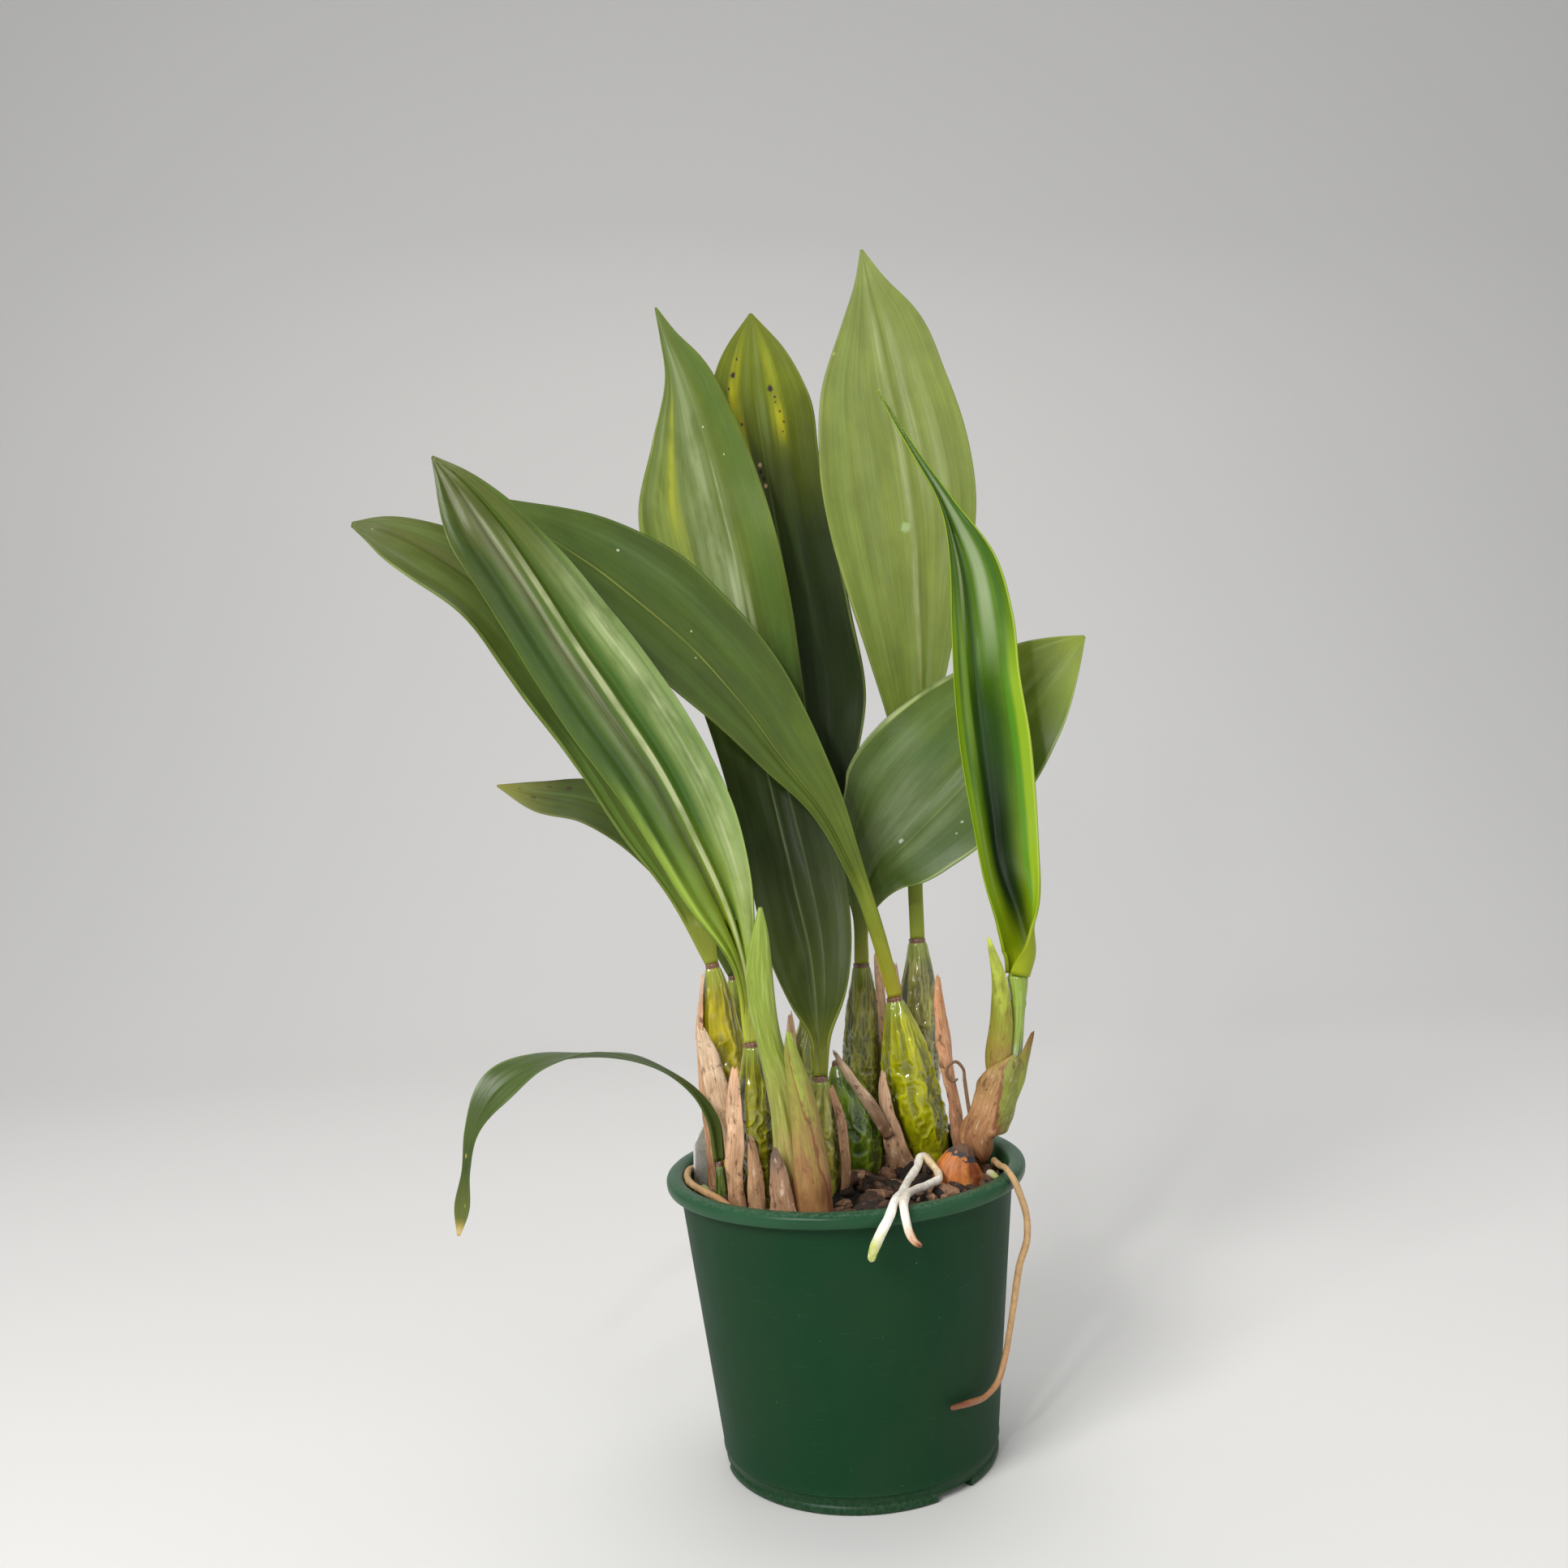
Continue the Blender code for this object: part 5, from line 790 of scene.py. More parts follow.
def grain(points, seed=0):
    """Smooth random numbers from -1 to 1 at points of one, two or three coordinates."""
    points = np.asarray(points, float)
    cell = np.floor(points).astype(np.int64)
    part = points - cell
    soft = part * part * (3 - 2 * part)
    total = np.zeros(points.shape[:-1])
    for corner in itertools.product((0, 1), repeat=points.shape[-1]):
        key = cell + np.array(corner)
        mixed = np.full(total.shape, seed * 1013904223, np.int64)
        for axis, prime in zip(range(points.shape[-1]), (73856093, 19349663, 83492791)):
            mixed ^= key[..., axis] * prime
        mixed = ((mixed ^ (mixed >> 13)) * 1274126177) & 0x7FFFFFFF
        mixed ^= mixed >> 16
        share = np.prod(np.where(np.array(corner) == 1, soft, 1 - soft), axis=-1)
        total += share * ((mixed & 0xFFFF) / 32767.5 - 1)
    return total


def layered_grain(points, layers, seed=0):
    """Coarse grain with finer and weaker grain laid over it."""
    points = np.asarray(points, float)
    return sum(grain(points * 2**k, seed + 7 * k) / 2**k for k in range(layers))


def fade(value, low, high):
    """0 at low and 1 at high, with soft ends."""
    t = np.clip((value - low) / (high - low), 0.0, 1.0)
    return t * t * (3 - 2 * t)


def stacked(*grids):
    """Grids of numbers, spread to one shape and put side by side."""
    return np.stack(np.broadcast_arrays(*grids), axis=-1)


def smooth_rows(rows, count):
    """Rows of numbers read at equal steps along a smooth curve through the given rows."""
    rows = np.asarray(rows, float)
    steps = np.linalg.norm(np.diff(rows[:, :3], axis=0), axis=1)
    place = np.concatenate([[0.0], np.cumsum(steps)])
    slopes = np.gradient(rows, place, axis=0)
    wanted = np.linspace(0.0, place[-1], count)
    piece = np.clip(np.searchsorted(place, wanted, side="right") - 1, 0, len(rows) - 2)
    span = (place[piece + 1] - place[piece])[:, None]
    t = (wanted - place[piece])[:, None] / span
    first = rows[piece] * (2 * t**3 - 3 * t**2 + 1) + slopes[piece] * span * (t**3 - 2 * t**2 + t)
    second = rows[piece + 1] * (3 * t**2 - 2 * t**3) + slopes[piece + 1] * span * (t**3 - t**2)
    return first + second


def length_of(rows):
    """The length of the line through the first three numbers of each row."""
    rows = np.asarray(rows, float)
    return float(np.linalg.norm(np.diff(rows[:, :3], axis=0), axis=1).sum())


def unit(vectors):
    """The same directions, each one long."""
    return vectors / np.maximum(np.linalg.norm(vectors, axis=-1, keepdims=True), 1e-9)


def add_object(name, data):
    thing = bpy.data.objects.new(name, data)
    bpy.context.scene.collection.objects.link(thing)
    return thing


class Finish:
    """One material, put together from small steps. Its colour is laid on coat by coat."""

    def __init__(self, name, roughness, **shine):
        self.material = bpy.data.materials.new(name)
        self.material.use_nodes = True
        self.tree = self.material.node_tree
        self.shader = self.tree.nodes["Principled BSDF"]
        self.shader.inputs["Roughness"].default_value = roughness
        for socket, value in shine.items():
            self.shader.inputs[socket.replace("_", " ")].default_value = value
        self.colour = None

    def feed(self, socket, value):
        """Links a node to a socket, or sets it to a constant. Text is a paint chart's colour."""
        if isinstance(value, bpy.types.NodeSocket):
            self.tree.links.new(value, socket)
        else:
            socket.default_value = paint(value) if isinstance(value, str) else value

    def node(self, kind, inputs, output=0, **choices):
        """The output of a new node, with its choices made and its inputs fed."""
        node = self.tree.nodes.new("ShaderNode" + kind)
        for name, choice in choices.items():
            setattr(node, name, choice)
        for key, value in inputs.items():
            self.feed(node.inputs[key], value)
        return node.outputs[output]

    def place(self, name):
        """The three numbers that a mesh holds for each point under this name, and all together."""
        together = self.node("Attribute", {}, "Vector", attribute_name=name)
        apart = self.tree.nodes.new("ShaderNodeSeparateXYZ")
        self.feed(apart.inputs[0], together)
        return (*apart.outputs, together)

    def numbers(self):
        """What a mesh holds for each point: its three place numbers, its place and its skin."""
        return (*self.place("place"), self.place("skin")[3])

    def stretched(self, vector, scale, shift=(0, 0, 0)):
        """Places stretched for a pattern: its waves each millimetre along X, Y and Z."""
        return self.node("Mapping", {"Vector": vector, "Scale": scale, "Location": shift})

    def noise(self, vector, scale, detail=2.0, roughness=0.5, distortion=0.0, shift=(0, 0, 0)):
        return self.node("TexNoise", {
            "Vector": self.stretched(vector, scale, shift), "Scale": 1.0, "Detail": detail,
            "Roughness": roughness, "Distortion": distortion,
        })

    def cracks(self, vector, scale):
        """The distance to the nearest of a net of cracks."""
        inputs = {"Vector": self.stretched(vector, scale), "Scale": 1.0}
        return self.node("TexVoronoi", inputs, "Distance", feature="DISTANCE_TO_EDGE")

    def maths(self, operation, *values):
        return self.node("Math", dict(enumerate(values)), operation=operation)

    def plus(self, first, second):
        return self.maths("ADD", first, second)

    def times(self, first, second):
        return self.maths("MULTIPLY", first, second)

    def vector_maths(self, operation, first, key, second, output=0):
        return self.node("VectorMath", {0: first, key: second}, output, operation=operation)

    def rise(self, value, low, high, least=0.0, most=1.0):
        """least below low and most above high, with soft ends. It also runs downwards."""
        if low > high:
            low, high, least, most = high, low, most, least
        inputs = {"Value": value, 1: low, 2: high, 3: least, 4: most}
        return self.node("MapRange", inputs, interpolation_type="SMOOTHSTEP")

    def band(self, value, middle, width):
        """1 at the middle and 0 from the width outwards."""
        away = self.maths("ABSOLUTE", self.maths("SUBTRACT", value, middle))
        return self.rise(away, width, width * 0.3)

    def blend(self, share, under, over):
        return self.node("Mix", {"Factor": share, 6: under, 7: over}, 2, data_type="RGBA")

    def ramp(self, value, stops):
        """Colours that run through stops, each with its place from 0 to 1."""
        node = self.tree.nodes.new("ShaderNodeValToRGB")
        elements = node.color_ramp.elements
        while len(elements) < len(stops):
            elements.new(0.5)
        for element, (place, colour) in zip(elements, stops):
            element.position = place
            element.color = paint(colour)
        self.feed(node.inputs["Fac"], value)
        return node.outputs[0]

    def swing(self, noise, least=0.0, most=1.0):
        """The usual run of a noise, spread from least to most."""
        return self.rise(noise, NOISE_LOW, NOISE_HIGH, least, most)

    def vary(self, value, least, most, low=NOISE_LOW, high=NOISE_HIGH):
        """Darkens or lightens the colour so far, from least at low to most at high."""
        factor = self.rise(value, low, high, least, most)
        self.colour = self.vector_maths("SCALE", self.colour, "Scale", factor)

    def tint(self, tint):
        self.colour = self.vector_maths("MULTIPLY", self.colour, 1, tint)

    def cover(self, share, over, strength=1.0):
        """Lays another colour over the colour so far."""
        if strength < 1:
            share = self.times(share, strength)
        self.colour = self.blend(share, self.colour, over)

    def roughness(self, value):
        self.feed(self.shader.inputs["Roughness"], value)

    def relief(self, height, distance, strength):
        """Fine bumps, with their depth in millimetres."""
        inputs = {"Strength": strength, "Distance": distance * MM, "Height": height}
        self.feed(self.shader.inputs["Normal"], self.node("Bump", inputs))

    def done(self):
        self.feed(self.shader.inputs["Base Color"], self.colour)
        return self.material


def leaf_finish(name, look, length, width):
    """The shown side of a leaf: a run of greens, on some with painted shadow, fine streaks, its own marks,
    painted highlights and painted shade among them, and its spots.
    """
    gloss = look["gloss"]
    finish = Finish(
        name, gloss, Specular_IOR_Level=look["shine"], Coat_Weight=0.06, Coat_Roughness=0.25)
    u, v, _, place, skin = finish.numbers()
    flat = finish.stretched(place, (width, length, 0.0))
    drift = finish.noise(skin, (0.03, 0.012, 1.0), 1.0)
    bent = finish.plus(u, finish.times(finish.maths("SUBTRACT", drift, 0.5), 0.10))
    streaks = finish.noise(flat, (0.5, 0.014, 1.0), 3.0, 0.6)
    hairlines = finish.noise(flat, (3.0, 0.02, 1.0), 2.0, 0.6)
    clouds = finish.noise(skin, (0.07, 0.035, 1.0), 3.0, 0.55)
    lines = finish.maths("SINE", finish.times(u, width * TURN / VEIN_LINES))
    finish.colour = finish.ramp(v, look["shade"])
    finish.tint(LEAF_TINT)
    finish.vary(streaks, 0.90, 1.09, 0.28, 0.72)
    finish.vary(hairlines, 0.94, 1.05)
    finish.vary(clouds, 0.88, 1.11)
    finish.vary(lines, 0.985, 1.05, 0.4, 1.0)
    # worn is only a noise that breaks the marks, painted highlights and painted shade among them, into
    # patches
    worn = finish.noise(skin, (0.10, 0.03, 1.0), 3.0, 0.6, 0.0, (7.0, 3.0, 0.0))
    broken = finish.times(
        finish.rise(streaks, 0.30, 0.62, 1.0 if look["smooth"] else 0.6, 1.0),
        finish.rise(worn, 0.32, 0.58, 1.0 if look["smooth"] else 0.35, 1.0))
    # Each listed mark is laid on: real streaks and margins, and painted highlights, painted sheen and painted
    # shade
    for centre, wide, start, end, tint, strength in look["marks_and_painted_light"]:
        soft = min(0.08, (end - start) / 3)
        along = finish.times(
            finish.rise(v, start - soft, start + soft), finish.rise(v, end + soft, end - soft))
        share = finish.times(finish.times(finish.band(bent, centre, wide), along), strength)
        shade = tuple(part * keep for part, keep in zip(paint(tint), (*MARK_TINT, 1)))
        finish.cover(finish.times(share, broken), shade)
    ragged = finish.noise(skin, (0.9, 0.6, 1.0), 2.0)
    for centre, at, radius, tint in look["spots"]:
        point = (centre * width, at * length, 0.0)
        away = finish.vector_maths("DISTANCE", flat, 1, point, "Value")
        away = finish.plus(away, finish.times(ragged, radius * 0.8))
        finish.cover(finish.rise(away, radius * 1.6, radius * 0.9), tint)
    finish.roughness(finish.swing(clouds, gloss - 0.04, gloss + 0.07))
    finish.relief(finish.plus(hairlines, finish.times(clouds, 0.6)), 0.25, 0.45)
    return finish.done()


def leaf_back_finish(name, look):
    """The hidden side of a leaf, duller and a little greyer."""
    finish = Finish(name, 0.5, Specular_IOR_Level=0.3)
    u, v, _, _, skin = finish.numbers()
    streaks = finish.noise(skin, (0.7, 0.012, 1.0), 3.0, 0.6)
    finish.colour = finish.blend(finish.swing(streaks), *look["back"])
    finish.cover(finish.band(u, 0.0, 0.05), "#98ac6c", 0.6)
    finish.cover(finish.rise(v, 0.16, 0.02), look["shade"][0][1])
    finish.tint(LEAF_TINT)
    finish.relief(streaks, 0.25, 0.5)
    return finish.done()


def skin_of(mesh, name, values):
    """Keeps three numbers for each point of a mesh under a name that a finish can read."""
    layer = mesh.attributes.new(name, "FLOAT_VECTOR", "POINT")
    layer.data.foreach_set("vector", np.asarray(values, np.float32).ravel())


def add_piece(name, vertices, faces, skin, place, materials, slots=None, smooth=True):
    """A mesh object in the shared frame. Its points come in millimetres."""
    mesh = bpy.data.meshes.new(name)
    mesh.from_pydata((np.asarray(vertices) * MM).tolist(), [], faces)
    for material in materials:
        mesh.materials.append(material)
    if slots is not None:
        mesh.polygons.foreach_set("material_index", np.asarray(slots, np.int32))
    mesh.polygons.foreach_set("use_smooth", [smooth] * len(mesh.polygons))
    skin_of(mesh, "skin", skin)
    skin_of(mesh, "place", place)
    mesh.validate()
    mesh.update()
    return add_object(name, mesh)


def add_parts(name, parts, material):
    """One piece of several bodies, each with its points, faces, skin numbers and places."""
    faces, start = [], 0
    for points, own_faces, _, _ in parts:
        faces += [[start + corner for corner in face] for face in own_faces]
        start += len(points)
    points, skin, place = [np.concatenate([part[k] for part in parts]) for k in (0, 2, 3)]
    return add_piece(name, points, faces, skin, place, [material])


def join_the_plant(piece, node):
    """Hangs a piece on the plant's body and hides the solid that it stands for."""
    if len(piece.data.polygons) == 0:
        raise RuntimeError(f"{piece.name} came out empty")
    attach(piece, BODY)
    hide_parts(node)


class Spine:
    """A blade's midrib, read at any share of its length, with the directions across it."""

    READINGS = 500

    def __init__(self, rows):
        self.length = length_of(rows)
        rows = smooth_rows(rows, self.READINGS)
        along = unit(np.gradient(rows[:, :3], axis=0))
        front = np.array([0.0, -1.0, 0.0])
        facing = unit(front - (along @ front)[:, None] * along)
        side = np.cross(along, facing)
        turn = np.radians(rows[:, 5])[:, None]
        upper = np.cos(turn) * facing + np.sin(turn) * side
        right = np.cross(along, upper)
        self.table = np.hstack([rows[:, :3], along, upper, right, rows[:, 3:5], rows[:, 6:7]])
        self.widest = float(rows[:, 3:5].max())

    def read(self, share):
        spot = np.clip(share, 0, 1) * (self.READINGS - 1)
        low = np.minimum(spot.astype(int), self.READINGS - 2)
        part = (spot - low)[..., None]
        return self.table[low] * (1 - part) + self.table[low + 1] * part


def blade_surface(spine, share, reach, look, seed):
    """Middle points of a blade, for grids of shares along it and reaches across it."""
    values = spine.read(share)
    place, upper, right = values[..., 0:3], values[..., 6:9], values[..., 9:12]
    half = np.where(reach < 0, values[..., 12], values[..., 13])
    curl = values[..., 14]
    tatters = layered_grain(stacked(share * spine.length / 7.0, np.sign(reach) * 5.0) * 0.6, 3, seed)
    half = half * (1 + look["frayed"] * 0.8 * tatters * fade(share, 0.15, 0.5))
    bend = np.maximum(np.radians(np.abs(curl)), 0.01)
    sideways = half * np.sin(reach * bend) / bend
    lift = np.sign(curl) * half * (1 - np.cos(reach * bend)) / bend
    edge_lift = np.sign(curl) * half * (1 - np.cos(bend)) / bend
    body = np.clip(np.sin(math.pi * np.clip(share, 0, 1)) * 2.2, 0, 1)
    full = np.clip(half / 12.0, 0, 1)
    ripple = np.sin(6 * math.pi * share + np.where(reach < 0, 0.0, 1.9))
    lift = lift + look["wave"] * half * np.abs(reach) ** 1.5 * ripple
    lift += look["pleat"] * np.cos(5 * math.pi * reach) * full * (1 - reach**2)
    for centre, wide, height in look["folds"]:
        lift += height * np.exp(-(((reach - centre) / wide) ** 2)) * body * np.clip(half / 8.0, 0, 1)
    veins = np.cos(TURN * reach * spine.widest / look["vein_spacing"])
    lift += look["vein_height"] * veins * body * (1 - reach**4)
    swell = layered_grain(stacked(reach * 1.6, share * spine.length / 34.0), 2, seed + 3)
    lift += look["uneven"] * swell * body * full
    crinkle = layered_grain(stacked(share * spine.length / 9.0, np.sign(reach) * 3.0), 2, seed + 5)
    lift += look["crinkle"] * crinkle * np.abs(reach) ** 3 * full
    points = place + sideways[..., None] * right + lift[..., None] * upper
    return points, values, half, edge_lift, sideways


def make_blade(name, rows, look, stations, columns, thickness, materials, seed):
    """A closed blade: its shown side takes the first material and the rest the second. thickness
    is that of its margin, its middle and its foot."""
    edge, middle, foot = thickness
    spine = Spine(rows)
    steps = np.linspace(-1, 1, columns)
    reach = np.broadcast_to(0.4 * steps + 0.6 * np.sin(steps * math.pi / 2), (stations, columns))
    share = np.linspace(0, 1, stations)[:, None] * np.ones((1, columns))
    notch = look["notch"] * (0.5 + 0.5 * layered_grain(steps[:, None] * 2.6, 2, seed + 1))
    share = share * (1 - notch[None, :] * share**5)
    points, values, half, edge_lift, sideways = blade_surface(spine, share, reach, look, seed)
    normal = unit(np.cross(np.gradient(points, axis=1), np.gradient(points, axis=0)))
    stalk_share = np.maximum(0.0, 1 - share / 0.25)
    thick = edge + (middle - edge) * (1 - reach**2) + (foot - middle) * stalk_share
    thick = thick * (0.35 + 0.65 * fade(1 - share, 0.0, 0.05))
    shown = points + normal * thick[..., None] / 2
    hidden = points - normal * thick[..., None] / 2
    if look["stalk"] > 0:
        filled = 1 - fade(share, look["stalk"] * 0.6, look["stalk"])
        lift = np.abs(edge_lift) + 0.16 * half * (1 - reach**2)
        upper, right = values[..., 6:9], values[..., 9:12]
        domed = values[..., 0:3] + sideways[..., None] * right + lift[..., None] * upper
        shown = shown + (domed - shown) * filled[..., None]
    size = stations * columns
    index = np.arange(size).reshape(stations, columns)
    front = stacked(index[:-1, :-1], index[:-1, 1:], index[1:, 1:], index[1:, :-1]).reshape(-1, 4)
    margin = (index[:, 0], index[::-1, -1], index[0, ::-1], index[-1, :])
    rims = [stacked(line[:-1], line[1:], line[1:] + size, line[:-1] + size) for line in margin]
    faces = np.concatenate([front, front[:, ::-1] + size, *rims])
    flat = stacked(reach * half, share * spine.length, 0).reshape(-1, 3)
    where = stacked(reach, share, 0).reshape(-1, 3)
    return add_piece(
        name, np.concatenate([shown.reshape(-1, 3), hidden.reshape(-1, 3)]), faces.tolist(),
        np.tile(flat, (2, 1)), np.tile(where, (2, 1)), materials, np.arange(len(faces)) >= len(front))


def ring_directions(spine):
    """Two directions across a spine at each of its points, the first as near +X as can be."""
    ahead = np.empty_like(spine)
    ahead[1:-1] = spine[2:] - spine[:-2]
    ahead[0] = spine[1] - spine[0]
    ahead[-1] = spine[-1] - spine[-2]
    ahead = unit(ahead)
    side = unit(np.array([1.0, 0.0, 0.0]) - ahead[:, :1] * ahead)
    return side, np.cross(ahead, side)


def carried_directions(spine):
    """Two directions across a curved line, carried along it without twist."""
    ahead = unit(np.gradient(spine, axis=0))
    side = np.empty_like(spine)
    first = np.cross(ahead[0], (0.3, 0.8, 0.5))
    for i, way in enumerate(ahead):
        first = first - first.dot(way) * way
        first = first / np.linalg.norm(first)
        side[i] = first
    return side, np.cross(ahead, side)


def ring_grids(rings, sides):
    """The share of the length and the angle round it, for each point of a body of rings."""
    progress = np.linspace(0, 1, rings)[:, None] + np.zeros((1, sides))
    angle = TURN * np.arange(sides)[None, :] / sides + np.zeros((rings, 1))
    return progress, angle


def ring_points(rows, radius, angle, directions):
    """Rings of points round a spine, from their radii and angles."""
    side, other = directions
    return rows[:, None, :3] + radius[..., None] * (
        np.cos(angle)[..., None] * side[:, None, :] + np.sin(angle)[..., None] * other[:, None, :])


def round_skin(angle, progress, radius, length):
    """Numbers for a pattern that runs round a body without a seam, in millimetres."""
    return stacked(np.cos(angle) * radius, np.sin(angle) * radius, progress * length)


def ring_part(points, skin, place):
    """A closed body through rings of points, with a flat cap at each end."""
    rings, sides, _ = points.shape
    index = np.arange(rings * sides).reshape(rings, sides)
    ahead = np.roll(index, -1, axis=1)
    faces = stacked(index[:-1], ahead[:-1], ahead[1:], index[1:]).reshape(-1, 4).tolist()
    faces += [index[0, ::-1].tolist(), index[-1].tolist()]
    return points.reshape(-1, 3), faces, skin.reshape(-1, 3), place.reshape(-1, 3)


def crowned(points, grids, rows, steps):
    """Adds rings that round off a body's top, each with its share of the top's width and its rise."""
    top, middle = points[-1], rows[-1, :3]
    ahead = unit(middle - rows[-2, :3])
    rings = [middle + (top - middle) * share + ahead * rise for share, rise in steps]
    points = np.concatenate([points, np.array(rings)])
    return points, [np.concatenate([grid] + [grid[-1:]] * len(steps)) for grid in grids]


def make_bulb(name, rows, look, sides, material):
    """A ribbed and wrinkled bulb: worm-like wrinkles low down and long ribs towards its neck."""
    _, _, height, spacing, seed, _ = look
    length = length_of(rows)
    rings = int(max(40, length / BULB_RING_STEP))
    rows = smooth_rows(rows, rings)
    directions = ring_directions(rows[:, :3])
    progress = np.linspace(0, 1, rings)[:, None]
    angle = TURN * np.arange(sides)[None, :] / sides
    plump = np.sin(math.pi * np.minimum(1.0, 0.1 + 0.9 * progress))
    twist = 0.25 * grain(progress * 3.0, seed)[:, None]
    ridged = (0.05 * np.cos(6 * (angle + twist * 0.4)) + 0.04 * np.cos(4 * angle)) * plump
    skin = round_skin(angle, progress, float(rows[:, 3].mean()), length)
    warp = stacked(grain(skin / 5.0, seed + 1), grain(skin / 5.0, seed + 2), 0)
    wriggly = (skin + warp * spacing * 0.8) / (spacing, spacing, spacing * 1.7)
    ribbed = (skin + warp * spacing * 0.35) / (spacing * 0.9, spacing * 0.9, spacing * 6.0)
    worms = np.exp(-((grain(wriggly, seed + 3) / 0.26) ** 2))
    ribs = np.exp(-((grain(ribbed, seed + 4) / 0.3) ** 2))
    small = np.exp(-((grain(wriggly * 1.9, seed + 6) / 0.3) ** 2))
    upper = fade(progress, 0.5, 0.78)
    relief = (0.75 * worms + 0.25 * small) * (1 - upper) + (0.8 * ribs + 0.2 * worms) * upper - 0.4
    swell = layered_grain(skin / (7.0, 7.0, 16.0), 2, seed + 5)
    strength = height * (0.3 + 0.7 * plump) * (1 + 0.3 * upper)
    radius = rows[:, 3:4] * (1 + ridged) + strength * relief + 0.35 * swell * plump
    crown = length - progress * length
    radius = radius * (1 - 0.10 * np.exp(-((crown - 1.2) / 0.5) ** 2))
    points, (skin, relief, ridged, progress) = crowned(
        ring_points(rows, radius, angle, directions), (skin, relief, ridged, progress), rows, BULB_CROWN)
    place = stacked(angle / math.pi - 1, progress, relief * 0.5 + ridged * 4.5)
    return add_parts(name, [ring_part(points, skin, place)], material)


def bulb_finish(name, look, length):
    """A glossy bulb: ridges paler than the hollows, whose darker colour is painted shade, a dry foot and a
    dark ring at the neck.
    """
    ridge, shaded_hollow, _, _, _, gloss = look
    finish = Finish(name, gloss, Specular_IOR_Level=0.55, Coat_Weight=0.9, Coat_Roughness=0.05)
    _, v, relief, _, skin = finish.numbers()
    streaks = finish.noise(skin, (0.5, 0.5, 0.09), 3.0, 0.6)
    clouds = finish.noise(skin, (0.12, 0.12, 0.05), 2.0)
    specks = finish.noise(skin, (0.9, 0.9, 0.5), 2.0, 0.5)
    foot = finish.times(finish.rise(v, 0.26, 0.04), finish.rise(streaks, 0.35, 0.6, 0.4, 1.0))
    neck = finish.rise(v, 1 - 1.7 / length, 1 - 1.2 / length)
    # Darker in the hollows of the wrinkles and paler on the ridges: painted shade
    finish.colour = finish.blend(finish.rise(relief, -0.35, 0.4), shaded_hollow, ridge)
    finish.vary(streaks, 0.85, 1.12)
    finish.vary(clouds, 0.82, 1.14)
    finish.cover(foot, "#7a5a30", 0.5)
    finish.cover(finish.rise(v, 0.86, 0.96), "#94a83a", 0.5)
    finish.cover(finish.rise(specks, 0.70, 0.76, 0.0, 0.55), "#4a3a1e")
    finish.cover(neck, NECK_RING, 0.85)
    finish.roughness(finish.swing(streaks, gloss - 0.05, gloss + 0.12))
    finish.relief(finish.plus(streaks, specks), 0.3, 0.4)
    return finish.done()


def make_stem(name, rows, rings, sides, shape, crown, material):
    """An oval stem. shape says how its surface stands out, from its angles and lengths."""
    length = length_of(rows)
    rows = smooth_rows(rows, rings)
    side, depth = ring_directions(rows[:, :3])
    progress, angle = ring_grids(rings, sides)
    skin = round_skin(angle, progress, float(rows[:, 3:5].mean()), length)
    relief = shape(angle, progress, skin)
    across = (rows[:, 3:4] + relief) * np.cos(angle)
    deep = (rows[:, 4:5] + relief) * np.sin(angle)
    points = rows[:, None, :3] + across[..., None] * side[:, None] + deep[..., None] * depth[:, None]
    points, (skin, angle, progress, relief) = crowned(points, (skin, angle, progress, relief), rows, crown)
    place = stacked(angle / math.pi - 1, progress, relief)
    return add_parts(name, [ring_part(points, skin, place)], material)


def wrapped_shape(angle, progress, skin):
    """A shoot of leaves rolled over one another: veins, and one edge that winds up its front."""
    turned = (angle + 1.2 + 1.4 * progress) / TURN % 1.0
    overlap = 0.9 * (turned - 0.5) * np.sin(math.pi * np.clip(progress, 0, 1)) ** 0.5
    overlap *= fade(turned, 0.0, 0.03)
    veins = 0.035 * np.cos(22 * angle + 3 * progress)
    uneven = 0.22 * layered_grain(skin / (5.0, 5.0, 16.0), 2, 61)
    return (overlap + veins + uneven) * (1 - fade(progress, 0.8, 1.0))


def jointed_shape(angle, progress, skin):
    """A stem with rings where its scales sat, fine veins and a shallow swelling."""
    rings = sum(0.35 * np.exp(-(((progress - at) / 0.012) ** 2)) for at in STEM_JOINTS)
    veins = 0.06 * np.cos(16 * angle + 2 * progress)
    return rings + veins + 0.22 * layered_grain(skin / (5.0, 5.0, 14.0), 2, 71)


def ridged_shape(angle, progress, skin):
    """A dried foot with deep ridges that run up and down."""
    ridges = np.exp(-((grain(skin / (5.0, 5.0, 14.0), 81) / 0.35) ** 2))
    small = 1 - 2.2 * np.abs(grain(skin / (1.9, 1.9, 4.0), 82))
    return 0.8 * ridges - 0.4 + 0.12 * small


def stem_finish(name, shades, gloss, speck_share, streak_colour=None):
    """A skin whose colour runs up the stem, with lengthwise streaks and specks."""
    finish = Finish(name, gloss, Coat_Weight=0.12, Coat_Roughness=0.25)
    _, v, _, _, skin = finish.numbers()
    streaks = finish.noise(skin, (0.9, 0.9, 0.06), 3.0, 0.6)
    clouds = finish.noise(skin, (0.16, 0.16, 0.07), 3.0)
    finish.colour = finish.ramp(finish.plus(v, finish.swing(clouds, -0.08, 0.08)), shades)
    finish.vary(streaks, 0.82, 1.16)
    if streak_colour:
        finish.cover(finish.rise(streaks, 0.52, 0.72, 0.0, 0.6), streak_colour)
    dots = finish.noise(skin, (1.1, 1.1, 0.7), 2.0)
    finish.cover(finish.rise(dots, 0.66, 0.72, 0.0, speck_share), "#6a4a2c")
    finish.relief(streaks, 0.3, 0.45)
    return finish.done()


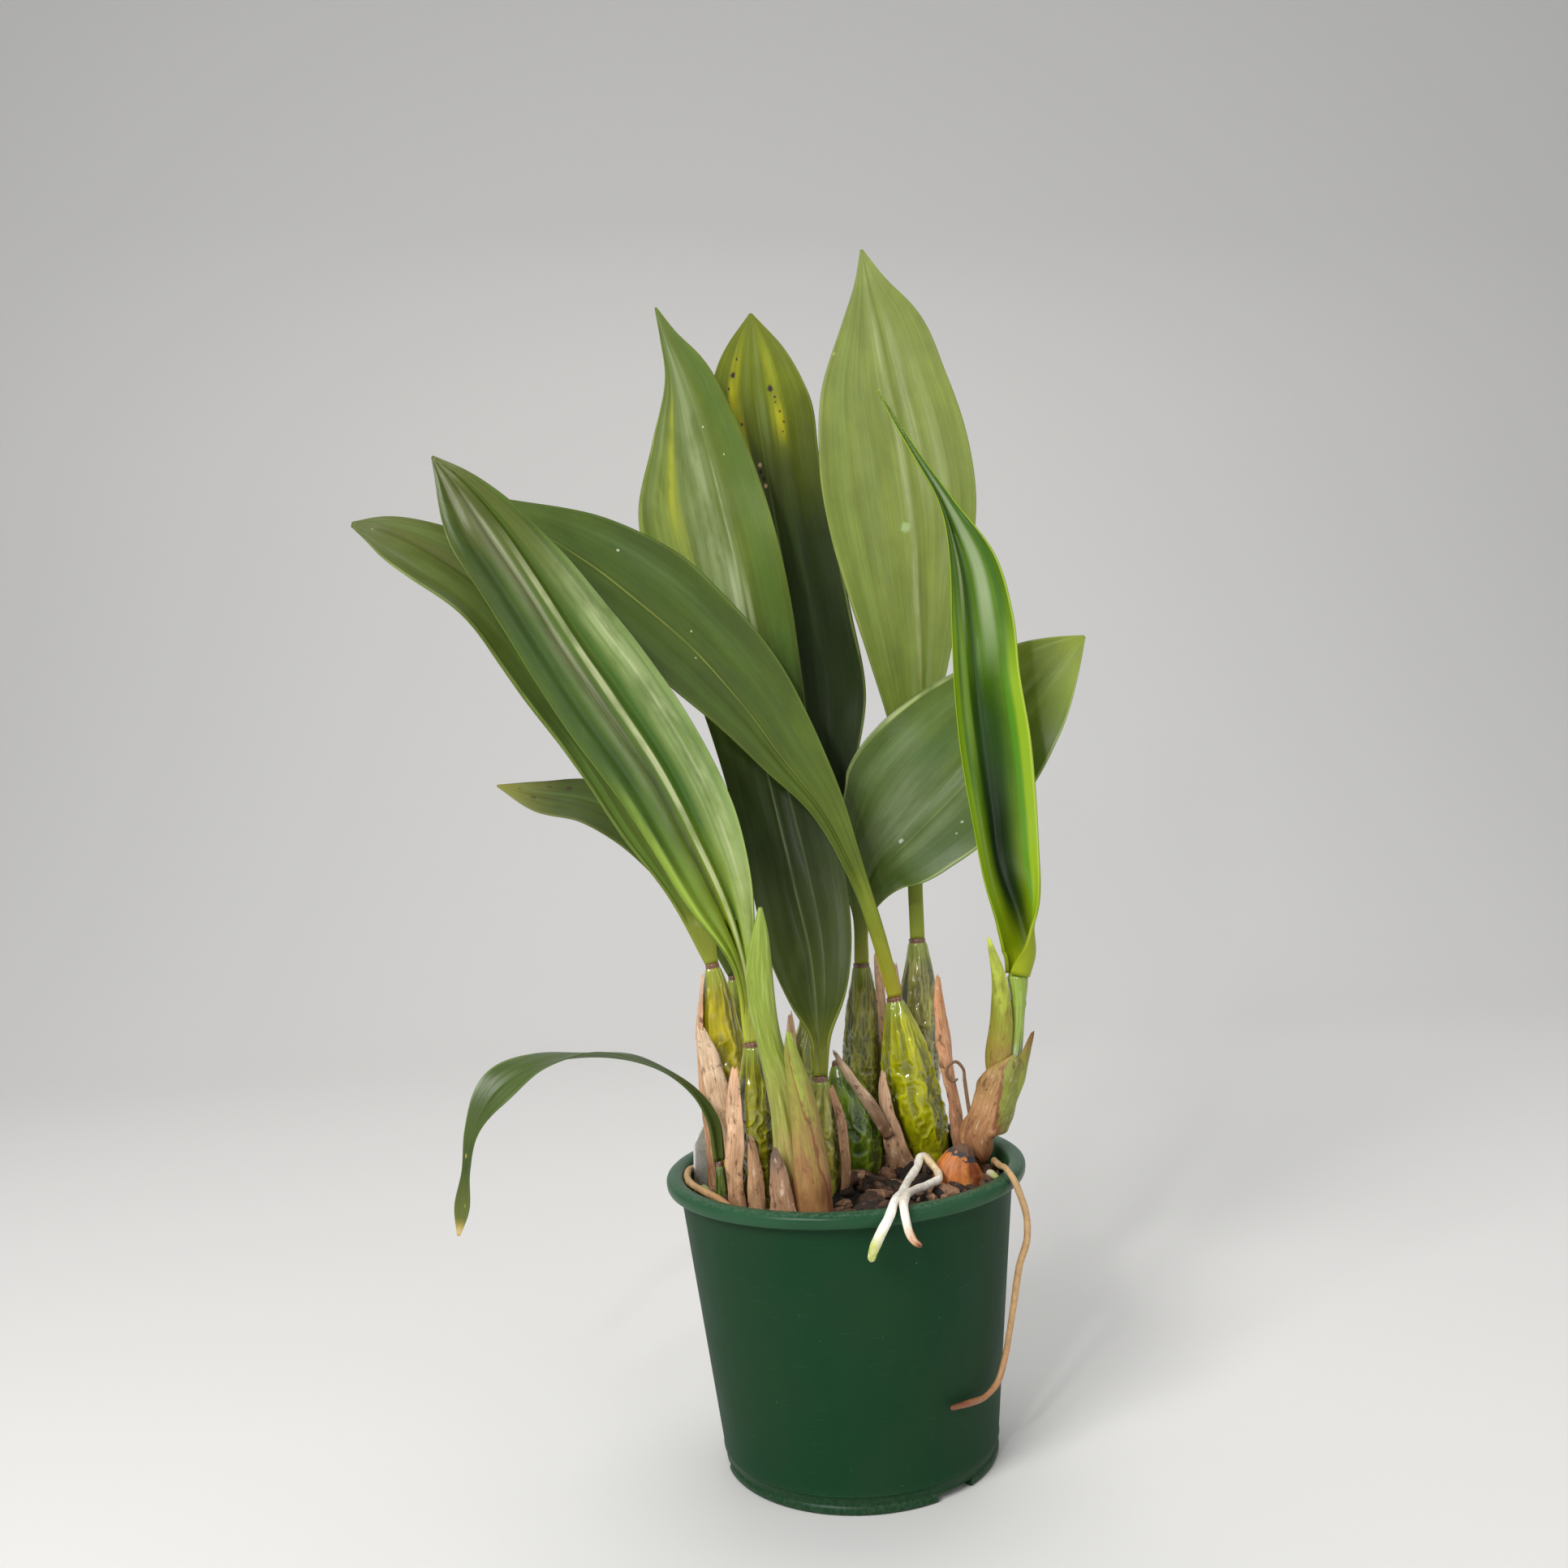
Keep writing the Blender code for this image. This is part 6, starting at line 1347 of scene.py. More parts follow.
def scar_finish():
    """The orange-brown dried foot of the right shoot, darker in its creases as painted shade, with a
    slate-grey scar on its top.
    """
    finish = Finish("dried_foot", 0.5)
    _, v, relief, _, skin = finish.numbers()
    streaks = finish.noise(skin, (0.8, 0.8, 0.12), 4.0, 0.65)
    clouds = finish.noise(skin, (0.2, 0.2, 0.1), 2.0)
    blotches = finish.noise(skin, (0.22, 0.22, 0.3), 3.0)
    # Darker in the creases between the ridges and paler on them: painted shade
    finish.colour = finish.blend(finish.rise(relief, -0.35, 0.5), "#8e4418", "#cf7a36")
    finish.vary(streaks, 0.75, 1.2)
    finish.cover(finish.rise(clouds, 0.55, 0.7, 0.0, 0.5), "#d9985c")
    finish.cover(finish.rise(blotches, 0.5, 0.62, 0.0, 0.7), "#9c5034")
    edge = finish.swing(blotches, -0.16, 0.16)
    grey = finish.blend(finish.rise(v, 0.88, 0.95), "#3d3b3f", "#6e4e38")
    finish.cover(finish.rise(finish.plus(v, edge), 0.82, 0.85), grey)
    finish.relief(streaks, 0.5, 0.7)
    return finish.done()


def even_stops(shades):
    """Colours set out at equal steps from 0 to 1."""
    return [(k / (len(shades) - 1), shade) for k, shade in enumerate(shades)]


def make_scale(name, rows, share, seed, middle, material):
    """A papery scale or a young sheath, frayed at its tip."""
    dry = share > 0.05
    look = {
        **PLAIN_BLADE, "frayed": share * (2.0 if dry else 1.0), "notch": 9 * share ** 0.5 / length_of(rows),
        "wave": 0.09 if dry else 0.05, "uneven": 1.3 if dry else 0.6, "crinkle": 1.5 if dry else 0.2,
        "vein_height": 0.035, "vein_spacing": 1.2,
    }
    stations = int(max(40, length_of(rows) / SCALE_STEP))
    thickness = (SCALE_EDGE, middle, middle)
    return make_blade(name, rows, look, stations, SCALE_COLUMNS, thickness, [material] * 2, seed)


def paper_finish(name, shades, seed, paper=True, beside=None):
    """Dry paper with fibres that run lengthwise, stains, pale patches that are partly painted highlight, and
    darker edges. beside is the run of colours past a slanting seam, or nothing."""
    finish = Finish(name, 0.6 if paper else 0.36, Specular_IOR_Level=0.35)
    u, v, _, _, skin = finish.numbers()
    fibres = finish.noise(skin, (1.9, 0.07, 1.0), 4.0, 0.65, shift=(seed * 3.1, 0, 0))
    clouds = finish.noise(skin, (0.22, 0.09, 1.0), 3.0, shift=(seed * 1.7, 0, 0))
    stains = finish.noise(skin, (0.34, 0.16, 1.0), 4.0, 0.65, 0.4, (seed * 2.3, 0, 0))
    dots = finish.noise(skin, (1.3, 0.9, 1.0), 1.0, 0.5, 0.0, (seed * 1.3, 0, 0))
    drift = finish.plus(v, finish.swing(clouds, -0.12, 0.12))
    finish.colour = finish.ramp(drift, even_stops(shades))
    if beside:
        slant = finish.plus(u, finish.times(v, 1.35))
        slant = finish.plus(slant, finish.swing(clouds, -0.1, 0.1))
        finish.cover(finish.rise(slant, 0.68, 0.78), finish.ramp(drift, even_stops(beside)))
        seam = finish.times(finish.band(slant, 0.73, 0.10), finish.rise(v, 0.97, 0.85))
        finish.cover(seam, "#8a4a34", 0.75)
    finish.vary(fibres, 0.76 if paper else 0.86, 1.22, 0.32, 0.68)
    finish.vary(clouds, 0.86, 1.12)
    # Pale patches: part the paper's own paler colour, part painted highlight
    if paper:
        finish.cover(finish.rise(stains, 0.42, 0.30, 0.0, 0.6), "#f0d6bc")
    finish.cover(finish.rise(stains, 0.54, 0.68, 0.0, 0.8 if paper else 0.4), "#5e3e28")
    if paper:
        low = finish.times(finish.rise(v, 0.42, 0.06), finish.rise(stains, 0.36, 0.56, 0.2, 1.0))
        finish.cover(low, "#7a5436", 0.6)
    finish.cover(finish.rise(dots, 0.74, 0.80, 0.0, 0.6), "#4c3626")
    edge = finish.times(
        finish.rise(finish.maths("ABSOLUTE", u), 0.86, 0.99), finish.rise(clouds, 0.35, 0.65))
    finish.cover(edge, "#6a452c" if paper else "#8a5a34", 0.7)
    finish.relief(fibres, 0.15, 0.6 if paper else 0.35)
    return finish.done()


def root_part(rows, sides, seed, lump):
    """One tube of a root, lumpy and round at its tip."""
    length = length_of(rows)
    rings = int(max(30, length / ROOT_RING_STEP))
    rows = smooth_rows(rows, rings)
    tip = rows[-1, 3] * 1.3
    into = np.clip((np.linspace(0, 1, rings) * length - (length - tip)) / max(tip, 1e-6), 0, 1)
    rows[:, 3] *= np.maximum(np.sqrt(1 - into**2), 0.12)
    directions = carried_directions(rows[:, :3])
    progress, angle = ring_grids(rings, sides)
    skin = round_skin(angle, progress, float(rows[:, 3].mean()), length)
    lumps = layered_grain(skin / (2.6, 2.6, 4.2), 2, seed)
    swell = grain(skin[..., 2:] / 5.5, seed + 1)
    cracks = np.clip(np.abs(grain(skin / (3, 3, 1.15), seed + 2)) * 5, 0, 1) - 1
    radius = rows[:, 3:4] * (1 + lump * lumps + 0.6 * lump * swell + 0.018 * cracks)
    points = ring_points(rows, radius, angle, directions)
    return ring_part(points, skin, stacked(angle / math.pi - 1, progress, cracks))


def make_root(name, tables, sides, seed, lump, material):
    """A root of one tube, or of two tubes that meet."""
    parts = []
    for k, rows in enumerate(tables):
        points, faces, skin, place = root_part(rows, sides, seed + 10 * k, lump)
        parts.append((points, faces, skin, place + (0, k, 0)))
    return add_parts(name, parts, material)


def root_finish(name, shades, specks):
    """A root's skin: its colour along it, ring cracks and specks."""
    finish = Finish(name, 0.5)
    _, v, cracks, _, skin = finish.numbers()
    clouds = finish.noise(skin, (0.5, 0.5, 0.22), 3.0)
    dots = finish.noise(skin, (1.3, 1.3, 0.9), 2.0)
    share = finish.maths("DIVIDE", finish.plus(v, finish.swing(clouds, -0.03, 0.03)), 2.0)
    finish.colour = finish.ramp(share, shades)
    finish.vary(clouds, 0.84, 1.12)
    finish.vary(cracks, 0.88, 1.0, -0.9, -0.1)
    finish.cover(finish.rise(dots, 0.64, 0.72, 0.0, 0.55), specks)
    finish.relief(finish.plus(clouds, dots), 0.25, 0.5)
    return finish.done()


def wall_radius(height, settings):
    """The radius of the pot's wall at a height, in millimetres."""
    top = settings.height / MM - POT_RIM_DEPTH
    foot = settings.foot_radius / MM
    return foot + POT_FLARE * min(max(height / top, 0.0), 1.0)


def pot_profile(settings):
    """The pot's outline from the inner floor over the rim to the underside."""
    high, rim, foot = settings.height / MM, settings.rim_radius / MM, settings.foot_radius / MM
    under = high - POT_RIM_DEPTH
    inside = wall_radius(POT_FLOOR, settings) - POT_WALL
    outline = [(0.0, POT_FLOOR), (inside - 2, POT_FLOOR), (inside - 0.6, POT_FLOOR + 0.5)]
    outline += [(inside, POT_FLOOR + 2)]
    outline += [(wall_radius(h, settings) - POT_WALL, h) for h in (*POT_WALL_STEPS, under - 1)]
    outline += [(rim + out, high + up) for out, up in RIM_CURVE]
    outline += [(rim + out, under + up) for out, up in RIM_UNDERSIDE]
    outline += [(wall_radius(under - 2, settings), under - 2)]
    outline += [(wall_radius(h, settings), h) for h in (*reversed(POT_WALL_STEPS), POT_STEP + 1.6)]
    outline += [(wall_radius(POT_STEP, settings) + out, POT_STEP + up) for out, up in STEP_CURVE]
    outline += [(foot + out, up) for out, up in FOOT_CURVE]
    return outline + [(0.0, 0.0)]


def mesh_of(name, shape):
    """Turns a mesh under construction into a finished one and clears it away."""
    mesh = bpy.data.meshes.new(name)
    shape.to_mesh(mesh)
    shape.free()
    return mesh


def numbers_of(shape):
    """The points and faces of a mesh under construction, which is cleared away."""
    points = np.array([vertex.co[:] for vertex in shape.verts])
    faces = [[vertex.index for vertex in face.verts] for face in shape.faces]
    shape.free()
    return points, faces


def lathe(name, outline, sides):
    """A closed body turned round Z. Its outline comes in millimetres."""
    shape = bmesh.new()
    points = [shape.verts.new((r * MM, 0, z * MM)) for r, z in outline]
    edges = [shape.edges.new(pair) for pair in zip(points, points[1:])]
    bmesh.ops.spin(
        shape, geom=points + edges, axis=(0, 0, 1), cent=(0, 0, 0), angle=TURN, steps=sides, use_merge=True)
    bmesh.ops.remove_doubles(shape, verts=shape.verts, dist=0.01 * MM)
    bmesh.ops.recalc_face_normals(shape, faces=shape.faces)
    return mesh_of(name, shape)


def drain_cutters(settings):
    """The drain slots in the foot, and the holes above them."""
    foot = settings.foot_radius / MM
    cutters = []
    for slot in range(DRAIN_SLOTS):
        azimuth = math.radians(DRAIN_TURN + slot * 360 / DRAIN_SLOTS)
        outward = Vector((math.sin(azimuth), -math.cos(azimuth), 0))
        block = bmesh.new()
        bmesh.ops.create_cube(block, size=1.0)
        block.transform(
            Matrix.Translation((foot - 5) * MM * outward) @ Matrix.Rotation(azimuth, 4, "Z")
            @ Matrix.Diagonal((*(size * MM for size in DRAIN_SLOT_SIZE), 1)))
        hole = bmesh.new()
        radius = DRAIN_HOLE_RADIUS * MM
        bmesh.ops.create_cone(hole, cap_ends=True, segments=32, radius1=radius, radius2=radius, depth=10 * MM)
        hole.transform(Matrix.Translation(((foot - 8.5) * outward + Vector((0, 0, 4.6))) * MM))
        for shape in (block, hole):
            cutters.append(add_object("drain_cutter", mesh_of("drain_cutter", shape)))
    return cutters


def cut_out(piece, cutters):
    """Cuts bodies out of a piece and clears them away."""
    for cutter in cutters:
        cut = piece.modifiers.new(cutter.name, "BOOLEAN")
        cut.operation = "DIFFERENCE"
        cut.solver = "EXACT"
        cut.object = cutter
    done = piece.evaluated_get(bpy.context.evaluated_depsgraph_get())
    mesh = bpy.data.meshes.new_from_object(done)
    piece.modifiers.clear()
    piece.data = mesh
    for cutter in cutters:
        bpy.data.objects.remove(cutter)


def pot_finish(settings):
    """Satin green plastic, paler at the rim with wear and a painted highlight, with a painted highlight line
    on the rim's top edge, scuffs and dust.
    """
    finish = Finish("green_pot_plastic", 0.5, Specular_IOR_Level=0.14)
    _, _, z, place = finish.place("skin")
    clouds = finish.noise(place, (0.03, 0.03, 0.02), 3.0)
    fine = finish.noise(place, (0.8, 0.8, 0.8), 3.0, 0.6)
    scuffs = finish.noise(place, (0.10, 0.10, 1.6), 4.0, 0.7, 0.6)
    dust = finish.noise(place, (0.9, 0.9, 0.9), 1.0)
    # worn paints the rim band paler: part wear, part painted highlight
    worn = finish.times(finish.rise(z, 112.5, 114.5), finish.rise(clouds, 0.2, 0.7, 0.55, 1.0))
    # edge is a painted highlight line along the rim's top edge
    edge = finish.times(finish.rise(z, 118.6, 119.8), finish.rise(fine, 0.4, 0.65))
    low = finish.times(finish.rise(z, 12.0, 0.0), finish.rise(fine, 0.4, 0.7, 0.1, 0.6))
    finish.colour = finish.blend(finish.rise(clouds, 0.35, 0.65), (*settings.colour, 1), "#173a20")
    finish.cover(worn, (*settings.rim_colour_and_highlight, 1))
    finish.cover(edge, "#587a62", 0.5)
    finish.cover(finish.rise(scuffs, 0.62, 0.76, 0.0, 0.3), "#54705e")
    finish.cover(finish.rise(dust, 0.80, 0.84, 0.0, 0.35), "#a9b4a6")
    finish.cover(low, "#6b7a64", 0.35)
    polished = finish.plus(finish.rise(z, 111.0, 114.0, 0.0, -0.22), finish.rise(z, 9.0, 7.5, 0.0, -0.14))
    finish.roughness(finish.plus(finish.swing(clouds, 0.48, 0.60), polished))
    finish.relief(fine, 0.06, 0.25)
    return finish.done()


def surface_height(x, y):
    """The mix's surface, in millimetres."""
    return MIX_TOP + 1.2 * (np.sin(0.13 * x + 1.0) * np.cos(0.11 * y) + 0.6 * np.sin(0.21 * x - 0.17 * y))


def mix_base(settings):
    """The body of the mix under its chunks, with a rough top."""
    inner_foot = wall_radius(POT_FLOOR, settings) - MIX_INSET
    inner_top = wall_radius(MIX_TOP, settings) - MIX_INSET
    angle = TURN * np.arange(MIX_SIDES) / MIX_SIDES
    rows = []
    for radius, height in ((inner_foot, 6.3), (inner_top, 106.0)):
        rows.append(stacked(radius * np.cos(angle), radius * np.sin(angle), height))
    for radius in np.linspace(inner_top, 0.6, MIX_RINGS):
        x, y = radius * np.cos(angle), radius * np.sin(angle)
        rough = layered_grain(stacked(x / 5.0, y / 5.0), 3, 5)
        rows.append(stacked(x, y, surface_height(x, y) - 1.6 + 1.0 * rough))
    points = np.array(rows)
    # The second place number, 0.2, marks this body, which the bark finish darkens as painted shade between
    # the chunks
    return ring_part(points, points, np.broadcast_to((0.0, 0.2, 0.0), points.shape))


def round_block():
    """Points and faces of one ball, from which every chunk of bark is shaped."""
    shape = bmesh.new()
    bmesh.ops.create_icosphere(shape, subdivisions=3, radius=1.0)
    return numbers_of(shape)


def bark_places(count, draw, reach):
    """Places and sizes for chunks on the mix, clear of the middles of bulbs and shoots."""
    standing = [(rows[1][0], rows[1][1], rows[1][3]) for rows in BULBS.values()]
    standing += SHOOT_FEET
    places = []
    while len(places) < count:
        angle, radius = draw.uniform(0, TURN), reach * math.sqrt(draw.random())
        x, y = radius * math.cos(angle), radius * math.sin(angle)
        size = draw.uniform(0, 1) ** 1.6
        if min(math.hypot(x - a, y - b) - r for a, b, r in standing) > 1.0 + 2.6 * size:
            places.append((x, y, size))
    return places


def make_mix(settings, material):
    """The mix: a body painted dark as shade between the chunks, with rough chunks of bark heaped on it."""
    draw = random.Random(27)
    reach = wall_radius(MIX_TOP, settings) - CHUNK_INSET
    ball, ball_faces = round_block()
    parts = [mix_base(settings)]
    for k, (x, y, size) in enumerate(bark_places(settings.chunks, draw, reach)):
        long = CHUNK_SHORTEST + CHUNK_SPREAD * size
        sizes = np.array([long, long * draw.uniform(0.45, 0.85), long * draw.uniform(0.28, 0.55)]) / 2
        points = np.sign(ball) * np.abs(ball) ** draw.uniform(0.45, 0.8) * sizes
        grooves = 1 - 2 * np.abs(grain(points * (0.16, 0.75, 0.9) + k * 7.3, 91))
        rough = layered_grain(points * 0.55 + k * 3.7, 3, 92)
        points = points * (1 + 0.10 * grooves[:, None] + 0.17 * rough[:, None])
        turn = Matrix.Rotation(draw.uniform(0, TURN), 3, "Z")
        nod = Matrix.Rotation(draw.uniform(-0.6, 0.6), 3, "X")
        lean = Matrix.Rotation(draw.uniform(-0.45, 0.45), 3, "Y")
        points = points @ np.array(turn @ (nod @ lean)).T
        radius = math.hypot(x, y)
        limit = max(reach + 0.6 - float(np.abs(points[:, :2]).max()), 5.0)
        if radius > limit:
            x, y = x * limit / radius, y * limit / radius
        lift = float(surface_height(x, y)) + draw.uniform(-1.4, 1.2) + (1 - size) * 0.8
        points = points + (x, y, lift)
        place = stacked(draw.random(), 1.0, 0.6 * grooves + 0.4 * rough)
        parts.append((points, ball_faces, points, place))
    return add_parts("potting_mix_bark", parts, material)


def bark_finish():
    """Rough bark in many browns, darker in its grooves as painted shade. The second place number tells chunks
    from the body under them, which is painted dark as shade between the chunks.
    """
    finish = Finish("bark", 0.78)
    tone, chunk, relief, _, skin = finish.numbers()
    fibres = finish.noise(skin, (0.9, 0.9, 1.4), 4.0, 0.7)
    clouds = finish.noise(skin, (0.25, 0.25, 0.25), 2.0)
    finish.colour = finish.ramp(tone, BARK_SHADES)
    finish.vary(fibres, 0.5, 1.4)
    # Darker in the grooves and paler on the raised fibres: painted shade
    finish.vary(relief, 0.55, 1.25, -0.5, 0.6)
    finish.cover(finish.rise(clouds, 0.6, 0.72, 0.0, 0.4), "#82604a")
    # The body under the chunks is darkened as painted shade in the gaps, and the chunks are lightened
    finish.vary(chunk, 0.6, 1.3)
    finish.relief(fibres, 0.6, 0.9)
    return finish.done()


def make_tag(material):
    """The blank tag, with eased edges."""
    shape = bmesh.new()
    face = shape.faces.new([shape.verts.new((x, -TAG_THICKNESS / 2, z)) for x, z in TAG_OUTLINE])
    grown = bmesh.ops.extrude_face_region(shape, geom=[face])
    moved = [part for part in grown["geom"] if isinstance(part, bmesh.types.BMVert)]
    bmesh.ops.translate(shape, verts=moved, vec=(0, TAG_THICKNESS, 0))
    bmesh.ops.recalc_face_normals(shape, faces=shape.faces)
    bmesh.ops.bevel(shape, geom=shape.edges[:], offset=0.22, segments=2, affect="EDGES", profile=0.6)
    lean = Matrix.Rotation(math.radians(TAG_LEAN), 4, "X")
    turn = Matrix.Rotation(math.radians(TAG_TURN), 4, "Z")
    shape.transform(Matrix.Translation(TAG_PLACE) @ turn @ lean)
    points, faces = numbers_of(shape)
    skin = points - TAG_PATTERN_START
    return add_piece("plant_tag_blank", points, faces, skin, skin, [material], smooth=False)


def tag_finish(settings):
    """Sun-bleached plastic, cracked and dusty."""
    finish = Finish(
        "faded_tag_plastic", 0.5, Subsurface_Weight=1.0, Subsurface_Radius=(1.0, 1.0, 0.9),
        Subsurface_Scale=3 * MM)
    skin = finish.place("skin")[3]
    clouds = finish.noise(skin, (0.25, 0.25, 0.15), 4.0, 0.65)
    finish.colour = finish.blend(finish.rise(clouds, 0.4, 0.65), (*settings.tag_colour, 1), "#deded6")
    finish.vary(finish.cracks(skin, (0.6, 0.6, 0.4)), 0.75, 1.0, 0.0, 0.07)
    finish.relief(clouds, 0.2, 0.4)
    return finish.done()


def make_floor(settings):
    """A pale floor that sweeps up behind the pot."""
    finish = Finish("plain_floor", 0.75)
    finish.colour = (*settings.floor_colour, 1)
    bend = [(math.sin(a), math.cos(a)) for a in np.linspace(0.1, math.pi / 2, 24)]
    profile = [(FLOOR_FRONT, 0.0), (FLOOR_BEND, 0.0)]
    profile += [(FLOOR_BEND + FLOOR_BEND * out, FLOOR_BEND - FLOOR_BEND * up) for out, up in bend]
    profile += [(2 * FLOOR_BEND, FLOOR_TOP)]
    vertices = [(x, y, z) for y, z in profile for x in (-FLOOR_HALF_WIDTH, FLOOR_HALF_WIDTH)]
    faces = [(2 * k, 2 * k + 1, 2 * k + 3, 2 * k + 2) for k in range(len(profile) - 1)]
    mesh = bpy.data.meshes.new("floor")
    mesh.from_pydata(vertices, [], faces)
    mesh.materials.append(finish.done())
    mesh.polygons.foreach_set("use_smooth", [True] * len(faces))
    return add_object("floor", mesh)


def make_light(name, place, aim, size, power):
    lamp = bpy.data.lights.new(name, "AREA")
    lamp.size = size
    lamp.energy = power
    light = add_object(name, lamp)
    light.location = place
    light.rotation_euler = (Vector(aim) - Vector(place)).to_track_quat("-Z", "Y").to_euler()
    return light


def make_camera(settings):
    """The photo's view: low and close, and turned a little on its side."""
    pitch, roll = settings.camera_pitch, settings.camera_roll
    ahead = Vector((0, math.cos(pitch), math.sin(pitch)))
    level_up = Vector((0, -math.sin(pitch), math.cos(pitch)))
    level_right = Vector((1, 0, 0))
    right = math.cos(roll) * level_right + math.sin(roll) * level_up
    up = math.cos(roll) * level_up - math.sin(roll) * level_right
    lens = bpy.data.cameras.new("photo_view")
    lens.lens = settings.lens
    lens.sensor_width = 36
    lens.clip_start = 0.01
    camera = add_object("photo_view", lens)
    turned = Matrix((right, up, -ahead)).transposed().to_4x4()
    place = Vector((settings.camera_x, settings.camera_y, settings.camera_z))
    camera.matrix_world = Matrix.Translation(place) @ turned
    bpy.context.scene.camera = camera


class ORCHID_OT_stage(bpy.types.Operator):
    """Sets up the floor, the lights and the camera"""

    bl_idname = "orchid.make_stage"
    bl_label = "Stage"

    def execute(self, context):
        settings = context.scene.orchid_stage
        lights = [
            make_light(name, place, aim, size, getattr(settings, power))
            for name, (place, aim, size, power) in LIGHTS.items()
        ]
        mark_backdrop(make_floor(settings), *lights)
        make_camera(settings)
        world = bpy.data.worlds.new("plain_room")
        world.use_nodes = True
        air = world.node_tree.nodes["Background"]
        air.inputs["Color"].default_value = ROOM_COLOUR
        air.inputs["Strength"].default_value = settings.room_light
        context.scene.world = world
        context.scene.view_settings.view_transform = "Standard"
        return {"FINISHED"}


class ORCHID_OT_pot(bpy.types.Operator):
    """Makes the green nursery pot"""

    bl_idname = "orchid.make_pot"
    bl_label = "Pot"

    def execute(self, context):
        settings = context.scene.orchid_pot
        pot = add_object("green_pot", lathe("green_pot", pot_profile(settings), settings.sides))
        cut_out(pot, drain_cutters(settings))
        mesh = pot.data
        mesh.materials.clear()
        mesh.materials.append(pot_finish(settings))
        mesh.polygons.foreach_set("use_smooth", [True] * len(mesh.polygons))
        mesh.set_sharp_from_angle(angle=math.radians(POT_SHARP_ANGLE))
        skin_of(mesh, "skin", np.array([vertex.co[:] for vertex in mesh.vertices]) / MM)
        mesh.update()
        join_the_plant(pot, "pot")
        return {"FINISHED"}


class ORCHID_OT_mix(bpy.types.Operator):
    """Makes the bark mix"""

    bl_idname = "orchid.make_mix"
    bl_label = "Bark mix"

    def execute(self, context):
        join_the_plant(make_mix(context.scene.orchid_pot, bark_finish()), "potting_mix")
        return {"FINISHED"}


class ORCHID_OT_tag(bpy.types.Operator):
    """Makes the blank plant tag"""

    bl_idname = "orchid.make_tag"
    bl_label = "Tag"

    def execute(self, context):
        join_the_plant(make_tag(tag_finish(context.scene.orchid_pot)), "plant_tag")
        return {"FINISHED"}


class ORCHID_OT_bulbs(bpy.types.Operator):
    """Makes the ribbed bulbs"""

    bl_idname = "orchid.make_bulbs"
    bl_label = "Bulbs"

    def execute(self, context):
        sides = context.scene.orchid_plant.bulb_sides
        for name, rows in BULBS.items():
            look = BULB_LOOKS[name]
            material = bulb_finish(name + "_skin", look, length_of(rows))
            piece = make_bulb(name + "_ribbed", rows, look, sides, material)
            join_the_plant(piece, name)
        return {"FINISHED"}


class ORCHID_OT_leaves(bpy.types.Operator):
    """Makes the pleated leaves"""

    bl_idname = "orchid.make_leaves"
    bl_label = "Leaves"

    def execute(self, context):
        settings = context.scene.orchid_plant
        edge, middle, stalk = settings.leaf_edge / MM, settings.leaf_middle / MM, settings.stalk / MM
        veins = {"vein_height": settings.vein_height / MM, "vein_spacing": settings.vein_spacing / MM}
        for number, (name, rows) in enumerate(LEAVES.items()):
            look = {**PLAIN_BLADE, "uneven": LEAF_UNEVEN, **veins, **LEAF_LOOKS[name]}
            length = length_of(rows)
            width = max(max(row[3:5]) for row in rows)
            materials = [
                leaf_finish(name + "_top", look, length, width), leaf_back_finish(name + "_back", look),
            ]
            stations = int(max(80, length / LEAF_STEP))
            thickness = (edge, middle, min(stalk, 2 * rows[0][3] * 0.9))
            piece = make_blade(
                name + "_pleated", rows, look, stations, settings.leaf_columns, thickness, materials,
                100 + number)
            join_the_plant(piece, name)
        return {"FINISHED"}


class ORCHID_OT_shoots(bpy.types.Operator):
    """Makes the young shoots and their sheaths"""

    bl_idname = "orchid.make_shoots"
    bl_label = "Shoots"

    def execute(self, context):
        green = stem_finish("front_shoot_skin", FRONT_SHOOT_SHADES, 0.36, 0.3, "#a9b46a")
        pale = stem_finish("right_stem_skin", RIGHT_STEM_SHADES, 0.2, 0.35)
        stems = {
            "front_shoot": ("rolled", FRONT_SHOOT, 110, 96, wrapped_shape, SHOOT_CROWN, green),
            "right_shoot_stem": ("jointed", RIGHT_STEM, 110, 72, jointed_shape, STEM_CROWN, pale),
            "right_shoot_foot": ("ridged", RIGHT_FOOT, 60, 96, ridged_shape, FOOT_CROWN, scar_finish()),
        }
        for node, (ending, *form) in stems.items():
            piece = make_stem(f"{node}_{ending}", *form)
            join_the_plant(piece, node)
        for name, rows in SHEATHS.items():
            shades, share, seed = SHEATH_LOOKS[name]
            paper = name == "right_shoot_papery_cover"
            material = paper_finish(name + "_skin", shades, seed, paper, SEAM_SHADES.get(name))
            piece = make_scale(name + "_wrapped", rows, share, seed, SHEATH_MIDDLE, material)
            join_the_plant(piece, name)
        return {"FINISHED"}


class ORCHID_OT_bracts(bpy.types.Operator):
    """Makes the dry papery bracts"""

    bl_idname = "orchid.make_bracts"
    bl_label = "Dry bracts"

    def execute(self, context):
        for name, rows in BRACTS.items():
            shades, share, seed = BRACT_LOOKS[name]
            material = paper_finish(name + "_paper", shades, seed)
            piece = make_scale(name + "_frayed", rows, share, seed, BRACT_MIDDLE, material)
            join_the_plant(piece, name)
        return {"FINISHED"}


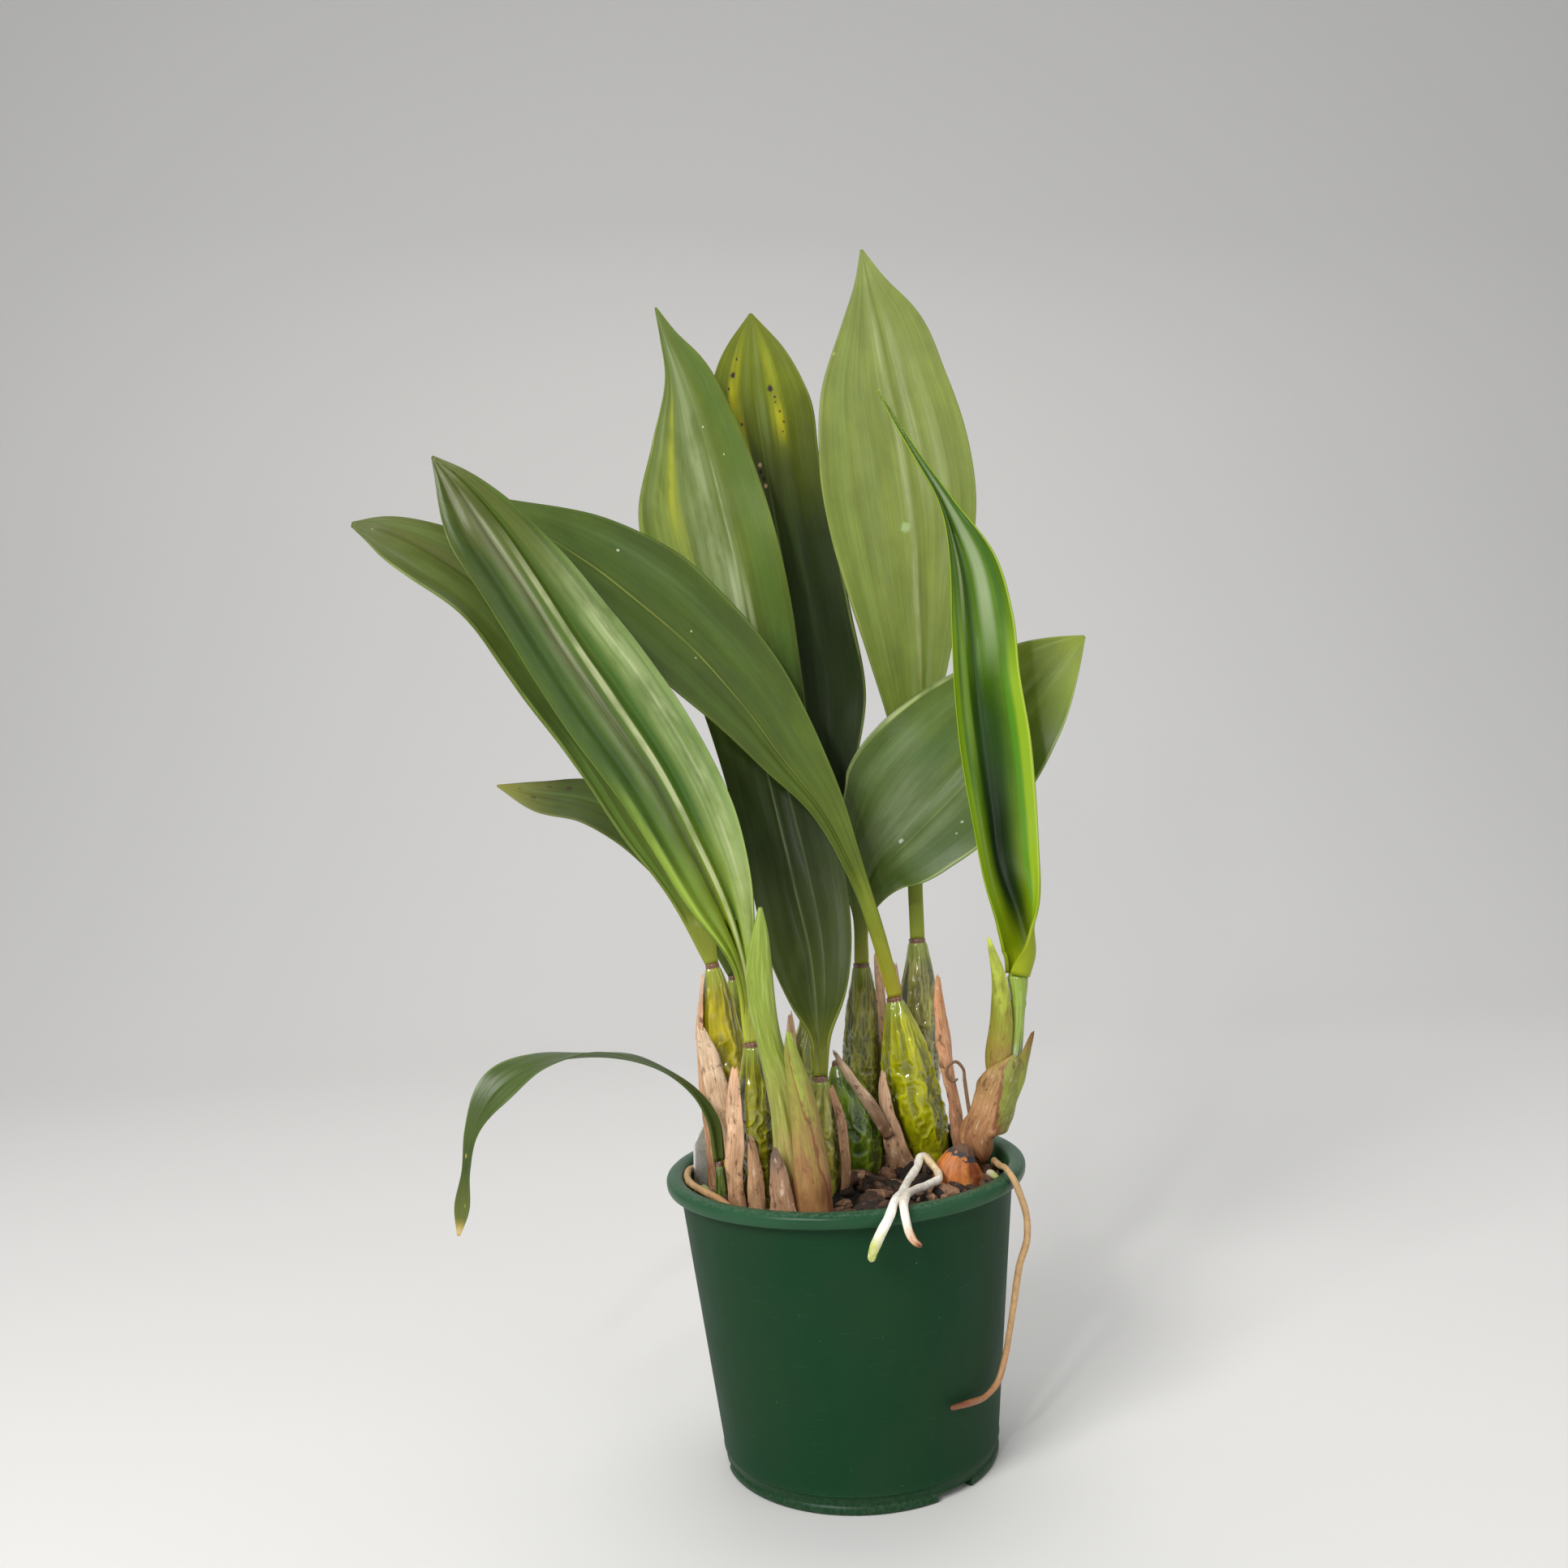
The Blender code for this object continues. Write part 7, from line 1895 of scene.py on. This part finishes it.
class ORCHID_OT_roots(bpy.types.Operator):
    """Makes the roots on and over the mix"""

    bl_idname = "orchid.make_roots"
    bl_label = "Roots"

    def execute(self, context):
        sides = context.scene.orchid_plant.root_sides
        skins = {name: root_finish(name, *look) for name, look in ROOT_LOOKS.items()}
        for name, (tubes, skin, slot, seed, lump) in ROOT_KINDS.items():
            tables = [ROOTS[tube] for tube in tubes]
            join_the_plant(make_root(name + "_lumpy", tables, sides, seed, lump, skins[skin]), name)
        return {"FINISHED"}


class ORCHID_PT_panel(bpy.types.Panel):
    """Lists the orchid's settings and pieces"""

    bl_idname = "ORCHID_PT_panel"
    bl_label = "Potted orchid"
    bl_space_type = "VIEW_3D"
    bl_region_type = "UI"
    bl_category = "Orchid"

    def draw(self, context):
        scene = context.scene
        groups = {"Pot": scene.orchid_pot, "Plant": scene.orchid_plant, "Stage": scene.orchid_stage}
        for heading, group in groups.items():
            box = self.layout.box()
            box.label(text=heading)
            for key in group.bl_rna.properties.keys():
                if key not in ("rna_type", "name"):
                    box.prop(group, key)
        for operator in OPERATORS:
            self.layout.operator(operator.bl_idname)


OPERATORS = (
    ORCHID_OT_stage, ORCHID_OT_pot, ORCHID_OT_mix, ORCHID_OT_tag, ORCHID_OT_bulbs, ORCHID_OT_leaves,
    ORCHID_OT_shoots, ORCHID_OT_bracts, ORCHID_OT_roots,
)
CLASSES = (PotSettings, PlantSettings, StageSettings, *OPERATORS, ORCHID_PT_panel)


def register():
    for part in CLASSES:
        bpy.utils.register_class(part)
    bpy.types.Scene.orchid_pot = PointerProperty(type=PotSettings)
    bpy.types.Scene.orchid_plant = PointerProperty(type=PlantSettings)
    bpy.types.Scene.orchid_stage = PointerProperty(type=StageSettings)


def unregister():
    del bpy.types.Scene.orchid_stage
    del bpy.types.Scene.orchid_plant
    del bpy.types.Scene.orchid_pot
    for part in reversed(CLASSES):
        bpy.utils.unregister_class(part)


def main():
    register()
    bpy.ops.orchid.make_stage()
    bpy.ops.orchid.make_pot()
    bpy.ops.orchid.make_mix()
    bpy.ops.orchid.make_tag()
    bpy.ops.orchid.make_bulbs()
    bpy.ops.orchid.make_leaves()
    bpy.ops.orchid.make_shoots()
    bpy.ops.orchid.make_bracts()
    bpy.ops.orchid.make_roots()
    sizes = {"cad_box": CAD_BOX, "visual_box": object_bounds()}
    sizes = {name: [list(corner) for corner in box] for name, box in sizes.items()}


if __name__ == "__main__":
    main()
